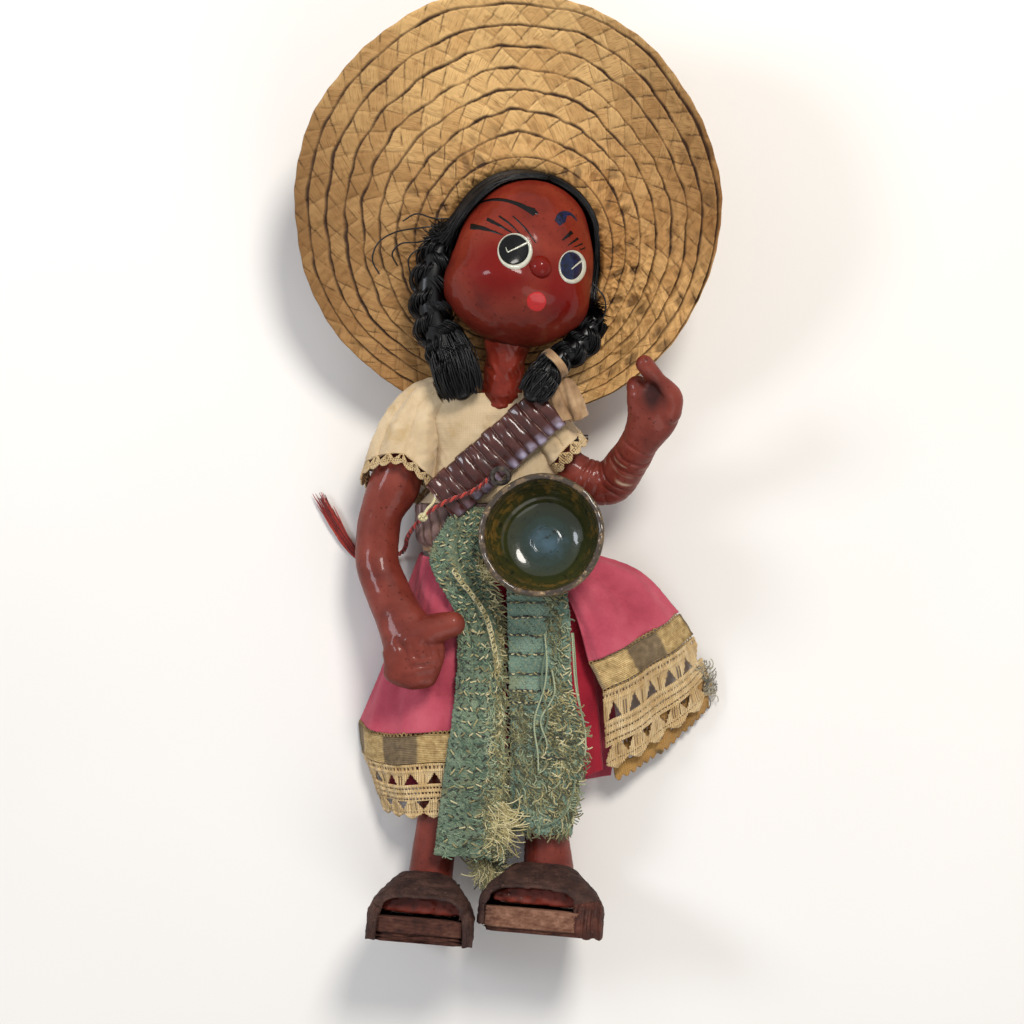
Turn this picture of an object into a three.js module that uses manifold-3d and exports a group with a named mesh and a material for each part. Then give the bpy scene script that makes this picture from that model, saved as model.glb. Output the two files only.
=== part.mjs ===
// A folk art doll lying on its back: papier-mache head and limbs on wires, cloth dress, palm hat.
// Millimetres. +Z points from the board to the doll's face, +Y to the top of its head.
// Right and left are the doll's own, so its right side is at -X.
import * as THREE from "three";
import { mergeVertices } from "three/addons/utils/BufferGeometryUtils.js";
import Module from "manifold-3d";

const wasm = await Module();
wasm.setup();

// Gap that fitted pieces keep, and the finer one of a piece that turns on a peg
const SEAT_GAP = 0.35;
const PEG_GAP = 0.3;

// Thickness of the cloths, leathers and straw
const BLOUSE_WALL = 1.0;
const SLEEVE_WALL = 1.2;
const SKIRT_CLOTH = 1.0;
const TRIM_CLOTH = 1.2;
const REBOZO_CLOTH = 1.4;
const RIBBON_CLOTH = 0.8;
const STRAP_LEATHER = 1.6;
const VAMP_LEATHER = 2.1;
const BELT_LEATHER = 1.5;
const STRAW = 1.8;

// Head: an egg turned and tilted on its neck
const HEAD_AT = vec(6.2, 78, 41);
const HEAD_HALF_WIDTH = 27.4;
const HEAD_HALF_HEIGHT = 32.5;
const HEAD_HALF_DEPTH = 25.5;
const HEAD_FULLNESS = 2.25;
const FACE_ACROSS = vec(0.933, -0.245, -0.263);
const FACE_UP = vec(0.18, 0.95, -0.24);
const HAIR_THICKNESS = 2.2;
const HAIRLINE_DEPTH = 6;
const HAIRLINE_SLOPE = 0.42;
const NOSE_RADIUS = 4.4;

// Neck and the peg that holds it
const NECK_ROOT = vec(-2.2, 25.5, 33.4);
const NECK_TOP = vec(1.2, 52, 39);
const NECK_RADIUS = 9;
const PEG_RADIUS = 2.2;
const PEG_IN_TRUNK = 14;
const PEG_IN_HEAD = 12;

// Sombrero: opening of the crown, rim circle, tilt and dish
const OPENING_AT = vec(5, 84.5, 34);
const OPENING_RADIUS = 33.6;
const RIM_RADIUS = 80.5;
const RIM_FOOT_Y = 18.5;
const RIM_AT = vec(0.1, RIM_FOOT_Y + RIM_RADIUS, 34);
const HAT_TILT = THREE.MathUtils.degToRad(12);
const CROWN_HEIGHT = 30.2;
const CROWN_TOP_RADIUS = 25;
const BRIM_DISH = 9;
const BRIM_DISH_LEFT = 6;
const BRIM_DISH_FOOT = 5;

// Shoulders and elbows
const SHOULDER_WIRE_RADIUS = 1.3;
const RIGHT_SHOULDER = vec(-38, 12, 22);
const LEFT_SHOULDER = vec(27, 12, 22);
const RIGHT_ELBOW = vec(-50, -27, 20.5);
const LEFT_ELBOW = vec(40, -5.5, 22);
const RIGHT_ELBOW_AXIS = vec(-1, 0, 0);
const LEFT_ELBOW_AXIS = vec(-0.586, -0.412, 0.697);
const RIGHT_ELBOW_BENDS = [0, 30, 60];
const LEFT_ELBOW_BENDS = [-60, -36, -12, 10];
const SHOULDER_RADIUS = 8.2;
const ARM_RADIUS = 8.4;
const ELBOW_GAP = 0.8;
const WIRE_IN_ARM = 5;

// How far each sleeve reaches from its shoulder's axis, and how far in it starts
const RIGHT_SLEEVE_REACH = 26.8;
const LEFT_SLEEVE_REACH = 20.6;
const RIGHT_SLEEVE_INSET = 10.4;
const LEFT_SLEEVE_INSET = 7.8;

// Legs and feet
const LEG_RADIUS = 8.2;
const LEG_WIRE_RADIUS = 1.3;
const LEG_WIRE_IN_TRUNK = 10;
const LEG_WIRE_IN_FOOT = 12;
const LEG_END = 0.6;
const FOOT_LENGTH = 44;
const TOE_RADIUS = 3;
const HEEL_STRAP_WIDTH = 7;
const HEEL_STRAP_RISE = 9.2;
const HEEL_STRAP_REACH = 13.6;
const FOOT_HEEL_Z = 3.4;
const SOLE_THICKNESS = 9;
const SOLE_LENGTH = 50;
const FOOT_LIFT = THREE.MathUtils.degToRad(8);
const FOOT_TURN = THREE.MathUtils.degToRad(5);

// Bowl: its centre is the middle of the rim plane
const BOWL_AT = vec(13.3, -25.4, 54);
const BOWL_RADIUS = 23.6;
const BOWL_DEPTH = 18.5;
const BOWL_FOOT_RADIUS = 9;
const BOWL_WALL = 2.4;
const BOWL_MOUTH = vec(-0.12, 0.17, 0.978);
const EAR_WIRE = 1.1;
const EAR_RADIUS = 3.2;

// Bandolier: middle of its two ends, and its half-round cartridges
const BANDOLIER_LOW = vec(-24, -12.5, 35.6);
const BANDOLIER_HIGH = vec(16.6, 23.4, 41);
const BANDOLIER_WIDTH = 18;
const BELT_TOP = -14.2;
const BELT_LOW = -32;
const BLOUSE_LOW = -12.6;
const CARTRIDGE_PITCH = 3.4;
const CARTRIDGE_RADIUS = 1.5;

// Red cord, from the bowl's ear past the arm to the board
const CORD_RADIUS = 0.9;
const CORD_SIDES = 8;
const CORD_ROUTE = [
  vec(-6.6, -4.4, 48.2),
  vec(-9, -6.8, 45.4),
  vec(-14, -9.6, 41.6),
  vec(-22, -12.6, 40.2),
  vec(-29.4, -17, 37.4),
  vec(-35.6, -23, 30),
  vec(-38.4, -27, 21.5),
  vec(-39.4, -30, 13),
  vec(-41.6, -33, 5.4),
  vec(-48, -35.6, 1.8),
  vec(-56, -37, 1.2),
];
const TASSEL_ROUTE = [vec(-56.9, -37, 1.6), vec(-62, -31, 1.9), vec(-69, -20, 2.2), vec(-75.5, -8.5, 2.2)];

const COLOURS = {
  lacquer: [0x7d2d23, 0.25],
  lacquerDull: [0x6e3228, 0.5],
  hair: [0x0b0a0a, 0.35],
  cotton: [0xd7c396, 0.85],
  lace: [0xd7b987, 0.9],
  straw: [0xc8a064, 0.7],
  leather: [0x46261f, 0.65],
  sole: [0x785040, 0.8],
  cartridge: [0x4b2d28, 0.3],
  pink: [0xbe465a, 0.9],
  red: [0xa01e2d, 0.9],
  gold: [0x96825a, 0.6],
  green: [0x5f826e, 0.95],
  satin: [0xc8b48c, 0.5],
  wire: [0x3a3634, 0.4],
  clay: [0x3c3c28, 0.2],
  wood: [0xb08a5a, 0.7],
  cord: [0x96231a, 0.8],
};

function vec(x, y, z) {
  return new THREE.Vector3(x, y, z);
}

// The closed geometry as a solid that can be joined and cut
function solidOf(geometry) {
  const bare = geometry.index ? geometry.toNonIndexed() : geometry.clone();
  bare.deleteAttribute("normal");
  bare.deleteAttribute("uv");
  const merged = mergeVertices(bare, 1e-4);
  return new wasm.Manifold(
    new wasm.Mesh({
      numProp: 3,
      vertProperties: merged.attributes.position.array,
      triVerts: new Uint32Array(merged.index.array),
    }),
  );
}

function geometryOf(solid) {
  const mesh = solid.getMesh();
  const geometry = new THREE.BufferGeometry();
  geometry.setAttribute("position", new THREE.BufferAttribute(new Float32Array(mesh.vertProperties), 3));
  geometry.setIndex(new THREE.BufferAttribute(new Uint32Array(mesh.triVerts), 1));
  return geometry;
}

function cut(body, ...tools) {
  return geometryOf(tools.reduce((solid, tool) => solid.subtract(solidOf(tool)), solidOf(body)));
}

function join(...bodies) {
  return geometryOf(bodies.map(solidOf).reduce((a, b) => a.add(b)));
}

// A closed body from points and triangles, turned to face outwards
function closedBody(points, index) {
  let volume = 0;
  for (let i = 0; i < index.length; i += 3) {
    const [a, b, c] = [points[index[i]], points[index[i + 1]], points[index[i + 2]]];
    volume += a.dot(b.clone().cross(c));
  }
  if (volume < 0) index.reverse();
  const geometry = new THREE.BufferGeometry().setFromPoints(points);
  geometry.setIndex(index);
  return geometry;
}

// A closed body through rings of as many points each, with a fan at both ends
function loft(rings) {
  const sides = rings[0].length;
  const points = rings.flat();
  const index = [];
  for (let ring = 0; ring + 1 < rings.length; ring++)
    for (let side = 0; side < sides; side++) {
      const a = ring * sides + side;
      const b = ring * sides + ((side + 1) % sides);
      index.push(a, b, b + sides, a, b + sides, a + sides);
    }
  for (const ring of [0, rings.length - 1]) {
    const middle = rings[ring].reduce((sum, p) => sum.add(p), vec(0, 0, 0)).divideScalar(sides);
    const hub = points.push(middle) - 1;
    for (let side = 0; side < sides; side++) {
      const a = ring * sides + side;
      const b = ring * sides + ((side + 1) % sides);
      index.push(...(ring ? [hub, a, b] : [hub, b, a]));
    }
  }
  return closedBody(points, index);
}

// A limb through stops [point, half width, half depth], grown all over, with round ends
function limb(stops, { grow = 0, sides = 12, steps = 8, ends = [1, 1], up = vec(0, 0, 1) } = {}) {
  const curve = new THREE.CatmullRomCurve3(stops.map(([point]) => point));
  const sizes = new THREE.CatmullRomCurve3(stops.map(([, wide, deep = wide]) => vec(wide, deep, 0)));
  const rings = [];
  const addRing = (t, along, scale) => {
    const tangent = curve.getTangent(t);
    const across = tangent.clone().cross(up).normalize();
    const out = across.clone().cross(tangent);
    const size = sizes.getPoint(t);
    const middle = curve.getPoint(t).addScaledVector(tangent, along * (Math.min(size.x, size.y) + grow));
    rings.push(
      Array.from({ length: sides }, (_, side) => {
        const angle = (2 * Math.PI * side) / sides;
        return middle
          .clone()
          .addScaledVector(across, (size.x + grow) * scale * Math.cos(angle))
          .addScaledVector(out, (size.y + grow) * scale * Math.sin(angle));
      }),
    );
  };
  const round = [0.4, 0.8].map((scale) => [scale, Math.sqrt(1 - scale * scale)]);
  if (ends[0]) for (const [scale, along] of round) addRing(0, -along * ends[0], scale);
  for (let step = 0; step <= steps; step++) addRing(step / steps, 0, 1);
  if (ends[1]) for (const [scale, along] of [...round].reverse()) addRing(1, along * ends[1], scale);
  return loft(rings);
}

// A rod between two points
function rod(from, to, radius, sides = 16) {
  const along = to.clone().sub(from);
  const geometry = new THREE.CylinderGeometry(radius, radius, along.length(), sides);
  const direction = along.clone().normalize();
  geometry.applyQuaternion(new THREE.Quaternion().setFromUnitVectors(vec(0, 1, 0), direction));
  return geometry.translate(...from.clone().add(to).divideScalar(2).toArray());
}

// The hole of a rod or wire, a little wider and longer than it
function bore(from, to, radius, sides = 12) {
  const past = to.clone().sub(from).setLength(SEAT_GAP);
  return rod(from.clone().sub(past), to.clone().add(past), radius + PEG_GAP, sides);
}

// A point of the smooth surface through rows of points, all rows of one length
function netPoint(rows, u, v) {
  const down = rows.map((row) => new THREE.CatmullRomCurve3(row).getPoint(u));
  return new THREE.CatmullRomCurve3(down).getPoint(v);
}

// A cloth of even thickness on a surface, with folds that deepen down its length
function cloth(rows, thickness, { columns = 12, lines = 10, folds = 0, depth = 0, deepen = true } = {}) {
  const normalAt = (u, v) => {
    const e = 0.01;
    const [u0, u1] = [Math.max(0, u - e), Math.min(1, u + e)];
    const [v0, v1] = [Math.max(0, v - e), Math.min(1, v + e)];
    const across = netPoint(rows, u1, v).sub(netPoint(rows, u0, v));
    const down = netPoint(rows, u, v1).sub(netPoint(rows, u, v0));
    const normal = down.cross(across).normalize();
    return normal.z < 0 ? normal.negate() : normal;
  };
  const faces = [[], []];
  for (let line = 0; line <= lines; line++)
    for (let column = 0; column <= columns; column++) {
      const [u, v] = [column / columns, line / lines];
      const normal = normalAt(u, v);
      const wave = depth * (deepen ? v : 1) * 0.5 * (1 - Math.cos(2 * Math.PI * folds * u));
      const point = netPoint(rows, u, v).addScaledVector(normal, wave);
      faces[0].push(point);
      faces[1].push(point.clone().addScaledVector(normal, thickness));
    }
  return plate(faces, columns, lines);
}

// A closed plate from a lower and an upper grid of points
function plate([lower, upper], columns, lines) {
  const points = [...lower, ...upper];
  const index = [];
  const wide = columns + 1;
  const quad = (a, b, c, d) => index.push(a, b, c, a, c, d);
  for (let line = 0; line < lines; line++)
    for (let column = 0; column < columns; column++) {
      const a = line * wide + column;
      quad(a, a + 1, a + wide + 1, a + wide);
      const top = a + lower.length;
      quad(top, top + wide, top + wide + 1, top + 1);
    }
  const border = [];
  for (let column = 0; column < columns; column++) border.push(column);
  for (let line = 0; line < lines; line++) border.push(line * wide + columns);
  for (let column = columns; column > 0; column--) border.push(lines * wide + column);
  for (let line = lines; line > 0; line--) border.push(line * wide);
  border.forEach((a, i) => {
    const b = border[(i + 1) % border.length];
    quad(a, a + lower.length, b + lower.length, b);
  });
  return closedBody(points, index);
}

// The body turned about an axis through a pivot
function turned(geometry, pivot, axis, degrees) {
  const spindle = axis.clone().normalize();
  const turn = new THREE.Quaternion().setFromAxisAngle(spindle, THREE.MathUtils.degToRad(degrees));
  return geometry
    .clone()
    .translate(...pivot.clone().negate().toArray())
    .applyQuaternion(turn)
    .translate(...pivot.toArray());
}

const doll = new THREE.Group();
doll.name = "folk_art_doll";

function add(name, geometry, colour) {
  const [hex, roughness] = COLOURS[colour];
  const material = new THREE.MeshStandardMaterial({ color: hex, roughness, metalness: 0 });
  const mesh = new THREE.Mesh(geometry, material);
  mesh.name = name;
  doll.add(mesh);
}

// Trunk: sections across the body, with the back flat on the board
const TRUNK_SECTIONS = [
  { y: 30, x: -3, half: 15, back: 29.5, front: 37 },
  { y: 26, x: -4, half: 20, back: 28.6, front: 37 },
  { y: 17.6, x: -4, half: 23.4, back: 27.4, front: 35.5 },
  { y: 12.4, x: -4, half: 23.4, back: 12, front: 34.8 },
  { y: 7, x: -4, half: 23.4, back: 1, front: 34.2 },
  { y: -9, x: -4.4, half: 23.6, back: 1, front: 32.6 },
  { y: -14, x: -5, half: 28, back: 3.4, front: 31 },
  { y: -26, x: -5, half: 28, back: 3.4, front: 30 },
  { y: -34, x: -3, half: 27, back: 3.4, front: 28 },
  { y: -44, x: -2, half: 25, back: 3.4, front: 25 },
  { y: -50, x: -2, half: 16, back: 7, front: 20 },
];

const TRUNK_SIDES = 16;

// A section of the trunk as a ring, squarer than an ellipse so that the back lies flat
function trunkRing({ y, x, half, back, front }, grow) {
  const power = 0.62;
  const shape = (c) => Math.sign(c) * Math.abs(c) ** power;
  const middle = (back + front) / 2;
  const depth = (front - back) / 2 + grow;
  return Array.from({ length: TRUNK_SIDES }, (_, side) => {
    const angle = (2 * Math.PI * (side + 0.5)) / TRUNK_SIDES;
    return vec(x + (half + grow) * shape(Math.cos(angle)), y, middle + depth * shape(Math.sin(angle)));
  });
}

function trunkBody(grow, fromY, toY) {
  const inside = TRUNK_SECTIONS.filter(({ y }) => y < fromY && y > toY);
  const at = (y) => {
    const next = TRUNK_SECTIONS.findIndex((section) => section.y <= y);
    const [a, b] = [TRUNK_SECTIONS[next - 1], TRUNK_SECTIONS[next]];
    const t = (a.y - y) / (a.y - b.y);
    const mix = (key) => a[key] + (b[key] - a[key]) * t;
    return { y, x: mix("x"), half: mix("half"), back: mix("back"), front: mix("front") };
  };
  return loft([at(fromY), ...inside, at(toY)].map((section) => trunkRing(section, grow)));
}

const neckAxis = NECK_TOP.clone().sub(NECK_ROOT).normalize();
const pegStart = NECK_ROOT.clone().addScaledVector(neckAxis, -PEG_IN_TRUNK);
const pegEnd = NECK_TOP.clone().addScaledVector(neckAxis, PEG_IN_HEAD);
const neckPeg = rod(pegStart, pegEnd, PEG_RADIUS);
const pegBore = bore(pegStart, pegEnd, PEG_RADIUS, 16);

function neckBody(grow) {
  const middle = NECK_ROOT.clone().lerp(NECK_TOP, 0.55);
  const stops = [
    [NECK_ROOT, NECK_RADIUS, NECK_RADIUS * 0.9],
    [middle, NECK_RADIUS * 0.86],
    [NECK_TOP, NECK_RADIUS],
  ];
  return limb(stops, {
    grow,
    sides: 12,
    steps: 3,
    ends: [0.5, 0],
  });
}

// Head: a turned egg, placed by the way the face looks
const faceAcross = FACE_ACROSS.clone().normalize();
const faceFront = faceAcross.clone().cross(FACE_UP).normalize();
const faceUp = faceFront.clone().cross(faceAcross);
const headMatrix = new THREE.Matrix4().makeBasis(faceAcross, faceUp, faceFront).setPosition(HEAD_AT);

const HEAD_RINGS = 13;
function headBody(grow) {
  const height = HEAD_HALF_HEIGHT + grow;
  const width = HEAD_HALF_WIDTH + grow;
  const profile = Array.from({ length: HEAD_RINGS + 1 }, (_, i) => {
    const rise = Math.cos((Math.PI * i) / HEAD_RINGS);
    const girth = (1 - Math.abs(rise) ** HEAD_FULLNESS) ** (1 / HEAD_FULLNESS);
    return new THREE.Vector2(i % HEAD_RINGS ? width * girth : 0, -height * rise);
  });
  const egg = new THREE.LatheGeometry(profile, 22);
  egg.scale(1, 1, (HEAD_HALF_DEPTH + grow) / width);
  return egg.applyMatrix4(headMatrix);
}

// A point on the face, by angles to the side and up, out from the surface
function facePoint(side, rise, out) {
  const [a, b] = [THREE.MathUtils.degToRad(side), THREE.MathUtils.degToRad(rise)];
  const local = vec(
    (HEAD_HALF_WIDTH + out) * Math.sin(a) * Math.cos(b),
    (HEAD_HALF_HEIGHT + out) * Math.sin(b),
    (HEAD_HALF_DEPTH + out) * Math.cos(a) * Math.cos(b),
  );
  return local.applyMatrix4(headMatrix);
}

add("head", cut(headBody(0), pegBore, neckBody(SEAT_GAP)), "lacquer");
add("neck", cut(neckBody(0), pegBore), "lacquer");
add("neck_peg", neckPeg, "wood");

const noseAt = facePoint(0, -17.5, 0.4);
const nose = new THREE.SphereGeometry(NOSE_RADIUS, 12, 8).translate(...noseAt.toArray());
add("nose_bead", cut(nose, headBody(SEAT_GAP)), "lacquer");

// Hair cap: a shell over the skull, cut away in front of the hairline
const faceWindow = new THREE.BoxGeometry(120, 120, 60)
  .translate(0, 0, 30 + HAIRLINE_DEPTH)
  .applyMatrix4(new THREE.Matrix4().makeRotationX(HAIRLINE_SLOPE))
  .applyMatrix4(headMatrix);
const napeCut = new THREE.BoxGeometry(120, 40, 120)
  .translate(0, -HEAD_HALF_HEIGHT * 0.42 - 20, 0)
  .applyMatrix4(headMatrix);
add("hair_cap", cut(headBody(SEAT_GAP + HAIR_THICKNESS), headBody(SEAT_GAP), faceWindow, napeCut), "hair");

const braidGap = headBody(SEAT_GAP + HAIR_THICKNESS + 0.3);
const rightBraid = limb(
  [
    [vec(-24.6, 86, 43.6), 6],
    [vec(-28, 72, 44.4), 7.4],
    [vec(-27.5, 57, 43.8), 7.6],
    [vec(-22.5, 45, 43.6), 7.2],
    [vec(-16, 33, 45), 5.6],
    [vec(-14.4, 27, 45), 3.2],
  ],
  { sides: 12, steps: 9 },
);
const LEFT_BRAID = [
  [vec(33.5, 56, 39.6), 5],
  [vec(28.3, 47, 42), 5.4],
  [vec(20.6, 41, 44), 5.4],
  [vec(14.9, 35.6, 46.6), 5.2],
  [vec(12.4, 31, 47.6), 3],
];
function leftBraid(grow) {
  return limb(LEFT_BRAID, { grow, sides: 12, steps: 7 });
}
add("right_braid", cut(rightBraid, braidGap, neckBody(SEAT_GAP)), "hair");

const TIE_AT = vec(18.4, 39, 44.8);
const tie = new THREE.TorusGeometry(5.9, 1.3, 6, 14);
const braidRun = vec(-0.78, -0.55, 0.29).normalize();
tie.applyQuaternion(new THREE.Quaternion().setFromUnitVectors(vec(0, 0, 1), braidRun));
tie.translate(...TIE_AT.toArray());
add("left_braid", cut(leftBraid(0), braidGap, neckBody(SEAT_GAP), headBody(SEAT_GAP)), "hair");
add("left_braid_tie", cut(tie, leftBraid(SEAT_GAP)), "satin");

// Sombrero
const hatMatrix = new THREE.Matrix4().makeRotationX(HAT_TILT).setPosition(OPENING_AT);

function crownCup(outer) {
  const wall = outer ? STRAW : 0;
  const low = -CROWN_HEIGHT + (outer ? 0 : STRAW);
  const rim = outer ? 0 : 1;
  const profile = [
    [0, low],
    [CROWN_TOP_RADIUS - 4 + wall - STRAW, low],
    [CROWN_TOP_RADIUS + wall - STRAW, low + 3],
    [(CROWN_TOP_RADIUS + OPENING_RADIUS) / 2 + wall + 1.6, low * 0.5],
    [OPENING_RADIUS + wall, rim],
    [0, rim],
  ];
  return new THREE.LatheGeometry(profile.map(([r, z]) => new THREE.Vector2(r, z)), 32)
    .applyMatrix4(new THREE.Matrix4().makeRotationX(Math.PI / 2))
    .applyMatrix4(hatMatrix);
}

add("sombrero_crown", cut(crownCup(true), crownCup(false), braidGap), "straw");

// The brim widens from the crown's opening to the rim and rises to its edge
function brimPoint(around, out, lift) {
  const angle = 2 * Math.PI * around;
  const inner = OPENING_RADIUS + STRAW + SEAT_GAP;
  const radius = inner + (RIM_RADIUS - inner) * out;
  const x = (RIM_AT.x - OPENING_AT.x) * out + radius * Math.cos(angle);
  const y = (RIM_AT.y - OPENING_AT.y) * out + radius * Math.sin(angle);
  const rise = BRIM_DISH + BRIM_DISH_LEFT * Math.cos(angle) - BRIM_DISH_FOOT * Math.max(0, -Math.sin(angle));
  return vec(x, y, rise * out ** 2.2 + lift).applyMatrix4(hatMatrix);
}

function brimBody() {
  const around = 40;
  const across = 6;
  const rings = Array.from({ length: around }, (_, i) => {
    const row = [];
    for (let j = 0; j <= across; j++) row.push(brimPoint(i / around, j / across, -STRAW));
    for (let j = across; j >= 0; j--) row.push(brimPoint(i / around, j / across, 0));
    return row;
  });
  const sides = rings[0].length;
  const index = [];
  for (let ring = 0; ring < around; ring++)
    for (let side = 0; side < sides; side++) {
      const [a, b] = [ring * sides, ((ring + 1) % around) * sides];
      const next = (side + 1) % sides;
      index.push(a + side, b + side, b + next, a + side, b + next, a + next);
    }
  return closedBody(rings.flat(), index);
}

add("sombrero_brim", brimBody(), "straw");

// Arms. Stops are [point, half width, half depth] from shoulder to elbow and elbow to hand
const RIGHT_UPPER = [
  [RIGHT_SHOULDER, SHOULDER_RADIUS],
  [vec(-43.2, -5.9, 22), 10, 9.6],
  [vec(-48.6, -17.6, 21), ARM_RADIUS],
  [RIGHT_ELBOW, ARM_RADIUS],
];
const RIGHT_LOWER = [
  [RIGHT_ELBOW, ARM_RADIUS],
  [vec(-50, -37, 21.3), ARM_RADIUS],
  [vec(-45.2, -49, 26), 8.8, 8],
  [vec(-40.6, -58, 32), 9, 7],
  [vec(-35.2, -69, 36.5), 12, 6.2],
  [vec(-36.6, -79.5, 36.6), 10, 4.6],
];
const LEFT_UPPER = [
  [LEFT_SHOULDER, SHOULDER_RADIUS],
  [vec(33, 3.5, 22), 8.6],
  [LEFT_ELBOW, ARM_RADIUS],
];
const LEFT_LOWER = [
  [LEFT_ELBOW, ARM_RADIUS],
  [vec(46.5, 2, 31), 7.8],
  [vec(51, 10, 41), 7],
  [vec(55.6, 20.4, 49), 10, 7],
  [vec(55, 26.4, 52.5), 9.6, 6],
];

const rightThumb = limb(
  [[vec(-34, -66, 37), 5], [vec(-26, -60, 38.5), 4.6], [vec(-20.4, -58.4, 39), 4.2]],
  { sides: 8, steps: 3 },
);
const leftFinger = limb(
  [
    [vec(60.8, 21, 52), 4.8],
    [vec(61.2, 26.4, 54.6), 4],
    [vec(56.8, 31.4, 58), 3.5],
    [vec(51.6, 37.8, 60.5), 3.4],
  ],
  { sides: 8, steps: 6 },
);
const leftPalmCorner = limb([[vec(53, 24, 51.5), 5], [vec(49.8, 29.4, 51.6), 4.3]], { sides: 10, steps: 3 });

// The forearm is cleared all the way that the end of the upper arm turns in it
function forearm(stops, upper, extras, pivot, axis, bends) {
  const elbowEnd = limb(upper.slice(-2), { grow: ELBOW_GAP, sides: 10, steps: 1, ends: [0, 1] });
  const sweeps = bends.map((degrees) => turned(elbowEnd, pivot, axis, -degrees));
  return cut(join(limb(stops, { steps: 9 }), ...extras), ...sweeps);
}

const wireLeft = LEFT_SHOULDER.clone().add(vec(WIRE_IN_ARM, 0, 0));
const wireRight = RIGHT_SHOULDER.clone().add(vec(-WIRE_IN_ARM, 0, 0));
const shoulderWire = rod(wireRight, wireLeft, SHOULDER_WIRE_RADIUS, 12);
const shoulderBore = bore(wireRight, wireLeft, SHOULDER_WIRE_RADIUS);
add("shoulder_wire", shoulderWire, "wire");
add("right_upper_arm", cut(limb(RIGHT_UPPER), shoulderBore), "lacquerDull");
add("left_upper_arm", cut(limb(LEFT_UPPER), shoulderBore), "lacquerDull");
add(
  "right_forearm",
  forearm(RIGHT_LOWER, RIGHT_UPPER, [rightThumb], RIGHT_ELBOW, RIGHT_ELBOW_AXIS, RIGHT_ELBOW_BENDS),
  "lacquerDull",
);
add(
  "left_forearm",
  forearm(
    LEFT_LOWER,
    LEFT_UPPER,
    [leftFinger, leftPalmCorner],
    LEFT_ELBOW,
    LEFT_ELBOW_AXIS,
    LEFT_ELBOW_BENDS,
  ),
  "lacquerDull",
);

// Sleeves: puffed shells round the upper arms, each with a lace ring at its end
function sleeve(stops, grow = 0, ends = [0.7, 0]) {
  return limb(stops, { grow, sides: 12, steps: 3, ends });
}
const RIGHT_SLEEVE = [
  [vec(-38.6, 15, 22), 10.4, 12],
  [vec(-39.6, 6, 22), 11, 13.4],
  [vec(-40.6, -2.6, 22), 12, 12.6],
];
const RIGHT_LACE = [
  [vec(-40.64, -3, 22), 12, 12.4],
  [vec(-41.8, -9, 22), 12, 12.6],
];
const LEFT_SLEEVE = [
  [vec(29, 14.5, 22), 10, 12],
  [vec(30.6, 8.6, 22), 10.4, 12.6],
];
const LEFT_LACE = [
  [vec(30.7, 8.2, 22), 10.6, 12.6],
  [vec(33, 1.8, 22), 11.2, 12.4],
];

function hollowSleeve(stops, arm) {
  const past = stops.map(([point, wide, deep]) => [point.clone(), wide, deep]);
  const last = past[past.length - 1][0];
  last.add(last.clone().sub(past[past.length - 2][0]).normalize().multiplyScalar(1));
  return cut(sleeve(stops), sleeve(past, -SLEEVE_WALL), limb(arm, { grow: SEAT_GAP }), shoulderBore);
}

// A ring of lace below its sleeve, cleared where the forearm bends
function laceRing(stops, sleeveStops, arm, lower, pivot, axis, bends) {
  const past = [
    [stops[0][0].clone().lerp(stops[1][0], -0.2), stops[0][1], stops[0][2]],
    [stops[1][0].clone().lerp(stops[0][0], -0.2), stops[1][1], stops[1][2]],
  ];
  const forearmNear = limb(lower.slice(0, 3), { grow: ELBOW_GAP, steps: 3 });
  const sweeps = bends.map((degrees) => turned(forearmNear, pivot, axis, degrees));
  return cut(
    sleeve(stops, 0, [0, 0]),
    sleeve(past, -SLEEVE_WALL, [0, 0]),
    sleeve(sleeveStops, SEAT_GAP),
    limb(arm, { grow: SEAT_GAP }),
    ...sweeps,
  );
}

add("right_sleeve", hollowSleeve(RIGHT_SLEEVE, RIGHT_UPPER), "cotton");
add(
  "right_sleeve_lace",
  laceRing(RIGHT_LACE, RIGHT_SLEEVE, RIGHT_UPPER, RIGHT_LOWER, RIGHT_ELBOW, RIGHT_ELBOW_AXIS, [0]),
  "lace",
);
add("left_sleeve", hollowSleeve(LEFT_SLEEVE, LEFT_UPPER), "cotton");
add(
  "left_sleeve_lace",
  laceRing(LEFT_LACE, LEFT_SLEEVE, LEFT_UPPER, LEFT_LOWER, LEFT_ELBOW, LEFT_ELBOW_AXIS, [0, 10]),
  "lace",
);

// Trunk and blouse, cleared where the sleeves turn beside them
const OUTWARDS = 34;
const shoulderSweeps = [
  [RIGHT_SHOULDER, -OUTWARDS, RIGHT_SLEEVE_INSET, RIGHT_SLEEVE_REACH],
  [LEFT_SHOULDER, OUTWARDS, -LEFT_SLEEVE_INSET, LEFT_SLEEVE_REACH],
].map(([shoulder, far, near, reach]) =>
  rod(shoulder.clone().add(vec(far, 0, 0)), shoulder.clone().add(vec(near, 0, 0)), reach, 20),
);

// Legs
function legStops(hip, ankle, ankleRadius) {
  return [
    [hip, LEG_RADIUS + 0.8],
    [hip.clone().lerp(ankle, 0.35), LEG_RADIUS + 0.4],
    [hip.clone().lerp(ankle, 0.7), LEG_RADIUS],
    [ankle, ankleRadius],
  ];
}
const LEGS = {
  right: {
    hip: vec(-15, -56, 14),
    ankle: vec(-30.4, -166, 16),
    ankleRadius: 8.8,
    toe: vec(-32.6, -176.2, 0),
    half: 20.5,
  },
  left: {
    hip: vec(11, -56, 14),
    ankle: vec(17, -163, 16),
    ankleRadius: 10,
    toe: vec(13, -172.9, 0),
    half: 24,
  },
};
const trunkLow = TRUNK_SECTIONS[TRUNK_SECTIONS.length - 1].y;
const legWires = [];
const legCuts = [];

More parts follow.
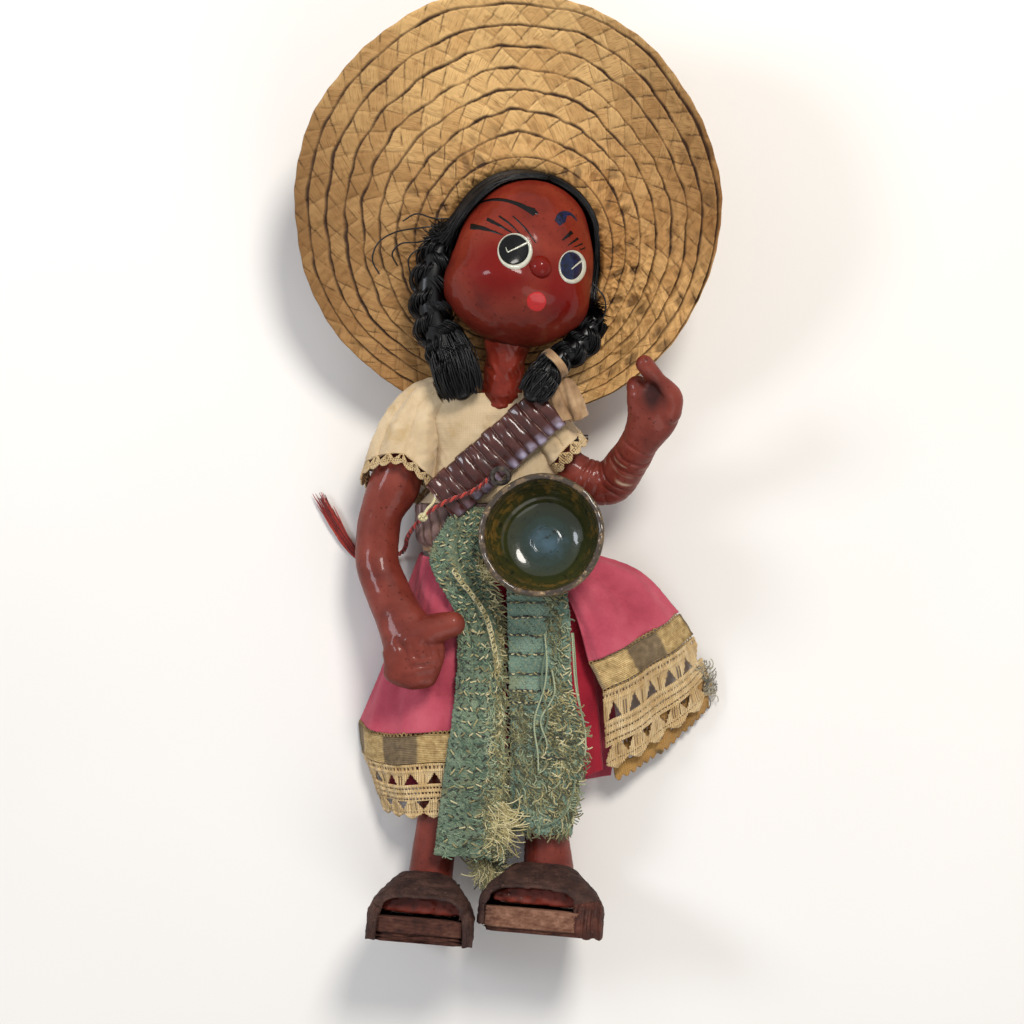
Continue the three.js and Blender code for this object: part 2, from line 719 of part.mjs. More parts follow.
for (const [side, leg] of Object.entries(LEGS)) {
  const stops = legStops(leg.hip, leg.ankle, leg.ankleRadius);
  const alongLeg = leg.ankle.clone().sub(leg.hip).normalize();
  const wireTop = leg.hip.clone().addScaledVector(alongLeg, leg.hip.y - trunkLow - LEG_WIRE_IN_TRUNK);
  const wireLow = leg.ankle.clone().addScaledVector(alongLeg, -LEG_WIRE_IN_FOOT);
  const wireBore = bore(wireTop, wireLow, LEG_WIRE_RADIUS);
  legWires.push(wireBore);
  legCuts.push(limb(stops, { grow: SEAT_GAP, steps: 3, ends: [LEG_END, LEG_END] }));
  add(`${side}_leg_wire`, rod(wireTop, wireLow, LEG_WIRE_RADIUS, 12), "wire");
  add(`${side}_leg`, cut(limb(stops, { steps: 5, ends: [LEG_END, LEG_END] }), wireBore), "lacquerDull");
}

add(
  "trunk",
  cut(
    trunkBody(0, 29, -49),
    neckBody(SEAT_GAP),
    pegBore,
    shoulderBore,
    ...shoulderSweeps,
    ...legWires,
    ...legCuts,
  ),
  "cotton",
);
add(
  "blouse_body",
  cut(
    trunkBody(SEAT_GAP + BLOUSE_WALL, 28, BLOUSE_LOW),
    trunkBody(SEAT_GAP, 29.9, BLOUSE_LOW - 1),
    neckBody(2 * SEAT_GAP),
    shoulderBore,
    new THREE.BoxGeometry(100, 100, 10).translate(0, 0, -5),
    ...shoulderSweeps,
  ),
  "cotton",
);

// Feet: each stands on its sole, toes towards +Z, lifted a little at the toes
function footSection(z, half, low, high, count = 14) {
  return Array.from({ length: count }, (_, i) => {
    const angle = (2 * Math.PI * i) / count;
    const [c, s] = [Math.cos(angle), Math.sin(angle)];
    const flat = s < 0 ? 0.35 : 1;
    const x = half * Math.sign(c) * Math.abs(c) ** 0.7;
    const y = low + (high - low) * (s < 0 ? 0.3 * (1 - Math.abs(s) ** flat) : 0.3 + 0.7 * s);
    return vec(x, y, z);
  });
}

// Heights above the sole and half widths along the foot, as shares of its toe width
const FOOT_SECTIONS = [
  { z: 0, half: 0.3, high: 8 },
  { z: 4, half: 0.48, high: 11 },
  { z: 14, half: 0.58, high: 13.4 },
  { z: 25, half: 0.72, high: 14 },
  { z: 36, half: 0.84, high: 11 },
  { z: 42, half: 0.82, high: 8.4 },
  { z: FOOT_LENGTH, half: 0.76, high: 6.6 },
];

function footBody(half, grow, from, to) {
  const rings = FOOT_SECTIONS.filter(({ z }) => z >= from && z <= to).map(({ z, half: share, high }) =>
    footSection(z, half * share + grow, 0.3 - grow, high + grow),
  );
  return loft(rings);
}

function soleBody(half) {
  const outline = new THREE.Shape();
  outline.moveTo(-half * 0.45, 0);
  outline.lineTo(half * 0.45, 0);
  outline.bezierCurveTo(half * 0.8, 4, half * 0.86, 24, half, 36);
  outline.bezierCurveTo(half * 1.04, 44, half * 0.98, SOLE_LENGTH, half * 0.8, SOLE_LENGTH);
  outline.lineTo(-half * 0.8, SOLE_LENGTH);
  outline.bezierCurveTo(-half * 0.98, SOLE_LENGTH, -half * 1.04, 44, -half, 36);
  outline.bezierCurveTo(-half * 0.86, 24, -half * 0.8, 4, -half * 0.45, 0);
  const sole = new THREE.ExtrudeGeometry(outline, {
    depth: SOLE_THICKNESS,
    bevelEnabled: false,
    curveSegments: 6,
  });
  return sole.rotateX(Math.PI / 2);
}

for (const [side, leg] of Object.entries(LEGS)) {
  const matrix = new THREE.Matrix4().makeRotationX(-FOOT_LIFT);
  matrix.premultiply(new THREE.Matrix4().makeRotationZ(-FOOT_TURN));
  matrix.setPosition(leg.toe.x, leg.toe.y, FOOT_HEEL_Z);
  const place = (geometry) => geometry.clone().applyMatrix4(matrix);
  const legCut = limb(legStops(leg.hip, leg.ankle, leg.ankleRadius), {
    grow: SEAT_GAP,
    steps: 3,
    ends: [LEG_END, LEG_END],
  });
  const toes = [-2, -1, 0, 1, 2].map((place) => {
    const across = place * 0.28 * leg.half;
    const tip = FOOT_LENGTH + 1.6 - 0.5 * Math.abs(place);
    const stops = [FOOT_LENGTH - 5, tip].map((z) => [vec(across, TOE_RADIUS + 0.6, z), TOE_RADIUS]);
    return limb(stops, { sides: 6, steps: 1, up: vec(0, 1, 0) });
  });
  const vamp = cut(
    footBody(leg.half, SEAT_GAP + VAMP_LEATHER, 14, 42),
    footBody(leg.half, SEAT_GAP, 4, FOOT_LENGTH),
    new THREE.BoxGeometry(90, 40, 90).translate(0, -20 + SEAT_GAP, 0),
  );
  const heelBand = new THREE.BoxGeometry(90, HEEL_STRAP_WIDTH, HEEL_STRAP_REACH + 2)
    .translate(0, HEEL_STRAP_RISE, HEEL_STRAP_REACH / 2 - 1);
  const outerHeel = footBody(leg.half, SEAT_GAP + STRAP_LEATHER, 0, 25).translate(0, 0, -1.4);
  const strap = geometryOf(
    solidOf(outerHeel).subtract(solidOf(footBody(leg.half, SEAT_GAP, 0, 42))).intersect(solidOf(heelBand)),
  );
  const foot = join(footBody(leg.half, 0, 0, FOOT_LENGTH), ...toes);
  add(`${side}_foot`, cut(place(foot), legCut), "lacquerDull");
  add(`${side}_sole`, place(soleBody(leg.half)), "sole");
  add(`${side}_vamp`, cut(place(vamp), legCut), "leather");
  add(`${side}_heel_strap`, cut(place(strap), legCut), "leather");
}

// Waist belt: a ribbed band round the trunk under the blouse's edge
const beltOuter = trunkBody(SEAT_GAP + BELT_LEATHER, BELT_TOP, BELT_LOW);
const beltInner = trunkBody(SEAT_GAP, BELT_TOP + 1, BELT_LOW - 1);
add("waist_belt", cut(beltOuter, beltInner), "cartridge");

// Bandolier: one strap with a row of half-round cartridges across it
function bandolier() {
  const run = BANDOLIER_HIGH.clone().sub(BANDOLIER_LOW);
  const count = Math.floor(run.length() / CARTRIDGE_PITCH);
  const outline = new THREE.Shape();
  outline.moveTo(0, 0);
  outline.lineTo(count * CARTRIDGE_PITCH, 0);
  outline.lineTo(count * CARTRIDGE_PITCH, STRAP_LEATHER);
  for (let i = count; i > 0; i--) {
    const middle = (i - 0.5) * CARTRIDGE_PITCH;
    for (let step = 0; step <= 4; step++) {
      const angle = (Math.PI * step) / 4;
      const rise = CARTRIDGE_RADIUS * Math.sin(angle);
      outline.lineTo(middle + CARTRIDGE_RADIUS * Math.cos(angle), STRAP_LEATHER + rise);
    }
  }
  outline.lineTo(0, STRAP_LEATHER);
  const strap = new THREE.ExtrudeGeometry(outline, { depth: BANDOLIER_WIDTH, bevelEnabled: false });
  const along = run.clone().normalize();
  const across = along.clone().cross(vec(0, 0, 1)).normalize();
  const up = across.clone().cross(along);
  strap.translate(0, 0, -BANDOLIER_WIDTH / 2);
  return strap.applyMatrix4(new THREE.Matrix4().makeBasis(along, up, across).setPosition(BANDOLIER_LOW));
}
add("bandolier", bandolier(), "cartridge");

// Bowl and its ear
function bowlMatrix() {
  const turn = new THREE.Quaternion().setFromUnitVectors(vec(0, 1, 0), BOWL_MOUTH.clone().normalize());
  return new THREE.Matrix4().makeRotationFromQuaternion(turn).setPosition(BOWL_AT);
}
function bowl() {
  const inner = BOWL_RADIUS - BOWL_WALL;
  const floor = -BOWL_DEPTH + BOWL_WALL;
  const steps = 6;
  const profile = [[0, -BOWL_DEPTH], [BOWL_FOOT_RADIUS, -BOWL_DEPTH]];
  for (let i = 1; i <= steps; i++) {
    const angle = (Math.PI / 2) * (i / steps);
    const reach = (BOWL_RADIUS - BOWL_FOOT_RADIUS) * Math.sin(angle);
    profile.push([BOWL_FOOT_RADIUS + reach, -BOWL_DEPTH * Math.cos(angle)]);
  }
  for (let i = steps; i >= 0; i--) {
    const angle = (Math.PI / 2) * (i / steps);
    const reach = (inner - BOWL_FOOT_RADIUS + 1) * Math.sin(angle);
    profile.push([BOWL_FOOT_RADIUS - 1 + reach, floor * Math.cos(angle)]);
  }
  profile.push([0, floor]);
  const bowl = new THREE.LatheGeometry(profile.map(([r, y]) => new THREE.Vector2(r, y)), 24);
  return bowl.applyMatrix4(bowlMatrix());
}
add("bowl", bowl(), "clay");

const earSide = vec(-0.567, 0.823, 0);
const EAR_AT = BOWL_AT.clone()
  .addScaledVector(earSide, BOWL_RADIUS + EAR_RADIUS + EAR_WIRE - 1)
  .add(vec(0, 0, -5.6));
const ear = new THREE.TorusGeometry(EAR_RADIUS, EAR_WIRE, 6, 14);
ear.rotateX(0.5);
ear.translate(...EAR_AT.toArray());
add("bowl_ear", ear, "wire");

// Red cord and its tassel
function cordTube(route, radius, sides) {
  const curve = new THREE.CatmullRomCurve3(route);
  const section = new THREE.Shape(
    Array.from({ length: sides }, (_, i) => {
      const angle = (2 * Math.PI * i) / sides;
      return new THREE.Vector2(radius * Math.cos(angle), radius * Math.sin(angle));
    }),
  );
  const steps = Math.round(curve.getLength() / (radius * 6));
  return new THREE.ExtrudeGeometry(section, { steps, extrudePath: curve, bevelEnabled: false });
}
add("red_cord", cordTube(CORD_ROUTE, CORD_RADIUS, CORD_SIDES), "cord");
const TASSEL_HALF_WIDTHS = [1.3, 1.9, 2.6, 3.4];
const TASSEL_HALF_DEPTHS = [1.2, 1.6, 1.9, 1.9];
const tasselStops = TASSEL_ROUTE.map((point, i) => [point, TASSEL_HALF_WIDTHS[i], TASSEL_HALF_DEPTHS[i]]);
add("tassel", limb(tasselStops, { sides: 8, steps: 7, ends: [0, 0.5] }), "cord");

// Skirt. Each cloth is given by rows of points from the waist to the hem
const SKIRT_RIGHT = [
  [vec(-32.6, -33, 8), vec(-31, -34, 22), vec(-20, -35, 31), vec(-4, -35.5, 31.6)],
  [vec(-42, -58, 4), vec(-37, -58, 20), vec(-22, -57, 28.6), vec(-4, -57, 29)],
  [vec(-50, -82, 2.4), vec(-43, -84, 17), vec(-26, -84, 26.6), vec(-6, -84, 27.4)],
  [vec(-58, -100, 1.6), vec(-48, -103.5, 17), vec(-29, -102, 26.4), vec(-8, -101, 27)],
];
const HEM_RIGHT = [
  [vec(-58.1, -100.6, 1.6), vec(-48.2, -104.1, 17), vec(-29, -102.6, 26.4), vec(-8, -101.6, 27)],
  [vec(-57, -111.5, 1.6), vec(-47.6, -115, 16), vec(-29, -113.6, 25.6), vec(-8, -112.4, 26.4)],
];
const LACE_RIGHT = [
  [vec(-57, -112.1, 1.6), vec(-47.6, -115.6, 16), vec(-29, -114.2, 25.6), vec(-8, -113, 26.4)],
  [vec(-49, -133, 1.6), vec(-43.4, -136, 14.6), vec(-29, -135.4, 26), vec(-10, -133, 26)],
];
const SKIRT_LEFT = [
  [vec(17, -36, 27.6), vec(23.4, -35, 24.6), vec(28, -33, 16.4)],
  [vec(26.6, -56, 29.4), vec(40, -48, 27), vec(52, -40, 17)],
  [vec(32, -75, 27.6), vec(51, -66, 23), vec(68, -56.4, 9)],
];
const HEM_LEFT = [
  [vec(32.2, -75.6, 27.6), vec(51.3, -66.6, 23), vec(68.4, -57, 9)],
  [vec(37.4, -86, 26), vec(56.6, -76, 19.6), vec(74, -65.5, 7)],
];
const LACE_LEFT = [
  [vec(37.7, -86.6, 26), vec(56.9, -76.6, 19.6), vec(74.3, -66.1, 7)],
  [vec(39.4, -119, 18.6), vec(62, -106, 11), vec(83.4, -89, 2.4)],
];
const UNDERSKIRT = [
  [vec(-4, -40, 28), vec(4, -40, 28.4), vec(14, -40, 28.2), vec(24, -40, 23.4)],
  [vec(-6, -84, 25.6), vec(6, -84, 27.4), vec(18, -84, 28), vec(34, -81, 19)],
  [vec(-7, -122, 25.8), vec(5, -123, 27), vec(20, -122, 27.2), vec(38, -118, 16)],
];
const SKIRT_BACK = [
  [vec(-26, -34, 2), vec(-2, -34, 2), vec(22, -34, 2)],
  [vec(-36, -56, 0.5), vec(-2, -56, 0.5), vec(32, -56, 0.5)],
  [vec(-50, -100, 0.4), vec(0, -104, 0.4), vec(44, -100, 0.4)],
  [vec(-48, -126, 0.4), vec(0, -128, 0.4), vec(42, -122, 0.4)],
];
add("skirt_right", cloth(SKIRT_RIGHT, SKIRT_CLOTH, { columns: 18, lines: 6, folds: 3, depth: 1.2 }), "pink");
const rightTrim = { columns: 18, folds: 3, depth: 1.2, deepen: false };
add("hem_ribbon_right", cloth(HEM_RIGHT, TRIM_CLOTH, { ...rightTrim, lines: 1 }), "gold");
add("hem_lace_right", cloth(LACE_RIGHT, TRIM_CLOTH, { ...rightTrim, lines: 3 }), "lace");
add("skirt_left", cloth(SKIRT_LEFT, SKIRT_CLOTH, { columns: 14, lines: 6, folds: 2, depth: 2 }), "pink");
const leftTrim = { columns: 14, folds: 2, depth: 2, deepen: false };
add("hem_ribbon_left", cloth(HEM_LEFT, TRIM_CLOTH, { ...leftTrim, lines: 1 }), "gold");
add("hem_lace_left", cloth(LACE_LEFT, TRIM_CLOTH, { ...leftTrim, lines: 3 }), "lace");
add("underskirt", cloth(UNDERSKIRT, SKIRT_CLOTH, { columns: 8, lines: 6 }), "red");
add("skirt_back", cloth(SKIRT_BACK, SKIRT_CLOTH, { columns: 6, lines: 4 }), "red");

// Rebozo: two hanging strips and the loose scrap of its fringe
const REBOZO_RIGHT = [
  [vec(-19.5, -15, 33.6), vec(-14, -15, 34.2), vec(-8, -15, 34)],
  [vec(-29, -35, 33.6), vec(-19, -35, 34.6), vec(-9, -35, 34.4)],
  [vec(-19.5, -56, 31.4), vec(-11, -56, 31.8), vec(-2, -56, 31.4)],
  [vec(-19.3, -85, 30), vec(-10, -85, 31), vec(-1.6, -85, 30.4)],
  [vec(-24, -120, 30.2), vec(-12, -120, 31), vec(-0.6, -120, 30.2)],
  [vec(-27.6, -148.6, 29.4), vec(-14, -149.4, 29.6), vec(-0.8, -149, 29)],
];
const REBOZO_LEFT = [
  [vec(0.4, -38, 33), vec(11, -38, 33.4), vec(20, -38, 32.6)],
  [vec(0.6, -52, 31.6), vec(12, -52, 32.2), vec(24, -52, 31.4)],
  [vec(1.4, -85, 30), vec(13, -85, 30.4), vec(25.6, -85, 30)],
  [vec(1.6, -106, 29.4), vec(15, -106, 30), vec(30, -106, 28)],
  [vec(1.2, -139, 27), vec(13, -141, 28), vec(25, -142, 25)],
];
const rightFall = { columns: 10, lines: 12, folds: 2, depth: 1.6 };
add("rebozo_right", cloth(REBOZO_RIGHT, REBOZO_CLOTH, rightFall), "green");
add("rebozo_left", cloth(REBOZO_LEFT, REBOZO_CLOTH, { columns: 10, lines: 9, folds: 2, depth: 1 }), "green");

const FRINGE_SCRAP = [
  [vec(-11.5, -141, 28.9), vec(-8, -141, 29), vec(-4, -141, 28.4)],
  [vec(-10.6, -154, 26), vec(-7.6, -155, 26.6), vec(-4.6, -154, 26)],
];
add("fringe_scrap", cloth(FRINGE_SCRAP, RIBBON_CLOTH, { columns: 6, lines: 4 }), "lace");

// Hair ribbon: two tails that hang from the braid's tie
const RIBBON_TAIL_OUTER = [
  [vec(19.4, 31.6, 42.6), vec(24, 33.4, 42)],
  [vec(22.6, 26.6, 41.2), vec(27.6, 27.8, 40)],
  [vec(26.8, 18.6, 39.4), vec(31, 20.4, 37)],
];
const RIBBON_TAIL_INNER = [
  [vec(18, 31.4, 42.6), vec(21, 32.4, 42.6)],
  [vec(19.4, 26.4, 43), vec(22.4, 26.8, 42)],
  [vec(23.4, 18.4, 42.4), vec(26.2, 19.2, 41.2)],
];
const ribbonTails = join(
  cloth(RIBBON_TAIL_OUTER, RIBBON_CLOTH, { columns: 3, lines: 5 }),
  cloth(RIBBON_TAIL_INNER, RIBBON_CLOTH, { columns: 3, lines: 5 }),
);
add("hair_ribbon", cut(ribbonTails, leftBraid(SEAT_GAP)), "satin");

export default doll;
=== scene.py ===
# The looks of a folk art doll that lies on its back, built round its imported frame.
# Sizes are in millimetres unless a name says otherwise, and meshes are made in metres.
import math
from functools import partial

import bmesh
import bpy
import numpy as np
from mathutils import Matrix, Vector
from mathutils.bvhtree import BVHTree


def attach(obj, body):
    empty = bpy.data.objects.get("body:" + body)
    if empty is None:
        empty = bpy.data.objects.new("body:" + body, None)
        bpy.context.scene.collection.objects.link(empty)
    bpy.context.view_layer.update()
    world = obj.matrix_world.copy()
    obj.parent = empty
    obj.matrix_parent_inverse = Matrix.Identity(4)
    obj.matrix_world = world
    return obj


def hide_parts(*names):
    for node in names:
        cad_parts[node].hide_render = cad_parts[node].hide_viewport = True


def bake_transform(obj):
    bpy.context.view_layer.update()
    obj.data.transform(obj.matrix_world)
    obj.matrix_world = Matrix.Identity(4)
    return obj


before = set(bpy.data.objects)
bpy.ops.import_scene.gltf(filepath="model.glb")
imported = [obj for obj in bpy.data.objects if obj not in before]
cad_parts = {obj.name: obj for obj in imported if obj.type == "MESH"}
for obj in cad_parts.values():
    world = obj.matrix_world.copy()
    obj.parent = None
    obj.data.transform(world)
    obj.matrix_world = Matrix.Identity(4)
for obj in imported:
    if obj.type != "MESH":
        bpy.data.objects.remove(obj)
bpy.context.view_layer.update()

MM = 0.001

# Camera: straight above the doll, as the photograph was taken
CAMERA_AT = np.array([2.4, -16.8, 819.2])
LENS = 72.0
SENSOR = 36.0
IMAGE_SIDE = 1024
PIXEL_AT_BOARD = 0.4
WORLD_STRENGTH = 0.38

# Straw hat, as the frame has it
OPENING_AT = np.array([5.0, 84.5, 34.0])
OPENING_RADIUS = 33.6
RIM_RADIUS = 80.5
RIM_AT = np.array([0.1, 99.0, 34.0])
HAT_TILT = math.radians(12)
CROWN_HEIGHT = 30.2
CROWN_TOP_RADIUS = 25.0
BRIM_DISH = 9.0
BRIM_DISH_LEFT = 6.0
BRIM_DISH_FOOT = 5.0
STRAW = 1.8
SEAT_GAP = 0.35
BRIM_ROWS = 7.3
STRAW_PITCH = 11.5
ROW_STEP = 1.05
CROWN_ROW = 6.2

# Head, as the frame has it
HEAD_AT = np.array([6.2, 78.0, 41.0])
HEAD_HALF = np.array([27.4, 32.5, 25.5])
HEAD_FULLNESS = 2.25
FACE_ACROSS = np.array([0.933, -0.245, -0.263])
FACE_UP = np.array([0.18, 0.95, -0.24])
NOSE_RADIUS = 4.4
CHEEK_SWELL = 0.035

# Red cord from the bowl's ear past the arm, and its tassel, in metres
CORD_RADIUS_M = 0.0009
CORD_ROUTE_M = [
    (-0.0066, -0.0044, 0.0482),
    (-0.009, -0.0068, 0.0454),
    (-0.014, -0.0096, 0.0416),
    (-0.022, -0.0126, 0.0402),
    (-0.0294, -0.017, 0.0374),
    (-0.0356, -0.023, 0.030),
    (-0.0384, -0.027, 0.0215),
    (-0.0394, -0.030, 0.013),
    (-0.0416, -0.033, 0.0054),
    (-0.048, -0.0356, 0.0018),
    (-0.056, -0.037, 0.0012),
]
TASSEL_ROUTE_M = [
    (-0.0569, -0.037, 0.0016),
    (-0.062, -0.031, 0.0019),
    (-0.069, -0.020, 0.0022),
    (-0.0755, -0.0085, 0.0022),
]


def unit(v):
    v = np.asarray(v, float)
    return v / np.maximum(np.linalg.norm(v, axis=-1, keepdims=True), 1e-9)


def ripple(points, size, seed):
    """A smooth random field, about -1 to 1, with features of that size."""
    waves = 7
    random = np.random.default_rng(seed)
    points = np.asarray(points, float)
    directions = unit(random.normal(size=(waves, points.shape[-1])))
    pace = 2 * np.pi / size * random.uniform(0.6, 1.4, waves)
    phase = random.uniform(0, 2 * np.pi, waves)
    return np.mean(np.sin(points @ (directions * pace[:, None]).T + phase), -1) * 1.6


def scatter(number):
    """A fixed random value from 0 to 1 for each number."""
    return np.abs(np.sin(np.asarray(number, float) * 12.9898 + 78.233) * 43758.5453) % 1


def clamp(values):
    """Values held between 0 and 1."""
    return np.clip(values, 0, 1)


def bell(away, wide):
    """1 where away is 0, fading on both sides as a bell about that wide."""
    return np.exp(-((away / wide) ** 2))


def turns(count):
    """Even angles round a full turn."""
    return 2 * np.pi * np.arange(count) / count


def run_along(line):
    """How far along a line each of its points lies."""
    return np.concatenate([[0], np.cumsum(np.linalg.norm(np.diff(line, axis=0), axis=1))])


def length_of(line):
    return np.linalg.norm(np.diff(line, axis=0), axis=1).sum()


def shares(count):
    """Even steps from 0 to 1."""
    return np.linspace(0, 1, count)


def square_to(direction, up=(0, 0, 1.0)):
    """Two directions square to one: the first level, the second as near to up as it goes."""
    across = unit(np.cross(direction, up))
    return across, np.cross(across, direction)


def sides_of(line, up=(0, 0, 1.0)):
    """Two directions across a line, at each of its points."""
    return square_to(unit(np.gradient(line, axis=0)), up)


def catmull(points, t):
    """The curve through points at each t from 0 to 1, as the frame's curves run."""
    points = np.asarray(points, float)
    t = np.asarray(t, float)
    if points.ndim == 2:
        points = np.repeat(points[:, None], len(t), 1)
    last = len(points) - 1
    place = clamp(t) * last
    index = np.minimum(place.astype(int), last - 1)
    w = (place - index)[:, None]
    each = np.arange(len(t))
    p1, p2 = points[index, each], points[index + 1, each]
    before, beyond = 2 * points[0] - points[1], 2 * points[-1] - points[-2]
    p0 = np.where((index > 0)[:, None], points[np.maximum(index - 1, 0), each], before)
    p3 = np.where((index + 2 <= last)[:, None], points[np.minimum(index + 2, last), each], beyond)
    d0, d1, d2 = (
        np.maximum(np.linalg.norm(b - a, axis=1, keepdims=True), 1e-8) ** 0.5
        for a, b in ((p0, p1), (p1, p2), (p2, p3))
    )
    m1 = ((p1 - p0) / d0 - (p2 - p0) / (d0 + d1) + (p2 - p1) / d1) * d1
    m2 = ((p2 - p1) / d1 - (p3 - p1) / (d1 + d2) + (p3 - p2) / d2) * d1
    return p1 + m1 * w + (3 * p2 - 3 * p1 - 2 * m1 - m2) * w**2 + (2 * p1 - 2 * p2 + m1 + m2) * w**3


def grid_faces(lines, columns, wrap=False):
    """The quads of a grid of points; wrap joins its last column to its first."""
    index = np.arange(lines * columns).reshape(lines, columns)
    right = np.roll(index, -1, 1) if wrap else index[:, 1:]
    left = index if wrap else index[:, :-1]
    return np.stack([left[:-1], right[:-1], right[1:], left[1:]], -1).reshape(-1, 4)


def mesh_of(points, faces, attributes=None, smooth=True):
    """A mesh from points in millimetres, faces of as many corners each, and fields of the points."""
    points, faces = np.asarray(points).reshape(-1, 3), np.asarray(faces)
    data = bpy.data.meshes.new("mesh")
    data.vertices.add(len(points))
    data.vertices.foreach_set("co", (points * MM).astype(np.float32).ravel())
    data.loops.add(faces.size)
    data.loops.foreach_set("vertex_index", faces.astype(np.int32).ravel())
    data.polygons.add(len(faces))
    data.polygons.foreach_set("loop_start", np.arange(0, faces.size, faces.shape[1], dtype=np.int32))
    data.update(calc_edges=True)
    for key, values in (attributes or {}).items():
        values = np.asarray(values, np.float32).ravel()
        kind, field = ("FLOAT", "value") if len(values) == len(points) else ("FLOAT_VECTOR", "vector")
        data.attributes.new(key, kind, "POINT").data.foreach_set(field, values)
    data.validate()
    if smooth:
        data.shade_smooth()
    return data


def piece(name, data, finish, body="torso", stands_for=()):
    """An object of the doll that rides on a body; with body None it is left unattached here."""
    made = bpy.data.objects.new(name, data)
    data.name = name
    bpy.context.scene.collection.objects.link(made)
    made.data.materials.clear()
    made.data.materials.append(finish)
    if stands_for:
        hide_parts(*stands_for)
    if body:
        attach(made, body)
    return made


def modify(made, kind, **settings):
    added = made.modifiers.new(kind.lower(), kind)
    for key, value in settings.items():
        setattr(added, key, value)


def applied(made):
    """The piece with its modifiers turned into its mesh."""
    graph = bpy.context.evaluated_depsgraph_get()
    graph.update()
    data = bpy.data.meshes.new_from_object(made.evaluated_get(graph))
    made.modifiers.clear()
    made.data = data
    return made


def thicken(made, thickness, offset=-1):
    """The sheet with its thickness in millimetres, as its mesh."""
    modify(made, "SOLIDIFY", thickness=thickness * MM, offset=offset)
    return applied(made)


def tubes(paths, radii, sides):
    """Tubes round paths of as many points each: points, quads, and their tone and grain."""
    paths = np.asarray(paths, float)
    count, steps = paths.shape[:2]
    radii = np.broadcast_to(np.asarray(radii, float), (count, steps))
    tangent = unit(np.gradient(paths, axis=1))
    guide = np.where(np.abs(tangent[..., 2:3]) > 0.92, [1.0, 0, 0], [0, 0, 1.0])
    across, out = square_to(tangent, guide)
    angle = turns(sides)
    ring = across[:, :, None] * np.cos(angle)[:, None] + out[:, :, None] * np.sin(angle)[:, None]
    points = paths[:, :, None] + ring * radii[..., None, None]
    index = np.arange(count * steps * sides).reshape(count, steps, sides)
    right = np.roll(index, -1, 2)
    quads = np.stack([index[:, :-1], right[:, :-1], right[:, 1:], index[:, 1:]], -1)
    run = np.cumsum(np.linalg.norm(np.diff(paths, axis=1, prepend=paths[:, :1]), axis=2), 1)
    tone = np.broadcast_to(scatter(np.arange(count) + 0.37)[:, None, None], (count, steps, sides))
    flat = np.stack(
        [
            np.broadcast_to(run[..., None], (count, steps, sides)),
            np.broadcast_to(angle, (count, steps, sides)),
            tone,
        ],
        -1,
    )
    return points.reshape(-1, 3), quads.reshape(-1, 4), {"tone": tone.ravel(), "flat": flat.reshape(-1, 3)}


def tube_piece(name, paths, radii, sides, finish, stands_for=()):
    return piece(name, mesh_of(*tubes(np.array(paths), radii, sides)), finish, stands_for=stands_for)


class Cloth:
    """A cloth's surface through rows of points, u across and v down, as the frame has it."""

    relief, rise = None, 0.0

    def __init__(self, rows, folds=0, depth=0.0, deepen=True):
        self.rows = [np.array(row, float) for row in rows]
        self.folds, self.depth, self.deepen = folds, depth, deepen
        t, half = shares(60), np.full(60, 0.5)
        self.size = [float(length_of(line)) for line in (self.at(t, half), self.at(half, t))]
        grid = shares(121)
        u, v = np.meshgrid(grid, grid)
        self.table = self.at(u.ravel(), v.ravel()).reshape(121, 121, 3)
        self.slopes = self.normal(u.ravel(), v.ravel()).reshape(121, 121, 3)

    def net(self, u, v):
        return catmull(np.stack([catmull(row, u) for row in self.rows]), v)

    def normal(self, u, v):
        e = 0.01
        across = self.net(np.minimum(u + e, 1), v) - self.net(np.maximum(u - e, 0), v)
        down = self.net(u, np.minimum(v + e, 1)) - self.net(u, np.maximum(v - e, 0))
        normal = unit(np.cross(down, across))
        return np.where(normal[:, 2:] < 0, -normal, normal)

    def at(self, u, v, lift=0.0):
        u, v = np.asarray(u, float).ravel(), np.asarray(v, float).ravel()
        wave = self.depth * (v if self.deepen else 1) * 0.5 * (1 - np.cos(2 * np.pi * self.folds * u))
        return self.net(u, v) + self.normal(u, v) * (wave + np.ravel(lift))[:, None]

    def quick(self, u, v):
        """The surface and its normal read from a table, for many short yarns."""
        x, y = clamp(u) * 120, clamp(v) * 120
        i, j = np.minimum(x.astype(int), 119), np.minimum(y.astype(int), 119)
        a, b = (x - i)[:, None], (y - j)[:, None]
        found = []
        for field in (self.table, self.slopes):
            upper = field[j, i] * (1 - a) + field[j, i + 1] * a
            lower = field[j + 1, i] * (1 - a) + field[j + 1, i + 1] * a
            found.append(upper * (1 - b) + lower * b)
        return found


def sheet_mesh(cloth, cell, relief, keep=None):
    """A cloth as a fine grid. relief says how far each point lifts, keep which cells stay."""
    wide, long = cloth.size
    columns, lines = max(2, round(wide / cell)), max(2, round(long / cell))
    u, v = map(np.ravel, np.meshgrid(shares(columns + 1), shares(lines + 1)))
    s, d = u * wide, v * long
    lift = relief(s, d, u, v)
    points = cloth.at(u, v, lift)
    faces = grid_faces(lines + 1, columns + 1)
    if keep is not None:
        faces = faces[keep(s[faces].mean(1), d[faces].mean(1), u[faces].mean(1), v[faces].mean(1))]
    flat = np.stack([s, d, np.zeros_like(s)], 1)
    return mesh_of(points, faces, {"flat": flat, "lift": lift})


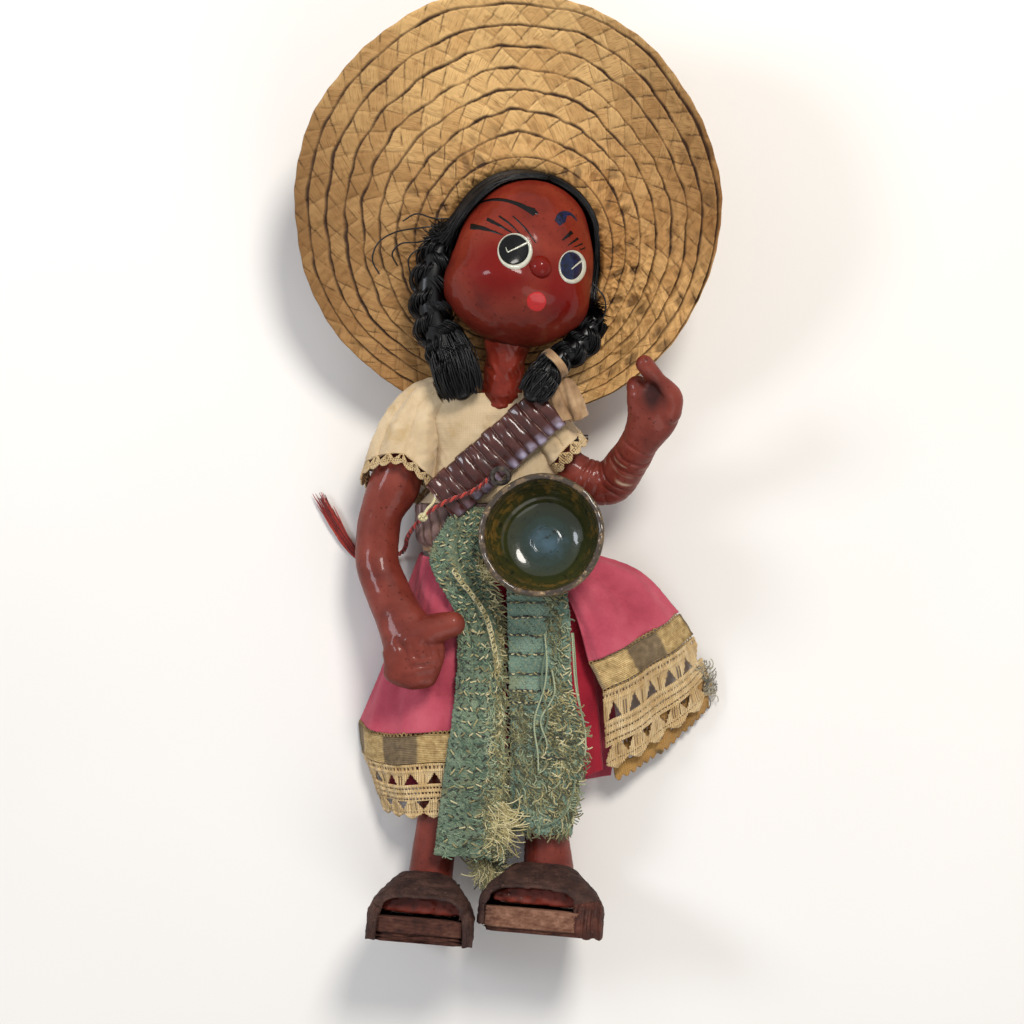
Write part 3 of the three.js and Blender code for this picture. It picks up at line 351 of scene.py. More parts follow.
def limb_rings(stops, sides, steps, ends=(1, 1)):
    """Rings of points of a limb through stops (point, half width, half depth)."""
    middles = np.array([stop[0] for stop in stops], float)
    sizes = np.array([[stop[1], stop[2] if len(stop) > 2 else stop[1], 0] for stop in stops], float)
    t = shares(steps + 1)
    tiny = 1e-4
    tangent = unit(catmull(middles, np.minimum(t + tiny, 1)) - catmull(middles, np.maximum(t - tiny, 0)))
    across, out = square_to(tangent)
    middle, size = catmull(middles, t), catmull(sizes, t)
    rows = [(middle[i], tangent[i], across[i], out[i], size[i], 1.0) for i in range(steps + 1)]
    for end, row in ((0, rows[0]), (1, rows[-1])):
        if not ends[end]:
            continue
        made = []
        for angle in np.linspace(0, np.pi / 2, 8)[1:]:
            reach = math.sin(angle) * min(row[4][0], row[4][1]) * ends[end] * (1 if end else -1)
            made.append((row[0] + row[1] * reach, *row[1:5], max(math.cos(angle), 0.02)))
        rows = rows + made if end else made[::-1] + rows
    angle = turns(sides)
    return np.array(
        [
            m + s * (z[0] * np.cos(angle)[:, None] * a + z[1] * np.sin(angle)[:, None] * o)
            for m, _, a, o, z, s in rows
        ]
    )


def closed_rings(rings):
    """Points and triangles of a closed body through rings."""
    lines, sides = rings.shape[:2]
    points = np.vstack([rings.reshape(-1, 3), rings[0].mean(0), rings[-1].mean(0)])
    quads = grid_faces(lines, sides, wrap=True)
    around = np.arange(sides)
    after = (around + 1) % sides
    first, last = lines * sides, lines * sides + 1
    low = np.stack([np.full(sides, first), after, around], 1)
    high = np.stack([np.full(sides, last), around + (lines - 1) * sides, after + (lines - 1) * sides], 1)
    return points, np.vstack([quads[:, [0, 1, 2]], quads[:, [0, 2, 3]], low, high])


def joined(bodies, voxel, smooth):
    """Closed bodies melted into one skin, as wet paper or clay is."""
    points, faces, start = [], [], 0
    for p, f in bodies:
        points.append(p)
        faces.append(np.asarray(f) + start)
        start += len(p)
    data = mesh_of(np.vstack(points), np.vstack(faces))
    holder = bpy.data.objects.new("holder", data)
    bpy.context.scene.collection.objects.link(holder)
    modify(holder, "REMESH", mode="VOXEL", voxel_size=voxel * MM)
    modify(holder, "SMOOTH", factor=0.5, iterations=smooth)
    applied(holder)
    data = holder.data
    bpy.data.objects.remove(holder)
    data.shade_smooth()
    return data


def points_of(data):
    out = np.empty(len(data.vertices) * 3, np.float32)
    data.vertices.foreach_get("co", out)
    return out.reshape(-1, 3).astype(float) / MM


def set_points(data, points):
    data.vertices.foreach_set("co", (points * MM).astype(np.float32).ravel())
    data.update()


def normals_of(data):
    out = np.empty(len(data.vertices) * 3, np.float32)
    data.vertices.foreach_get("normal", out)
    return out.reshape(-1, 3).astype(float)


def set_tone(data, key, values):
    data.attributes.new(key, "FLOAT", "POINT").data.foreach_set("value", np.asarray(values, np.float32))


def near_line(points, line):
    """How far each point lies from a line through points, and how far along it that is."""
    points, line = np.asarray(points, float), np.asarray(line, float)
    best, along = np.full(len(points), 1e9), np.zeros(len(points))
    for i, (a, b) in enumerate(zip(line[:-1], line[1:])):
        share = clamp(((points - a) @ (b - a)) / max((b - a) @ (b - a), 1e-9))
        distance = np.linalg.norm(points - (a + share[:, None] * (b - a)), axis=1)
        nearer = distance < best
        best[nearer] = distance[nearer]
        along[nearer] = (i + share[nearer]) / (len(line) - 1)
    return best, along


def at_pixel(u, v, z):
    """The point at height z that a pixel of the photograph shows."""
    scale = PIXEL_AT_BOARD * (CAMERA_AT[2] - z) / CAMERA_AT[2]
    u, v, z = np.broadcast_arrays(np.asarray(u, float), np.asarray(v, float), np.asarray(z, float))
    half = IMAGE_SIDE / 2
    return np.stack([CAMERA_AT[0] + (u - half) * scale, CAMERA_AT[1] - (v - half) * scale, z], -1)


# Materials

def rgb(colour):
    """A colour as seen, 0 to 255, as the shader takes it."""
    values = [c / 255 for c in colour]
    return (*[((c + 0.055) / 1.055) ** 2.4 if c > 0.04045 else c / 12.92 for c in values], 1.0)


class Finish:
    """A material on a Principled surface, with short calls for the nodes that it needs."""

    def __init__(self, name, **constants):
        self.material = bpy.data.materials.new(name)
        self.material.use_nodes = True
        self.tree = self.material.node_tree
        self.surface = self.tree.nodes["Principled BSDF"]
        self.place = self.add("TexCoord").outputs["Object"]
        self.normal = self.tone = None
        for key, value in constants.items():
            self.surface.inputs[key.replace("_", " ")].default_value = value

    def add(self, kind, inputs=None, **settings):
        made = self.tree.nodes.new("ShaderNode" + kind)
        for key, value in settings.items():
            setattr(made, key, value)
        for key, value in (inputs or {}).items():
            if isinstance(value, bpy.types.NodeSocket):
                self.tree.links.new(value, made.inputs[key])
            else:
                made.inputs[key].default_value = value
        return made

    def noise(self, size, detail, stretch=None):
        """Noise with features of that size in millimetres."""
        where = self.place
        if stretch:
            where = self.add("VectorMath", {0: where, 1: stretch}, operation="MULTIPLY").outputs[0]
        inputs = {"Vector": where, "Scale": 1 / (size * MM), "Detail": detail, "Roughness": 0.55}
        return self.add("TexNoise", inputs).outputs["Fac"]

    def along(self, size, stretch, detail):
        """Noise on the piece's own flat coordinates, drawn out along them."""
        flat = self.read("flat", "Vector")
        drawn = self.add("VectorMath", {0: flat, 1: stretch}, operation="MULTIPLY").outputs[0]
        return self.add("TexNoise", {"Vector": drawn, "Scale": 1 / size, "Detail": detail}).outputs["Fac"]

    def read(self, key, output="Fac"):
        return self.add("Attribute", attribute_name=key).outputs[output]

    def math(self, operation, a, b):
        return self.add("Math", {0: a, 1: b}, operation=operation).outputs[0]

    def part(self, share, amount):
        """A share of a share."""
        return self.math("MULTIPLY", share, amount)

    def rest(self, share):
        """What a share leaves of the whole."""
        return self.math("SUBTRACT", 1.0, share)

    def band(self, pitch, direction):
        """Rounded ridges a pitch apart on the piece's flat coordinates."""
        waves = 2 * math.pi / 20 / pitch
        inputs = {
            "Vector": self.read("flat", "Vector"), "Scale": waves, "Distortion": 0.6, "Detail Scale": 0.6
        }
        return self.add("TexWave", inputs, bands_direction=direction).outputs["Fac"]

    def ramp(self, value, *stops):
        made = self.add("ValToRGB", {"Fac": value})
        points = made.color_ramp.elements
        while len(points) < len(stops):
            points.new(0.5)
        for point, (place, colour) in zip(points, stops):
            point.position, point.color = place, rgb(colour)
        return made.outputs["Color"]

    def mix(self, share, a, b, blend="MIX"):
        a, b = (rgb(value) if isinstance(value, tuple) and len(value) == 3 else value for value in (a, b))
        inputs = {0: share, 6: a, 7: b}
        return self.add("Mix", inputs, data_type="RGBA", blend_type=blend).outputs[2]

    def step(self, value, low, high):
        """0 below low, 1 above high, and smooth between."""
        inputs = {"Value": value, "From Min": low, "From Max": high}
        return self.add("MapRange", inputs, interpolation_type="SMOOTHSTEP").outputs["Result"]

    def tint(self, share, colour, amount=None):
        """Lays a colour over the tone so far, by a share and at most that amount."""
        if amount is not None:
            share = self.part(share, amount)
        self.tone = self.mix(share, self.tone, colour)

    def colour(self):
        self.tree.links.new(self.tone, self.surface.inputs["Base Color"])
        return self

    def rough(self, value, low, high):
        made = self.add("MapRange", {"Value": value, "To Min": low, "To Max": high})
        self.tree.links.new(made.outputs["Result"], self.surface.inputs["Roughness"])
        return self

    def bump(self, height, depth, strength):
        """Relief of that depth in millimetres, on top of the relief so far."""
        inputs = {"Height": height, "Distance": depth * MM, "Strength": strength}
        if self.normal is not None:
            inputs["Normal"] = self.normal
        self.normal = self.add("Bump", inputs).outputs["Normal"]
        self.tree.links.new(self.normal, self.surface.inputs["Normal"])
        return self


def lacquer(name, dark, base, light, coat, rough, specular):
    """Paint under varnish: patches, brush marks, and the wear, rouge, dark patches and painted shade that its
    pieces carry.
    """
    f = Finish(name, Coat_Weight=coat, Coat_Roughness=0.09, Specular_IOR_Level=specular)
    f.tone = f.ramp(f.noise(13, 4), (0.25, dark), (0.5, base), (0.78, light))
    f.tint(f.step(f.noise(1.6, 2), 0.62, 0.72), dark)
    f.tint(f.read("rouge"), (106, 4, 2))
    # Random dark patches on the right arm and the feet; painted shade on the head and in the left palm's
    # hollow.
    f.tint(f.read("shade"), (34, 10, 8))
    f.tint(f.read("worn"), (205, 178, 150))
    f.colour().rough(f.noise(5, 3), rough, rough + 0.16)
    f.bump(f.noise(7, 2), 0.25, 0.5).bump(f.noise(1.3, 3), 0.08, 0.6)
    return f.material


def straw_finish():
    """Palm leaf: tones from strand to strand, fine grain, painted shadow where a row laps the next and in
    creases, painted shade on the brim's sides.
    """
    f = Finish("palm_straw", Roughness=0.6, Specular_IOR_Level=0.2)
    tone = f.math("ADD", f.read("tone"), f.part(f.math("SUBTRACT", f.noise(14, 4), 0.5), 0.7))
    f.tone = f.ramp(
        tone,
        (0.08, (138, 98, 56)),
        (0.35, (180, 136, 82)),
        (0.62, (206, 162, 104)),
        (0.9, (226, 184, 122)),
    )
    f.tint(f.read("warm"), (176, 124, 66), 0.6)
    f.tint(f.read("grey"), (146, 118, 80), 0.5)
    fibre = f.along(1.0, (0.13, 2.8, 1.0), 4)
    f.tint(f.step(fibre, 0.48, 0.74), (132, 90, 48), 0.75)
    f.tint(f.step(f.noise(3.2, 5), 0.56, 0.72), (146, 100, 56), 0.5)
    # Painted shade, multiplied in where the brim is darkened at its sides and near the crown.
    brim_painted_shade = f.mix(f.read("brim_painted_shade"), (1, 1, 1, 1), (0.52, 0.45, 0.38, 1))
    f.tone = f.mix(1.0, f.tone, brim_painted_shade, "MULTIPLY")
    # Painted shadow where rows lap and in creases.
    f.tint(f.read("lap_and_crease_shade"), (50, 30, 17))
    f.colour().bump(fibre, 0.22, 0.8).bump(f.noise(3.0, 4), 0.4, 0.7)
    return f.bump(f.noise(1.0, 3), 0.12, 0.5).material


def hair_finish():
    f = Finish("black_hair", Roughness=0.3, Specular_IOR_Level=0.24)
    f.tone = f.ramp(f.read("tone"), (0.1, (2, 2, 3)), (0.75, (7, 7, 8)), (1.0, (32, 31, 33)))
    return f.colour().bump(f.noise(0.5, 2), 0.05, 0.4).material


def cloth_finish(name, dark, base, light, pitch, sheen=0.25, stain=None, depth=0.12):
    """Woven cloth: threads both ways, faded and soiled patches."""
    f = Finish(name, Roughness=0.86, Sheen_Weight=sheen, Sheen_Roughness=0.5, Specular_IOR_Level=0.2)
    f.tone = f.ramp(f.noise(15, 4), (0.28, dark), (0.5, base), (0.75, light))
    threads = f.part(f.band(pitch, "X"), f.band(pitch, "Y"))
    f.tint(f.rest(threads), dark, 0.28)
    f.tint(f.noise(1.1, 4), light, 0.35)
    if stain:
        f.tint(f.step(f.noise(9, 5), 0.55, 0.75), stain)
    return f.colour().bump(threads, depth, 0.7).bump(f.noise(0.9, 3), 0.1, 0.5).material


def lace_finish():
    f = Finish("crochet_lace", Roughness=0.88, Sheen_Weight=0.2, Specular_IOR_Level=0.2)
    f.tone = f.ramp(f.noise(8, 4), (0.25, (188, 152, 98)), (0.5, (220, 190, 138)), (0.8, (238, 215, 170)))
    strand = f.band(0.75, "X")
    f.tint(f.rest(strand), (150, 112, 66), 0.5)
    f.tint(f.step(f.noise(5, 4), 0.62, 0.8), (160, 124, 76))
    return f.colour().bump(strand, 0.3, 0.9).bump(f.band(0.8, "Y"), 0.16, 0.6).material


def leather_finish(name, dark, base, light, rough):
    f = Finish(name, Specular_IOR_Level=0.2)
    f.tone = f.ramp(f.noise(6, 5), (0.25, dark), (0.5, base), (0.78, light))
    crease = f.add("TexVoronoi", {"Vector": f.place, "Scale": 1 / (1.6 * MM)}).outputs["Distance"]
    f.tint(crease, dark, 0.4)
    f.tint(f.step(f.noise(1.3, 4), 0.56, 0.72), light, 0.6)
    f.colour().rough(f.noise(3, 3), rough, rough + 0.2)
    return f.bump(crease, 0.16, 0.6).bump(f.noise(3.4, 4), 0.4, 0.7).material


def sole_finish():
    """Cut leather edge: rough and tan where worn, dark where it is old."""
    f = Finish("sole_leather", Roughness=0.9, Specular_IOR_Level=0.2)
    grain = f.noise(2.2, 6, stretch=(0.6, 1.0, 0.6))
    f.tone = f.ramp(grain, (0.32, (96, 62, 48)), (0.5, (122, 86, 68)), (0.68, (146, 108, 88)))
    f.tint(f.step(f.noise(0.9, 4), 0.5, 0.7), (92, 56, 42), 0.5)
    dark = f.ramp(grain, (0.3, (38, 22, 20)), (0.55, (72, 42, 34)), (0.8, (94, 62, 50)))
    f.tint(f.read("shade"), dark)
    return f.colour().bump(grain, 0.35, 0.7).bump(f.noise(0.8, 4), 0.3, 0.8).material


def weave_finish(name, dark, base, light, stain):
    """Open weave: threads both ways, dark pin holes, cream and olive flecks."""
    f = Finish(name, Roughness=0.88, Sheen_Weight=0.08, Specular_IOR_Level=0.15)
    f.tone = f.ramp(f.noise(9, 5), (0.3, dark), (0.5, base), (0.72, light))
    threads = f.part(f.band(0.85, "X"), f.band(0.85, "Y"))
    f.tint(f.rest(threads), dark, 0.4)
    f.tint(f.step(f.noise(7, 5), 0.5, 0.7), stain, 0.6)
    f.tint(f.step(f.noise(1.2, 4), 0.54, 0.66), (158, 156, 118), 0.4)
    f.tint(f.step(f.noise(1.6, 4), 0.6, 0.68), (44, 52, 42), 0.6)
    return f.colour().bump(threads, 0.32, 0.8).bump(f.noise(1.3, 3), 0.25, 0.7).material


def cartridge_finish():
    """Varnished leather ribs with pale lines between and painted silvery highlights at their ends."""
    f = Finish("cartridge_leather", Coat_Weight=0.45, Coat_Roughness=0.12, Specular_IOR_Level=0.12)
    f.tone = f.ramp(f.noise(5, 4), (0.25, (44, 18, 16)), (0.55, (68, 33, 29)), (0.85, (94, 52, 44)))
    f.tint(f.read("line"), (196, 160, 140))
    f.tint(f.read("glint"), (176, 168, 192), 0.85)
    return f.colour().rough(f.noise(2, 3), 0.2, 0.4).bump(f.noise(1.2, 3), 0.12, 0.5).material


def glaze_finish():
    """Glazed clay: brown rim flecked with painted highlights, olive wall and a teal pool at the bottom."""
    f = Finish("olive_glaze", Coat_Weight=0.5, Coat_Roughness=0.05, Specular_IOR_Level=0.1)
    deep = f.math("ADD", f.read("deep"), f.part(f.math("SUBTRACT", f.noise(5, 5), 0.5), 0.26))
    f.tone = f.ramp(
        deep,
        (0.03, (92, 74, 44)),
        (0.14, (60, 54, 24)),
        (0.34, (48, 50, 22)),
        (0.6, (32, 44, 30)),
        (0.84, (34, 50, 44)),
        (0.99, (62, 86, 98)),
    )
    patch = f.part(f.step(f.noise(4.5, 5), 0.5, 0.62), f.step(f.read("deep"), 0.42, 0.16))
    f.tint(patch, (112, 84, 34), 0.7)
    f.tint(f.step(f.noise(2.6, 5), 0.56, 0.7), (24, 28, 18), 0.8)
    rim = f.mix(f.step(f.noise(3.2, 5), 0.46, 0.62), (62, 52, 44), (112, 92, 70))
    # Painted highlights: pale flecks on the rim.
    rim = f.mix(f.step(f.noise(1.6, 4), 0.6, 0.72), rim, (168, 142, 106))
    f.tint(f.read("rim"), rim)
    return f.colour().rough(f.noise(4, 3), 0.14, 0.36).bump(f.noise(3.5, 4), 0.35, 0.6).material


def yarn_finish(name, dark, base, light):
    f = Finish(name, Roughness=0.8, Sheen_Weight=0.4, Specular_IOR_Level=0.25)
    f.tone = f.ramp(f.read("tone"), (0.1, dark), (0.5, base), (0.9, light))
    twist = f.band(0.8, "X")
    f.tint(f.rest(twist), dark, 0.35)
    return f.colour().bump(twist, 0.12, 0.8).material


def satin_finish():
    f = Finish("beige_satin", Roughness=0.42, Sheen_Weight=0.2, Specular_IOR_Level=0.3, Anisotropic=0.4)
    f.tone = f.ramp(f.noise(6, 3), (0.25, (112, 84, 56)), (0.5, (158, 124, 88)), (0.8, (196, 164, 124)))
    return f.colour().bump(f.band(0.5, "Y"), 0.08, 0.5).bump(f.noise(4, 3), 0.3, 0.4).material


def wire_finish():
    f = Finish("dark_wire", Metallic=0.9, Specular_IOR_Level=0.5)
    f.tone = f.ramp(f.noise(2.2, 4), (0.3, (40, 36, 34)), (0.55, (74, 68, 64)), (0.8, (104, 84, 66)))
    return f.colour().rough(f.noise(1.5, 3), 0.35, 0.6).bump(f.noise(0.8, 3), 0.08, 0.5).material


def wood_finish():
    f = Finish("pine_peg", Roughness=0.65, Specular_IOR_Level=0.3)
    grain = f.noise(1.0, 4, stretch=(1.4, 0.12, 1.4))
    f.tone = f.ramp(grain, (0.3, (150, 110, 66)), (0.55, (184, 144, 96)), (0.8, (204, 168, 120)))
    return f.colour().bump(grain, 0.15, 0.6).material


def ribbon_finish():
    """Metal-thread ribbon: gold squares and brown-grey ones in turn, close ribs across."""
    f = Finish("antique_gold_ribbon", Roughness=0.5, Metallic=0.25, Specular_IOR_Level=0.5)
    rib = f.band(0.7, "Y")
    f.tone = f.ramp(f.noise(2.0, 4), (0.3, (146, 116, 66)), (0.55, (190, 160, 104)), (0.8, (222, 196, 140)))
    brown = f.ramp(f.noise(2.0, 4), (0.3, (84, 68, 46)), (0.6, (118, 98, 68)), (0.85, (140, 120, 88)))
    f.tint(f.read("square"), brown)
    f.tint(f.rest(rib), (92, 72, 44), 0.35)
    return f.colour().bump(rib, 0.18, 0.8).bump(f.noise(0.8, 3), 0.14, 0.5).material


def paint_finish(name, base, other, coat=0.5, specular=0.15):
    f = Finish(name, Coat_Weight=coat, Coat_Roughness=0.1, Specular_IOR_Level=specular)
    f.tone = f.ramp(f.noise(1.6, 4), (0.35, base), (0.75, other))
    return f.colour().rough(f.noise(2, 3), 0.2, 0.4).bump(f.noise(0.9, 3), 0.06, 0.5).material


def belt_finish():
    """Greyed leather tabs with tan edges."""
    f = Finish("belt_leather", Coat_Weight=0.2, Coat_Roughness=0.3, Specular_IOR_Level=0.4)
    f.tone = f.ramp(f.noise(5, 4), (0.25, (78, 56, 52)), (0.55, (112, 84, 78)), (0.85, (136, 108, 98)))
    f.tint(f.step(f.noise(2.4, 4), 0.55, 0.7), (84, 58, 54))
    f.tint(f.read("line"), (178, 146, 108))
    return f.colour().rough(f.noise(2, 3), 0.4, 0.65).bump(f.noise(1.4, 4), 0.25, 0.7).material


FACE = lacquer("face_lacquer", (92, 28, 18), (118, 39, 26), (132, 50, 34), 0.26, 0.34, 0.04)
LIMB = lacquer("limb_lacquer", (82, 28, 20), (114, 47, 36), (134, 62, 50), 0.2, 0.42, 0.12)
STRAW_LOOK = straw_finish()
HAIR = hair_finish()
COTTON = cloth_finish(
    "cream_cotton", (176, 150, 114), (206, 181, 143), (226, 205, 170), 0.62, stain=(186, 158, 114)
)
STUFFING = cloth_finish("body_cotton", (180, 160, 124), (206, 188, 152), (222, 208, 176), 0.8)
PINK = cloth_finish("pink_cotton", (154, 50, 68), (184, 74, 92), (200, 98, 112), 0.5, sheen=0.1)
RED = cloth_finish("red_cotton", (112, 12, 30), (150, 22, 42), (172, 38, 56), 0.5, sheen=0.1)
GREEN = weave_finish("sage_weave", (84, 98, 82), (116, 134, 112), (146, 162, 136), (126, 122, 86))
LACE = lace_finish()
SANDAL = leather_finish("sandal_leather", (30, 18, 16), (56, 36, 31), (92, 64, 54), 0.6)
SANDAL_RED = leather_finish("strap_leather", (38, 18, 13), (72, 38, 29), (108, 62, 48), 0.5)
SOLE = sole_finish()
CARTRIDGE = cartridge_finish()
GLAZE = glaze_finish()
RED_YARN = yarn_finish("red_cord", (98, 18, 14), (158, 38, 28), (188, 60, 44))
CREAM_YARN = yarn_finish("cream_yarn", (138, 126, 80), (186, 174, 124), (214, 202, 158))
OLIVE_YARN = yarn_finish("olive_yarn", (62, 62, 36), (106, 104, 68), (150, 144, 100))
GREEN_YARN = yarn_finish("green_yarn", (62, 84, 66), (96, 122, 96), (136, 156, 124))
SATIN = satin_finish()
WIRE = wire_finish()
PEG = wood_finish()
GOLD = ribbon_finish()
BLACK_PAINT = paint_finish("black_paint", (6, 6, 7), (16, 16, 18), 0.25, 0.05)
WHITE_PAINT = paint_finish("white_paint", (196, 196, 180), (176, 174, 156))
RED_PAINT = paint_finish("red_paint", (172, 6, 6), (190, 14, 12))
BLUE_PAINT = paint_finish("blue_black_paint", (8, 12, 26), (18, 34, 78), 0.4, 0.08)
BELT_LOOK = belt_finish()
OLD_LACE = cloth_finish(
    "old_lace", (120, 84, 40), (172, 128, 68), (206, 164, 96), 0.9, stain=(92, 76, 50), depth=0.3
)
TEAL = weave_finish("teal_weave", (92, 112, 100), (120, 144, 126), (150, 170, 150), (124, 126, 92))
DARK_YARN = yarn_finish("dark_yarn", (24, 26, 20), (44, 46, 36), (70, 70, 54))
GREY_YARN = yarn_finish("grey_yarn", (90, 86, 74), (140, 134, 116), (176, 168, 146))
PALE_YARN = yarn_finish("pale_yarn", (98, 114, 90), (136, 148, 116), (172, 178, 142))


# Camera and stage

def make_camera():
    data = bpy.data.cameras.new("camera")
    data.lens, data.sensor_width = LENS, SENSOR
    made = bpy.data.objects.new("camera", data)
    made.location = Vector(CAMERA_AT * MM)
    bpy.context.scene.collection.objects.link(made)
    bpy.context.scene.camera = made


def make_light(name, at, aim, power, size, colour):
    data = bpy.data.lights.new(name, "AREA")
    data.shape, data.size, data.energy, data.color = "DISK", size, power, colour
    made = bpy.data.objects.new(name, data)
    made.location = at
    made.rotation_mode = "QUATERNION"
    made.rotation_quaternion = (Vector(aim) - Vector(at)).to_track_quat("-Z", "Y")
    bpy.context.scene.collection.objects.link(made)


def make_stage():
    size = 4000.0
    points = np.array([[-size, -size, 0], [size, -size, 0], [size, size, 0], [-size, size, 0]]) - [0, 0, 0.05]
    floor = bpy.data.objects.new("floor", mesh_of(points, [[0, 1, 2, 3]], smooth=False))
    bpy.context.scene.collection.objects.link(floor)
    f = Finish("pale_floor", Roughness=0.9, Specular_IOR_Level=0.1)
    f.tone = f.ramp(f.noise(300, 2), (0.3, (232, 229, 224)), (0.7, (238, 235, 231)))
    f.colour()
    floor.data.materials.append(f.material)
    world = bpy.data.worlds.new("studio")
    bpy.context.scene.world = world
    world.use_nodes = True
    tree = world.node_tree
    soft, white = tree.nodes["Background"], tree.nodes.new("ShaderNodeBackground")
    soft.inputs["Color"].default_value = (0.93, 0.95, 1.0, 1)
    soft.inputs["Strength"].default_value = WORLD_STRENGTH
    white.inputs["Color"].default_value = (0.96, 0.96, 0.96, 1)
    white.inputs["Strength"].default_value = 1.0
    path, mix = tree.nodes.new("ShaderNodeLightPath"), tree.nodes.new("ShaderNodeMixShader")
    seen = path.outputs["Is Camera Ray"]
    for ray in ("Is Glossy Ray", "Is Transmission Ray"):
        either = tree.nodes.new("ShaderNodeMath")
        either.operation = "MAXIMUM"
        tree.links.new(seen, either.inputs[0])
        tree.links.new(path.outputs[ray], either.inputs[1])
        seen = either.outputs[0]
    tree.links.new(seen, mix.inputs[0])
    tree.links.new(soft.outputs[0], mix.inputs[1])
    tree.links.new(white.outputs[0], mix.inputs[2])
    tree.links.new(mix.outputs[0], tree.nodes["World Output"].inputs["Surface"])
    view = bpy.context.scene.view_settings
    view.view_transform = "Standard"


make_camera()
make_stage()
make_light("key", (0.35, 0.75, 1.15), (0, 0, 0.02), 15.0, 0.4, (1.0, 0.955, 0.89))
make_light("window", (-0.95, 0.25, 0.8), (0, 0, 0.02), 5.4, 0.35, (0.86, 0.91, 1.0))
make_light("fill", (0.5, -0.9, 0.9), (0, -0.05, 0.02), 3.6, 0.9, (1.0, 0.98, 0.95))


# Straw hat

HAT_MATRIX = np.array(Matrix.Rotation(HAT_TILT, 3, "X"))
BRIM_INNER = OPENING_RADIUS + STRAW + SEAT_GAP


def creases(points, size, seed):
    """Sharp folds of that size, from -1 in a valley to 1 on a ridge."""
    return 1 - 2.6 * np.abs(ripple(points, size, seed))


def plait(along, across, wide, pitch, lap=1.0):
    """Relief, tone, grain and painted shadow of sewn rows of plaited palm, row by row.

    along is the length along the plait, across the row number and share of its width."""
    row = np.floor(across)
    share = across - row
    y = share * wide
    shift = 2.2 * np.sin(along / 31.0 + row * 2.1)
    a = (along + 1.15 * y + shift) / pitch + row * 0.37
    b = (along - 1.15 * y + shift) / pitch + row * 0.61
    over = (np.floor(a) + np.floor(b)) % 2 < 1
    width_place = np.where(over, a % 1, b % 1)
    run = np.where(over, b, a)
    ident = np.where(over, np.floor(a) * 3.1, np.floor(b) * 7.7 + 0.5) + row * 13.3
    fold = np.minimum(run % 1, 1 - run % 1) * pitch
    edge = np.minimum(width_place, 1 - width_place) * pitch
    swell = 0.34 * clamp(fold / 2.2) ** 0.6 + 0.16 * clamp(edge / 1.6)
    swell = swell + 0.3 * (scatter(ident) - 0.5)
    tuck = clamp((share - 0.93) / 0.07) ** 2
    step = ROW_STEP * lap * (share - tuck * 0.4)
    field = np.stack([along, y, row * 17.0], -1)
    heavy = np.clip(0.95 + 0.5 * ripple(field, 16, 14), 0.6, 1.3)
    # Painted shadow: dark where a row laps the next, along the plait's folds and at the strands' edges.
    lapped = clamp(1.15 - y / (0.95 * heavy)) ** 0.6 + clamp((share - 0.955) / 0.045) * 0.6
    line = clamp(1.2 - fold / 0.7) * clamp((share - 0.3) / 0.15) * np.where(over, 1.0, 0.3)
    line = line * clamp(ripple(field, 11, 15) * 1.4 + 1.0)
    side = clamp(1 - edge / 0.5) * 0.35 * clamp(ripple(field, 9, 16) + 0.5)
    tone = 0.58 + 0.2 * (2 * scatter(ident + 0.2) - 1)
    grain = np.stack([run * pitch, width_place * pitch, ident], -1)
    return step + swell, tone, grain, clamp(lapped * heavy + line + side)


def brim_surface(around, out, lift):
    """The brim's surface: around in radians, out from 0 at the opening to 1 at the rim."""
    radius = BRIM_INNER + (RIM_RADIUS - BRIM_INNER) * out
    outward = np.maximum(out, 0)
    x = (RIM_AT[0] - OPENING_AT[0]) * outward + radius * np.cos(around)
    y = (RIM_AT[1] - OPENING_AT[1]) * outward + radius * np.sin(around)
    rise = BRIM_DISH + BRIM_DISH_LEFT * np.cos(around) - BRIM_DISH_FOOT * np.maximum(0, -np.sin(around))
    z = rise * outward**2.2 + lift
    return np.stack([x, y, z], -1) @ HAT_MATRIX.T + OPENING_AT


def brim_rows(around, out):
    """Length along the spiral and row number of a place on the brim, rows waving a little."""
    place = np.stack([np.cos(around) * 58, np.sin(around) * 58, out * 45], -1)
    wander = 0.12 * np.sin(3 * around + 0.6) + 0.08 * np.sin(5 * around + 2.1 + out * 4)
    wander = wander + 0.10 * ripple(place, 21, 12) + 0.055 * ripple(place, 7.5, 13)
    across = out * BRIM_ROWS + around / (2 * np.pi) + wander * np.sin(np.pi * clamp(out)) ** 0.5 + 2
    turn = np.floor(across) - around / (2 * np.pi)
    reach = RIM_RADIUS - BRIM_INNER
    along = 2 * np.pi * (BRIM_INNER * turn + reach * (turn**2 / 2 + turn / 2) / BRIM_ROWS)
    return along, across


def bump_round(around, middle, wide):
    """1 where around is at middle degrees, fading to 0 at wide degrees from it."""
    away = np.abs((np.degrees(around) - middle + 180) % 360 - 180)
    return clamp(1 - away / wide) ** 0.7


def opening_reach(angle):
    """How far in towards the hair the straw goes, as a share of the brim's width."""
    across, up = OPENING_AT[0] - HEAD_AT[0], OPENING_AT[1] - HEAD_AT[1]
    wide, high = HEAD_HALF[0] + 2.6, HEAD_HALF[1] + 2.6
    x, y = np.cos(angle) / wide, np.sin(angle) / high
    p, q = across / wide, up / high
    square, half, rest = x * x + y * y, x * p + y * q, p * p + q * q - 1
    radius = (-half + np.sqrt(half * half - square * rest)) / square
    return np.clip((BRIM_INNER - radius) / (RIM_RADIUS - BRIM_INNER), 0, 0.19)


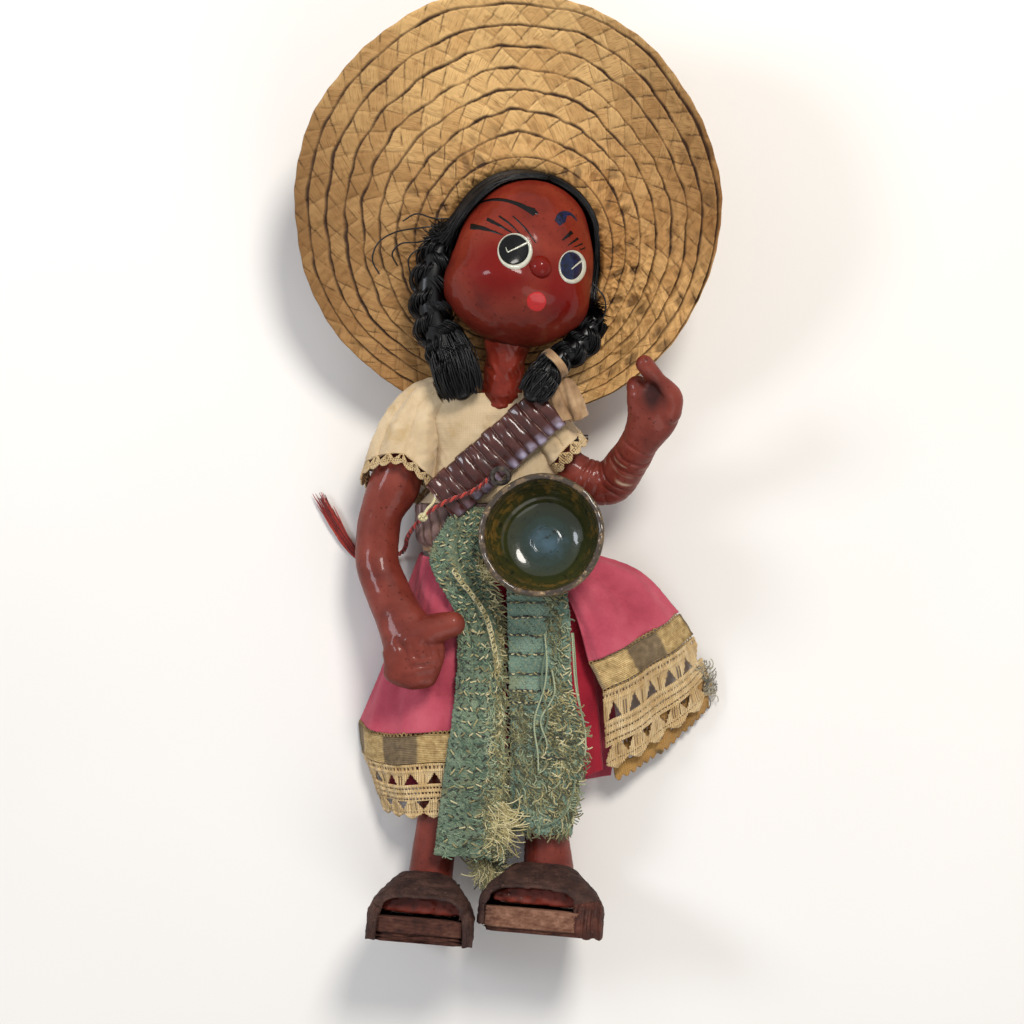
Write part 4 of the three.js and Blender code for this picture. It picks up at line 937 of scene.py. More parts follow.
def make_brim():
    around_count, top, bottom = 1240, 212, 36
    angle = turns(around_count)
    inward = opening_reach(angle)
    out = np.concatenate([shares(top), np.linspace(1, 0, bottom)])
    under = np.concatenate([np.zeros(top), np.ones(bottom)])
    around, reach = np.meshgrid(angle, out)
    reach = reach * (1 + inward) - inward
    along, across = brim_rows(around, reach)
    wide = (RIM_RADIUS - BRIM_INNER) / BRIM_ROWS * (1 + 0.2 * np.sin(around))
    relief, tone, grain, lap_and_crease_shade = plait(along, across, wide, STRAW_PITCH)
    teeth = np.abs((along / STRAW_PITCH) % 1 - 0.5) * 0.012
    rim = clamp((reach - 0.94) / 0.06)
    below = under[:, None] > 0
    fade = np.sin(np.pi / 2 * clamp((1 - reach) / 0.03 + 0.25))
    flat_place = np.stack([np.cos(around) * 58, np.sin(around) * 58, reach * 45], -1)
    row_place = np.stack([along * 0.28, (across % 1) * wide, np.floor(across) * 9.0], -1)
    near_crown = clamp(1 - reach / 0.3)
    right = bump_round(around, -8, 62)
    low_right = bump_round(around, -48, 42)
    low_left = bump_round(around, -140, 46)
    crush = clamp(0.12 + 0.8 * near_crown + 0.5 * right + 0.6 * low_right + 0.3 * low_left)
    crumple = 0.3 * ripple(flat_place, 12, 5) + crush * 0.42 * creases(flat_place, 9, 6)
    crumple = crumple + 0.16 * (0.3 + crush) * creases(flat_place, 4, 7)
    crumple = crumple + 0.5 * clamp(low_right + 0.5 * right) * creases(row_place, 5, 8)
    inside = clamp(-reach / np.maximum(inward, 0.01)) * (inward > 0.02)
    over_edge = clamp(1 - np.maximum(reach, 0) / 0.06) * (inward > 0.01)
    ledge = 1.3 * over_edge - 2.2 * clamp((inside - 0.6) / 0.4) ** 1.5
    height = np.where(below, -STRAW - 0.3 - relief * 0.5, relief - 0.35 + crumple * (1 - 0.5 * over_edge))
    thin = relief - 0.35 + crumple * 0.5 - 0.6
    height = np.where(below & (over_edge > 0), thin * over_edge + height * (1 - over_edge), height) + ledge
    height = height * np.where(reach > 0.97, fade, 1)
    edge = 1 + teeth * rim + 0.008 * np.sin(7 * around + 1) + 0.003 * np.sin(17 * around)
    points = brim_surface(around, reach * np.where(reach > 0.5, edge, 1), height)
    # Painted shade in the valleys of the creases, added to the painted lap shadow.
    valley = clamp(-creases(flat_place, 9, 6) - 0.3) * crush * 0.6
    valley = valley + clamp(-creases(row_place, 5, 8) - 0.2) * low_right * 0.3
    lap_and_crease_shade = clamp(lap_and_crease_shade * (1 - 0.35 * low_right) + valley)
    warm = clamp(0.5 * low_right + 0.45 * right + 0.45 * near_crown + 0.35 * low_left)
    grey = clamp(
        bump_round(around, 180, 60) * (0.35 + 0.65 * reach) + 0.5 * bump_round(around, 40, 40) * reach
    )
    # Painted shade: the brim darker at its sides and near the crown, less so at the lower right.
    sides = 0.95 * bump_round(around, 188, 78) * (0.45 + 0.55 * reach)
    sides = sides + 0.9 * bump_round(around, 6, 50) * reach + 0.2 * bump_round(around, -125, 40) * reach
    sides = sides + 0.3 * near_crown - 0.6 * low_right
    # Tone lifted at the top of the brim, a painted light, and at the lower right.
    tone = tone + 0.3 * bump_round(around, 100, 66) - 0.02 + 0.42 * low_right
    faces = grid_faces(top + bottom, around_count, wrap=True)
    last = (top + bottom - 1) * around_count + np.arange(around_count)
    first = np.arange(around_count)
    closing = np.stack([last, np.roll(last, -1), np.roll(first, -1), first], -1)
    values = {"tone": tone, "lap_and_crease_shade": lap_and_crease_shade, "warm": warm, "grey": grey, "brim_painted_shade": clamp(sides), "flat": grain}
    data = mesh_of(points, np.vstack([faces, closing]), values)
    piece("sombrero_brim_plait", data, STRAW_LOOK, stands_for=["sombrero_brim"])


def make_crown():
    middle = (CROWN_TOP_RADIUS + OPENING_RADIUS) / 2 + STRAW + 1.6
    outer = [
        (0, -CROWN_HEIGHT, 0),
        (CROWN_TOP_RADIUS - 4, -CROWN_HEIGHT, 0),
        (CROWN_TOP_RADIUS, -CROWN_HEIGHT + 3, 0),
        (middle, -CROWN_HEIGHT / 2, 0),
        (OPENING_RADIUS + STRAW, 0, 0),
    ]
    count, lines = 620, 150
    t = np.linspace(0.002, 1, lines)
    shape = catmull(outer, t)
    run = run_along(shape)
    normal = unit(np.gradient(shape, axis=0))[:, [1, 0, 2]] * [1, -1, 1]
    angle = turns(count)
    around, place = np.meshgrid(angle, np.arange(lines))
    across = run[place] / CROWN_ROW + around / (2 * np.pi)
    turn = np.floor(across) - around / (2 * np.pi)
    along = 2 * np.pi * CROWN_ROW * (turn + 0.5) ** 2 / 2
    relief, tone, grain, lap_and_crease_shade = plait(along, across, CROWN_ROW, STRAW_PITCH, 0.8)
    inside = shape - normal * STRAW
    ring = np.vstack([shape, inside[::-1]])
    push = np.vstack([relief - 0.3, relief[::-1] * 0])
    way = np.vstack([normal, normal[::-1]])
    radius = ring[:, None, 0] + way[:, None, 0] * push
    height = ring[:, None, 1] + way[:, None, 1] * push
    spin = np.vstack([around, around])
    points = np.stack([radius * np.cos(spin), radius * np.sin(spin), height], -1) @ HAT_MATRIX.T + OPENING_AT
    # The crown carries the plait's painted lap shadow too.
    fields = {"tone": tone, "flat": grain, "lap_and_crease_shade": lap_and_crease_shade}
    values = {key: np.vstack([field, field[::-1]]) for key, field in fields.items()}
    faces = grid_faces(lines * 2, count, wrap=True)
    data = mesh_of(points, faces, values)
    piece("sombrero_crown_plait", data, STRAW_LOOK, stands_for=["sombrero_crown"])


# Head, face and neck

FACE_FRONT = unit(np.cross(unit(FACE_ACROSS), unit(FACE_UP)))
FACE_RISE = np.cross(FACE_FRONT, unit(FACE_ACROSS))
HEAD_FRAME = np.stack([unit(FACE_ACROSS), FACE_RISE, FACE_FRONT], 1)
CHEEKS = ((-32, -26), (30, -28))


def to_head(local):
    return np.asarray(local) @ HEAD_FRAME.T + HEAD_AT


def head_angles(local):
    """How far round and how far up a place on the head is, in degrees."""
    side = np.degrees(np.arctan2(local[..., 0], local[..., 2]))
    rise = np.degrees(np.arcsin(np.clip(unit(local)[..., 1], -1, 1)))
    return side, rise


def cheek_share(local):
    side, rise = head_angles(local)
    away = [np.hypot((side - s) / 30, (rise - r) / 24) for s, r in CHEEKS]
    return clamp(1.25 - np.minimum(*away))


def make_head():
    lines, columns = 170, 300
    climb = np.linspace(0.0, np.pi, lines)
    rise = np.cos(climb)
    girth = np.maximum(1 - np.abs(rise) ** HEAD_FULLNESS, 0) ** (1 / HEAD_FULLNESS)
    girth = girth * (1 + 0.13 * bell(rise + 0.56, 0.27) - 0.05 * bell(rise - 0.5, 0.3))
    angle = turns(columns)
    x = HEAD_HALF[0] * girth[:, None] * np.sin(angle)
    z = HEAD_HALF[2] * girth[:, None] * np.cos(angle)
    y = np.broadcast_to(HEAD_HALF[1] * rise[:, None], x.shape)
    local = np.stack([x, y, z], -1)
    swell = CHEEK_SWELL * cheek_share(local) ** 2
    lump = 0.006 * ripple(local, 16, 21) + 0.0016 * ripple(local, 4, 22)
    local = local * (1 + swell + lump)[..., None]
    side, up = head_angles(local)
    rouge = clamp(cheek_share(local) * 1.5 - 0.1) * 0.85
    # Painted shade: the head darker on its underside and round its sides.
    shade = clamp((-up - 44) / 30) * 0.45 + clamp((np.abs(side) - 70) / 50) * 0.4
    values = {"rouge": rouge, "shade": shade}
    data = mesh_of(to_head(local), grid_faces(lines, columns, wrap=True), values)
    piece("head_lacquered", data, FACE, stands_for=["head"])
    return data


def surface_tree(data):
    polygons = [tuple(p.vertices) for p in data.polygons]
    return BVHTree.FromPolygons([tuple(v.co) for v in data.vertices], polygons)


def cast(tree, u, v):
    """Where pixels of the photograph fall on a surface, in millimetres, and its normals."""
    places, normals = [], []
    origin = Vector(CAMERA_AT * MM)
    for target in at_pixel(u, v, 0.0):
        hit, normal, _, _ = tree.ray_cast(origin, (Vector(target * MM) - origin).normalized())
        if hit is None:
            hit, normal, _, _ = tree.find_nearest(Vector(target * MM))
        places.append(hit)
        normals.append(normal)
    return np.array(places) / MM, np.array(normals)


def painted_patch(name, tree, u, v, lift, faces, finish):
    """A film of paint on the face over a grid of pixels of the photograph."""
    places, normals = cast(tree, np.ravel(u), np.ravel(v))
    normals = np.where((normals[:, 2] < 0)[:, None], -normals, normals)
    piece(name, mesh_of(places + normals * np.ravel(lift)[:, None], faces), finish)


def painted_disc(name, tree, centre, radii, finish, base, crown, seed, wobble=0.02):
    """A round dab of paint, thicker in the middle."""
    rings, sides = 9, 40
    share = shares(rings)[:, None]
    angle = turns(sides)
    edge = 1 + wobble * np.sin(3 * angle + seed) + wobble * np.sin(5 * angle + 2 * seed)
    u = centre[0] + radii[0] * share * np.cos(angle) * edge
    v = centre[1] + radii[1] * share * np.sin(angle) * edge
    lift = np.broadcast_to(base + crown * (1 - share**2), u.shape).copy()
    lift[-1] = -0.05
    faces = grid_faces(rings, sides, wrap=True)
    painted_patch(name, tree, u, v, lift, faces, finish)


def painted_ring(name, tree, centre, inner, outer, inner_shift):
    """A white ring, its hole moved off its middle."""
    sides = 56
    angle = turns(sides)
    share = shares(7)[:, None]
    hole = np.stack([inner[0] * np.cos(angle) + inner_shift[0], inner[1] * np.sin(angle) + inner_shift[1]])
    rim = np.stack([outer[0] * np.cos(angle), outer[1] * np.sin(angle)])
    u = centre[0] + hole[0] + (rim[0] - hole[0]) * share
    v = centre[1] + hole[1] + (rim[1] - hole[1]) * share
    height = np.broadcast_to(0.55 * np.sin(np.pi * share) ** 0.5 - 0.05, u.shape)
    faces = grid_faces(7, sides, wrap=True)
    painted_patch(name, tree, u, v, height + 0.1, faces, WHITE_PAINT)


def painted_stroke(name, tree, points, widths, finish, lift=0.2):
    """A brush stroke through pixels, as wide in pixels as widths says along it."""
    steps, cells = 26, 6
    t = shares(steps)
    line = catmull(np.array([(*p, 0) for p in points], float), t)[:, :2]
    wide = np.interp(t, np.linspace(0, 1, len(widths)), widths)
    wide = wide * (1 + 0.08 * np.sin(t * 19 + points[0][0]))
    across = unit(np.gradient(line, axis=0))[:, ::-1] * [1, -1]
    share = np.linspace(-1, 1, cells + 1)
    place = line[:, None] + across[:, None] * (share[:, None] * wide[:, None, None] / 2)
    height = np.broadcast_to(lift * (1 - share**2) ** 0.5 - 0.03, place.shape[:2])
    faces = grid_faces(steps, cells + 1)
    painted_patch(name, tree, place[..., 0], place[..., 1], height, faces, finish)


# Pixels of the photograph where the face is painted: places, radii and stroke widths
RIGHT_EYE_AT = (515.0, 251.4)
LEFT_EYE_AT = (572.2, 267.0)
MOUTH_AT = (536.6, 301.5)
BROWS_AND_LASHES = {
    "right_brow": (
        [(470.6, 208.5), (483, 201.6), (500, 199.6), (520, 205), (535, 214)], [1.6, 2.2, 3.4, 4.6, 6.5]
    ),
    "right_brow_end": ([(526, 207), (533, 210.5), (538, 214)], [3, 6, 2]),
    "left_brow": ([(557, 222.4), (562, 214), (571, 214.4), (577, 220.6)], [7, 6.5, 3.2, 1.2]),
    "left_brow_drop": ([(558, 224), (563, 220), (566, 214)], [5, 6.5, 3]),
    "right_lash_1": ([(470.5, 226.4), (480, 227.6), (492, 231), (503, 235)], [6.5, 5.0, 2.6, 1.2]),
    "right_lash_2": ([(487, 219), (498, 224.6), (512, 232.7)], [4.2, 3.2, 1.2]),
    "right_lash_3": ([(499, 216), (510, 224), (520.5, 234.4)], [2.4, 2.2, 1.2]),
    "right_lash_4": ([(512.8, 216), (525, 228), (536, 243)], [1.6, 2.0, 1.2]),
    "left_lash_1": ([(572, 232), (567, 236.4), (562, 240.4)], [4.6, 3.2, 1.2]),
    "left_lash_2": ([(578, 238.4), (573, 242), (568, 245.6)], [3.0, 2.2, 1.0]),
    "left_lash_3": ([(582.5, 243.6), (578, 245.6), (574, 247)], [2.0, 1.6, 1.0]),
    "left_lash_4": ([(585, 247.8), (582.4, 249), (580, 250)], [1.6, 1.4, 1.0]),
}


def make_face(head_data):
    tree = surface_tree(head_data)
    u, v = RIGHT_EYE_AT
    painted_disc("right_eye_black", tree, (u - 1, v - 1.2), (16.2, 16.2), BLACK_PAINT, 0.14, 0.5, 2)
    painted_ring("right_eye_ring", tree, (u, v), (14.8, 15), (17.6, 18), (-1.3, -1.5))
    painted_stroke(
        "right_eye_glint", tree, [(u - 6, v + 1), (u + 3, v - 3.4), (u + 12.6, v - 8.6)], [1.8, 2.6, 2.6],
        WHITE_PAINT, 0.86
    )
    painted_stroke(
        "right_eye_speck", tree, [(u - 9, v - 3), (u - 7, v + 1.4), (u - 4.6, v + 0.4)], [1.3, 1.8, 1.3],
        WHITE_PAINT, 0.8
    )
    u, v = LEFT_EYE_AT
    painted_disc("left_eye_black", tree, (u - 1.2, v - 0.8), (12.2, 15.2), BLUE_PAINT, 0.14, 0.5, 3)
    painted_ring("left_eye_ring", tree, (u, v), (11, 13.6), (13.8, 16.8), (-1.6, -1.2))
    painted_stroke(
        "left_eye_glint", tree, [(u - 2, v + 3), (u + 3, v - 1.6), (u + 8, v - 5.6)], [1.6, 2.2, 2.2],
        WHITE_PAINT, 0.86
    )
    painted_disc("mouth_dot", tree, MOUTH_AT, (10.2, 10.4), RED_PAINT, 0.05, 0.1, 4, 0.015)
    for name, (points, widths) in BROWS_AND_LASHES.items():
        painted_stroke(
            name, tree, points, widths, BLUE_PAINT if name.startswith("left_brow") else BLACK_PAINT
        )


def make_nose():
    b = math.radians(-17.5)
    local = np.array([0.4, (HEAD_HALF[1] + 0.4) * math.sin(b), (HEAD_HALF[2] + 1.2) * math.cos(b)])
    nose = to_head(local)
    lines, columns = 40, 56
    climb = np.linspace(0, np.pi, lines)[:, None]
    angle = turns(columns)
    ball = np.stack(
        [np.sin(climb) * np.cos(angle), np.sin(climb) * np.sin(angle), np.cos(climb) * np.ones(columns)], -1
    )
    ball = ball * NOSE_RADIUS * (1 + 0.012 * ripple(ball, 0.8, 8))[..., None]
    values = {"rouge": np.full(lines * columns, 0.75)}
    data = mesh_of(nose + ball, grid_faces(lines, columns, wrap=True), values)
    piece("nose_varnished", data, FACE, stands_for=["nose_bead"])


NECK_ROOT = np.array([-2.2, 25.5, 33.4])
NECK_TOP = np.array([1.2, 52.0, 39.0])


def make_neck():
    middle = NECK_ROOT + 0.55 * (NECK_TOP - NECK_ROOT)
    foot = NECK_ROOT + [0, -1.0, 1.0]
    stops = [
        (foot, 5.6, 5.0), (NECK_ROOT + [0.4, 3.4, 1.2], 7.6, 7.6), (middle, 7.5, 7.6), (NECK_TOP, 9.4, 9.2)
    ]
    points, faces = closed_rings(limb_rings(stops, 56, 70, (0.55, 0.2)))
    lump = 0.5 * ripple(points, 7.5, 31) + 0.3 * ripple(points, 3.2, 32)
    centre = catmull([NECK_ROOT, NECK_TOP], clamp((points[:, 1] - 25.5) / 26.5))
    data = mesh_of(points + unit(points - centre) * lump[:, None], faces)
    piece("neck_lacquered", data, FACE, stands_for=["neck"])


# Hair

HAIR_THICKNESS = 2.2
BRAID_STRANDS = 44
HAIRLINE_SLOPE = 0.42
HAIRLINE_NORMAL = np.array([0, -math.sin(HAIRLINE_SLOPE), math.cos(HAIRLINE_SLOPE)])
HAIRLINE_UP = np.array([0, math.cos(HAIRLINE_SLOPE), math.sin(HAIRLINE_SLOPE)])
RIGHT_BRAID = [
    ((-24.6, 86, 43.6), 6.6),
    ((-28, 72, 44.4), 8.2),
    ((-27.5, 57, 43.8), 8.4),
    ((-23, 45, 43.6), 8.4),
    ((-18.6, 35, 44), 7.6),
    ((-16.4, 28.4, 43.4), 6.0),
]
LEFT_BRAID = [
    ((33.5, 56, 39.6), 6.0),
    ((28.3, 47, 42), 6.4),
    ((20.6, 41, 44), 5.6),
    ((14.6, 34.6, 46.4), 6.4),
    ((9.6, 27.0, 46.2), 5.0),
]


def on_cap(offset, swing, grow):
    """Where a plane parallel to the hairline, and an angle from its top, meet the grown head."""
    half = HEAD_HALF + np.reshape(grow, (-1, 1))
    low, high = np.zeros(len(swing)), np.full(len(swing), 60.0)
    ray = HAIRLINE_UP * np.cos(swing)[:, None] + np.array([1.0, 0, 0]) * np.sin(swing)[:, None]
    start = HAIRLINE_NORMAL * offset[:, None]
    for _ in range(26):
        middle = (low + high) / 2
        p = (start + ray * middle[:, None]) / half
        inside = (p[:, 0] ** 2 + p[:, 2] ** 2) ** (HEAD_FULLNESS / 2) + np.abs(p[:, 1]) ** HEAD_FULLNESS < 1
        low, high = np.where(inside, middle, low), np.where(inside, high, middle)
    return start + ray * low[:, None]


def hairline(swing):
    """How far forward the hair comes, by the angle from the top of the head."""
    return np.interp(swing, [-2.2, -1.3, -0.4, 0.3, 0.9, 2.2], [5.0, 3.4, 2.8, 2.0, -2.0, -6.0])


def make_hair_cap():
    """A dark base under the combed strands."""
    lines, columns = 46, 150
    share = np.repeat(shares(lines), columns)
    s = np.tile(np.linspace(-2.25, 2.25, columns), lines)
    d = hairline(s) - 0.4 - share * (hairline(s) + 26.5)
    outer = to_head(on_cap(d, s, HAIR_THICKNESS * 0.55))
    inner = to_head(on_cap(d, s, 0.15))
    both = np.concatenate([outer.reshape(lines, columns, 3), inner.reshape(lines, columns, 3)[::-1]])
    data = mesh_of(both, grid_faces(lines * 2, columns))
    piece("hair_cap_base", data, HAIR, stands_for=["hair_cap"])


def make_combed_hair():
    random = np.random.default_rng(11)
    paths, radii = [], []
    steps = 22
    t = shares(steps)
    for side, braid, count in ((-1, RIGHT_BRAID, 760), (1, LEFT_BRAID, 640)):
        start, width = np.array(braid[0][0]), braid[0][1]
        for _ in range(count):
            share = random.random() ** 1.7
            end_swing = 1.75 if side < 0 else 2.1
            swing = side * (random.uniform(0.0, 0.25) + (end_swing - 0.1) * t)
            offset = hairline(swing) + 0.4 - share * (hairline(swing) + 24)
            grow = HAIR_THICKNESS - 0.5 + random.uniform(-0.8, 0.9)
            grow = grow + 0.5 * np.sin(np.pi * t) * random.random()
            wave = 0.45 * np.sin(t * random.uniform(6, 16) + random.uniform(0, 6)) * np.sin(np.pi * t)
            line = to_head(on_cap(offset + wave, swing, grow))
            jitter = random.normal(size=3) * width * 0.36
            goal = start + jitter + [0, 2, 0]
            blend = clamp((t - 0.52) / 0.48)[:, None] ** 1.6
            drawn = line * (1 - blend) + goal * blend
            paths.append(drawn)
            radii.append(0.24 * random.uniform(0.7, 1.3) * np.interp(t, [0, 0.08, 0.9, 1], [0.4, 1, 1, 0.7]))
    tube_piece("hair_combed", paths, radii, 4, HAIR)


def braid_mesh(stops, lay, seed):
    """Three locks plaited round a line, a turn in each lay, of many strands that end in a tuft."""
    random = np.random.default_rng(seed)
    middles = np.array([s[0] for s in stops], float)
    widths = np.array([[s[1], 0, 0] for s in stops], float)
    steps = 120
    t = shares(steps)
    middle, width = catmull(middles, t), catmull(widths, t)[:, 0]
    across, out = sides_of(middle)
    run = run_along(middle)
    turn = 2 * np.pi * run / lay
    loose = clamp((t - 0.84) / 0.16)
    paths, radii = [], []
    for lock in range(3):
        phase = turn + lock * 2 * np.pi / 3
        x = np.sin(phase) * width * 0.54 * (1 - loose * 0.5)
        z = np.sin(2 * phase) * width * 0.36 * (1 - loose * 0.8)
        for _ in range(BRAID_STRANDS):
            angle, reach = random.uniform(0, 2 * np.pi), random.random() ** 0.5
            twist = angle + turn * 0.35
            size = width * 0.52 * reach
            wisp = 0.26 * np.sin(run * random.uniform(0.5, 1.6) + random.uniform(0, 6))
            px = x + np.cos(twist) * size + wisp
            pz = z + np.sin(twist) * size * 0.8 + wisp * 0.5
            end = random.uniform(0.93, 1.0)
            line = middle + across * px[:, None] + out * pz[:, None]
            keep = catmull(line[::6], t[::2] * end)
            paths.append(keep)
            radii.append(np.interp(t[::2], [0, 0.9, 1], [1, 0.9, 0.35]) * random.uniform(0.24, 0.4))
    return mesh_of(*tubes(np.array(paths), radii, 4))


# Where each braid ends in a full brush of unplaited hair
BRAID_TAILS = {
    "right": [
        ((-24, 52, 43), 6.0), ((-20.6, 43, 43.6), 8.8), ((-17.8, 34, 44), 9.2), ((-15.4, 26.4, 43.4), 7.2)
    ],
    "left": [((17.6, 38.4, 45), 5.0), ((13.6, 33, 46.6), 6.6), ((9.0, 26.6, 46), 5.4)],
}


def make_tail(side, stops, seed):
    """A brush of hair in one thick mass of nearly straight strands."""
    random = np.random.default_rng(seed)
    t = shares(26)
    middle = catmull(np.array([s[0] for s in stops], float), t)
    width = catmull(np.array([[s[1], 0, 0] for s in stops], float), t)[:, 0]
    across, out = sides_of(middle)
    paths, radii = [], []
    for _ in range(230):
        angle, reach = random.uniform(0, 2 * np.pi), random.random() ** 0.4
        wave = 0.5 * np.sin(t * random.uniform(4, 9) + random.uniform(0, 6))
        x = np.cos(angle) * reach * width + wave
        z = np.sin(angle) * reach * width * 0.62 + wave * 0.5
        line = middle + across * x[:, None] + out * z[:, None]
        paths.append(catmull(line[::5], t * random.uniform(0.86, 1.0)))
        radii.append(np.interp(t, [0, 0.85, 1], [0.8, 1, 0.3]) * random.uniform(0.24, 0.4))
    tube_piece(side + "_braid_brush", paths, radii, 4, HAIR)


def make_braids():
    for side, stops, length, seed in (("right", RIGHT_BRAID, 27.0, 41), ("left", LEFT_BRAID, 21.0, 42)):
        data = braid_mesh(stops, length, seed)
        piece(side + "_braid_plait", data, HAIR, stands_for=[side + "_braid"])
        rings = limb_rings([(place, wide * 0.62, wide * 0.5) for place, wide in stops], 18, 40)
        piece(side + "_braid_core", mesh_of(*closed_rings(rings)), HAIR)
        make_tail(side, BRAID_TAILS[side], seed + 5)


def make_stray_hairs():
    """A few long hairs that stand off over the brim at the doll's right."""
    loops = [
        [(-22, 92, 44), (-31, 90.6, 46), (-42, 89, 44), (-48.6, 85, 42), (-50.6, 79, 41), (-48, 73.6, 40.6)],
        [(-23, 88, 45), (-33, 85, 46.6), (-40, 84.6, 44), (-43, 81, 42.6), (-41, 76.6, 42)],
        [(-24, 84, 46), (-32, 82.6, 47), (-36.6, 79, 45), (-36, 73, 44)],
        [(33, 70, 42), (37.6, 64, 42.4), (37, 57, 42.6), (32, 52, 43)],
        [(-20, 94, 45), (-27, 94, 46.6), (-34, 96, 44), (-39, 93.6, 42)],
    ]
    t = shares(40)
    paths = np.array([catmull(np.array(loop, float), t) for loop in loops])
    tube_piece("stray_hairs", paths, 0.34, 5, HAIR)


def make_braid_tie():
    """The beige thread knot round the left braid."""
    centre, axis = np.array([18.4, 39.0, 44.8]), unit([-0.78, -0.55, 0.29])
    across, out = square_to(axis)
    t = shares(160)
    paths = []
    for turn, shift in enumerate((-1.1, -0.35, 0.4, 1.1)):
        angle = 2 * np.pi * t + turn
        radius = 5.7 + 0.25 * np.sin(3 * angle + turn)
        paths.append(
            centre + across * (np.cos(angle) * radius)[:, None]
            + out * (np.sin(angle) * radius * 0.9)[:, None]
            + axis * (shift + 0.3 * np.sin(angle * 2))[:, None]
        )
    tube_piece("braid_tie_thread", paths, 0.62, 7, SATIN, ["left_braid_tie"])


# Arms and hands

RIGHT_UPPER = [
    ((-38, 12, 22), 8.2), ((-43.2, -5.9, 22), 10, 9.6), ((-48.6, -17.6, 21), 8.4), ((-50, -27, 20.5), 8.4)
]
RIGHT_LOWER = [
    ((-50, -27, 20.5), 8.4),
    ((-50, -37, 21.3), 8.4),
    ((-45.2, -49, 26), 8.8, 8),
    ((-40.6, -58, 32), 9.4, 7),
    ((-35.2, -69, 36.5), 12, 6.2),
    ((-36.6, -79.5, 36.6), 10.4, 4.8),
]
RIGHT_THUMB = [((-36, -66, 36.6), 6.4), ((-27.4, -61.6, 38), 6.0), ((-20.4, -59.6, 38.6), 5.0)]
LEFT_UPPER = [((20, 6, 22), 6.6), ((26.5, -1.2, 22), 7.8), ((33, -4.6, 22), 8.4), ((40, -5.5, 22), 8.7)]
LEFT_LOWER = [
    ((40, -5.5, 22), 8.7),
    ((46.5, 2, 31), 8.0),
    ((51, 10, 41), 7.4),
    ((55.6, 20.4, 49), 10.0, 7),
    ((55, 27.4, 52.5), 9.8, 6.2),
]
LEFT_FINGER = [((61, 21, 52), 5.2), ((61.5, 26, 54.5), 4.6), ((56.8, 31.4, 58), 3.6), ((51.6, 38, 60.5), 3.4)]
LEFT_PALM_EDGE = [((52.4, 23, 51.5), 5.2), ((49.6, 30, 52), 4.5)]

LEFT_ARM_CREASES = (
    (0.2, 0.7, 0.010), (0.26, 0.55, 0.008), (0.315, 0.5, 0.008), (0.4, 0.5, 0.007), (0.47, 0.5, 0.006),
    (0.52, 0.5, 0.006), (0.6, 0.45, 0.006), (0.66, 0.5, 0.007), (0.72, 0.3, 0.008),
)

# Pixels of the photograph where a hand has a groove, and how deep and wide it is
RIGHT_HAND_GROOVES = [
    ([(397, 640), (404, 652), (408, 668)], 0.9, 1.1),
    ([(408, 668), (420, 666), (436, 664)], 0.8, 1.0),
    ([(412, 646), (414, 656), (420, 660), (434, 655)], 0.7, 0.9),
    ([(424, 640), (428, 650), (431, 658)], 0.6, 0.9),
    ([(436, 640), (441, 654), (446, 662)], 0.5, 0.9),
    ([(404, 678), (420, 676), (440, 670)], 0.35, 1.2),
]


def groove(points, line, depth, width):
    distance, along = near_line(points, line)
    return -depth * bell(distance, width) * np.sin(np.pi * np.clip(along, 0.04, 0.96)) ** 0.4


def limb_body(stops, ends=(1, 1)):
    return closed_rings(limb_rings(stops, 36, 44, ends))


def make_right_arm():
    data = joined([limb_body(RIGHT_UPPER + RIGHT_LOWER[1:], (0.8, 1)), limb_body(RIGHT_THUMB)], 0.6, 7)
    points, normals = points_of(data), normals_of(data)
    lift = 0.16 * ripple(points, 13, 51) + 0.05 * ripple(points, 4, 52)
    hand = clamp((-62 - points[:, 1]) / 6) * (normals[:, 2] > 0.2)
    lift = lift + hand * 0.4 * ripple(points, 6.5, 53)
    tree = surface_tree(data)
    for pixels, depth, width in RIGHT_HAND_GROOVES:
        line, _ = cast(tree, *np.array(pixels, float).T)
        lift = lift + groove(points, line, depth, width) * (normals[:, 2] > 0)
    set_points(data, points + normals * lift[:, None])
    set_tone(data, "shade", clamp(ripple(points, 20, 54)) * 0.25)
    made = piece("right_arm_skin", data, LIMB, None, ["right_upper_arm", "right_forearm"])
    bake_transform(made)


def make_left_arm():
    bodies = [
        limb_body(LEFT_UPPER + LEFT_LOWER[1:], (0.8, 1)),
        limb_body(LEFT_FINGER),
        limb_body(LEFT_PALM_EDGE),
    ]
    data = joined(bodies, 0.55, 7)
    points, normals = points_of(data), normals_of(data)
    lift = 0.12 * ripple(points, 11, 61) + 0.05 * ripple(points, 4, 62)
    centre = np.array([s[0] for s in LEFT_UPPER + LEFT_LOWER[1:]], float)
    _, along = near_line(points, catmull(centre, shares(60)))
    turn = 0.014 * ripple(points, 12, 63)
    worn = np.zeros(len(points))
    for at, depth, width in LEFT_ARM_CREASES:
        lift = lift - depth * bell(along + turn - at, width)
    for at, width in ((0.552, 0.0055), (0.585, 0.0055), (0.63, 0.004)):
        front = clamp(normals[:, 2] * 1.6 - 0.1)
        ring = bell(along + turn - at, width)
        worn = np.maximum(worn, ring * front * clamp(0.35 + ripple(points, 5, 64)))
    palm = np.array([54.5, 27.0, 58.0])
    away = np.linalg.norm((points - palm) * [1.15, 0.75, 0.6], axis=1)
    hollow = bell(away, 4.8) * (normals[:, 2] > -0.2)
    lift = lift - 1.7 * hollow
    set_points(data, points + normals * lift[:, None])
    set_tone(data, "worn", worn)
    # Painted shade in the palm's hollow.
    set_tone(data, "shade", np.clip(hollow * 1.2, 0, 0.9))
    made = piece("left_arm_skin", data, LIMB, None, ["left_upper_arm", "left_forearm"])
    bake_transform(made)


# Blouse: a body on the trunk, two sleeves and their crochet edges

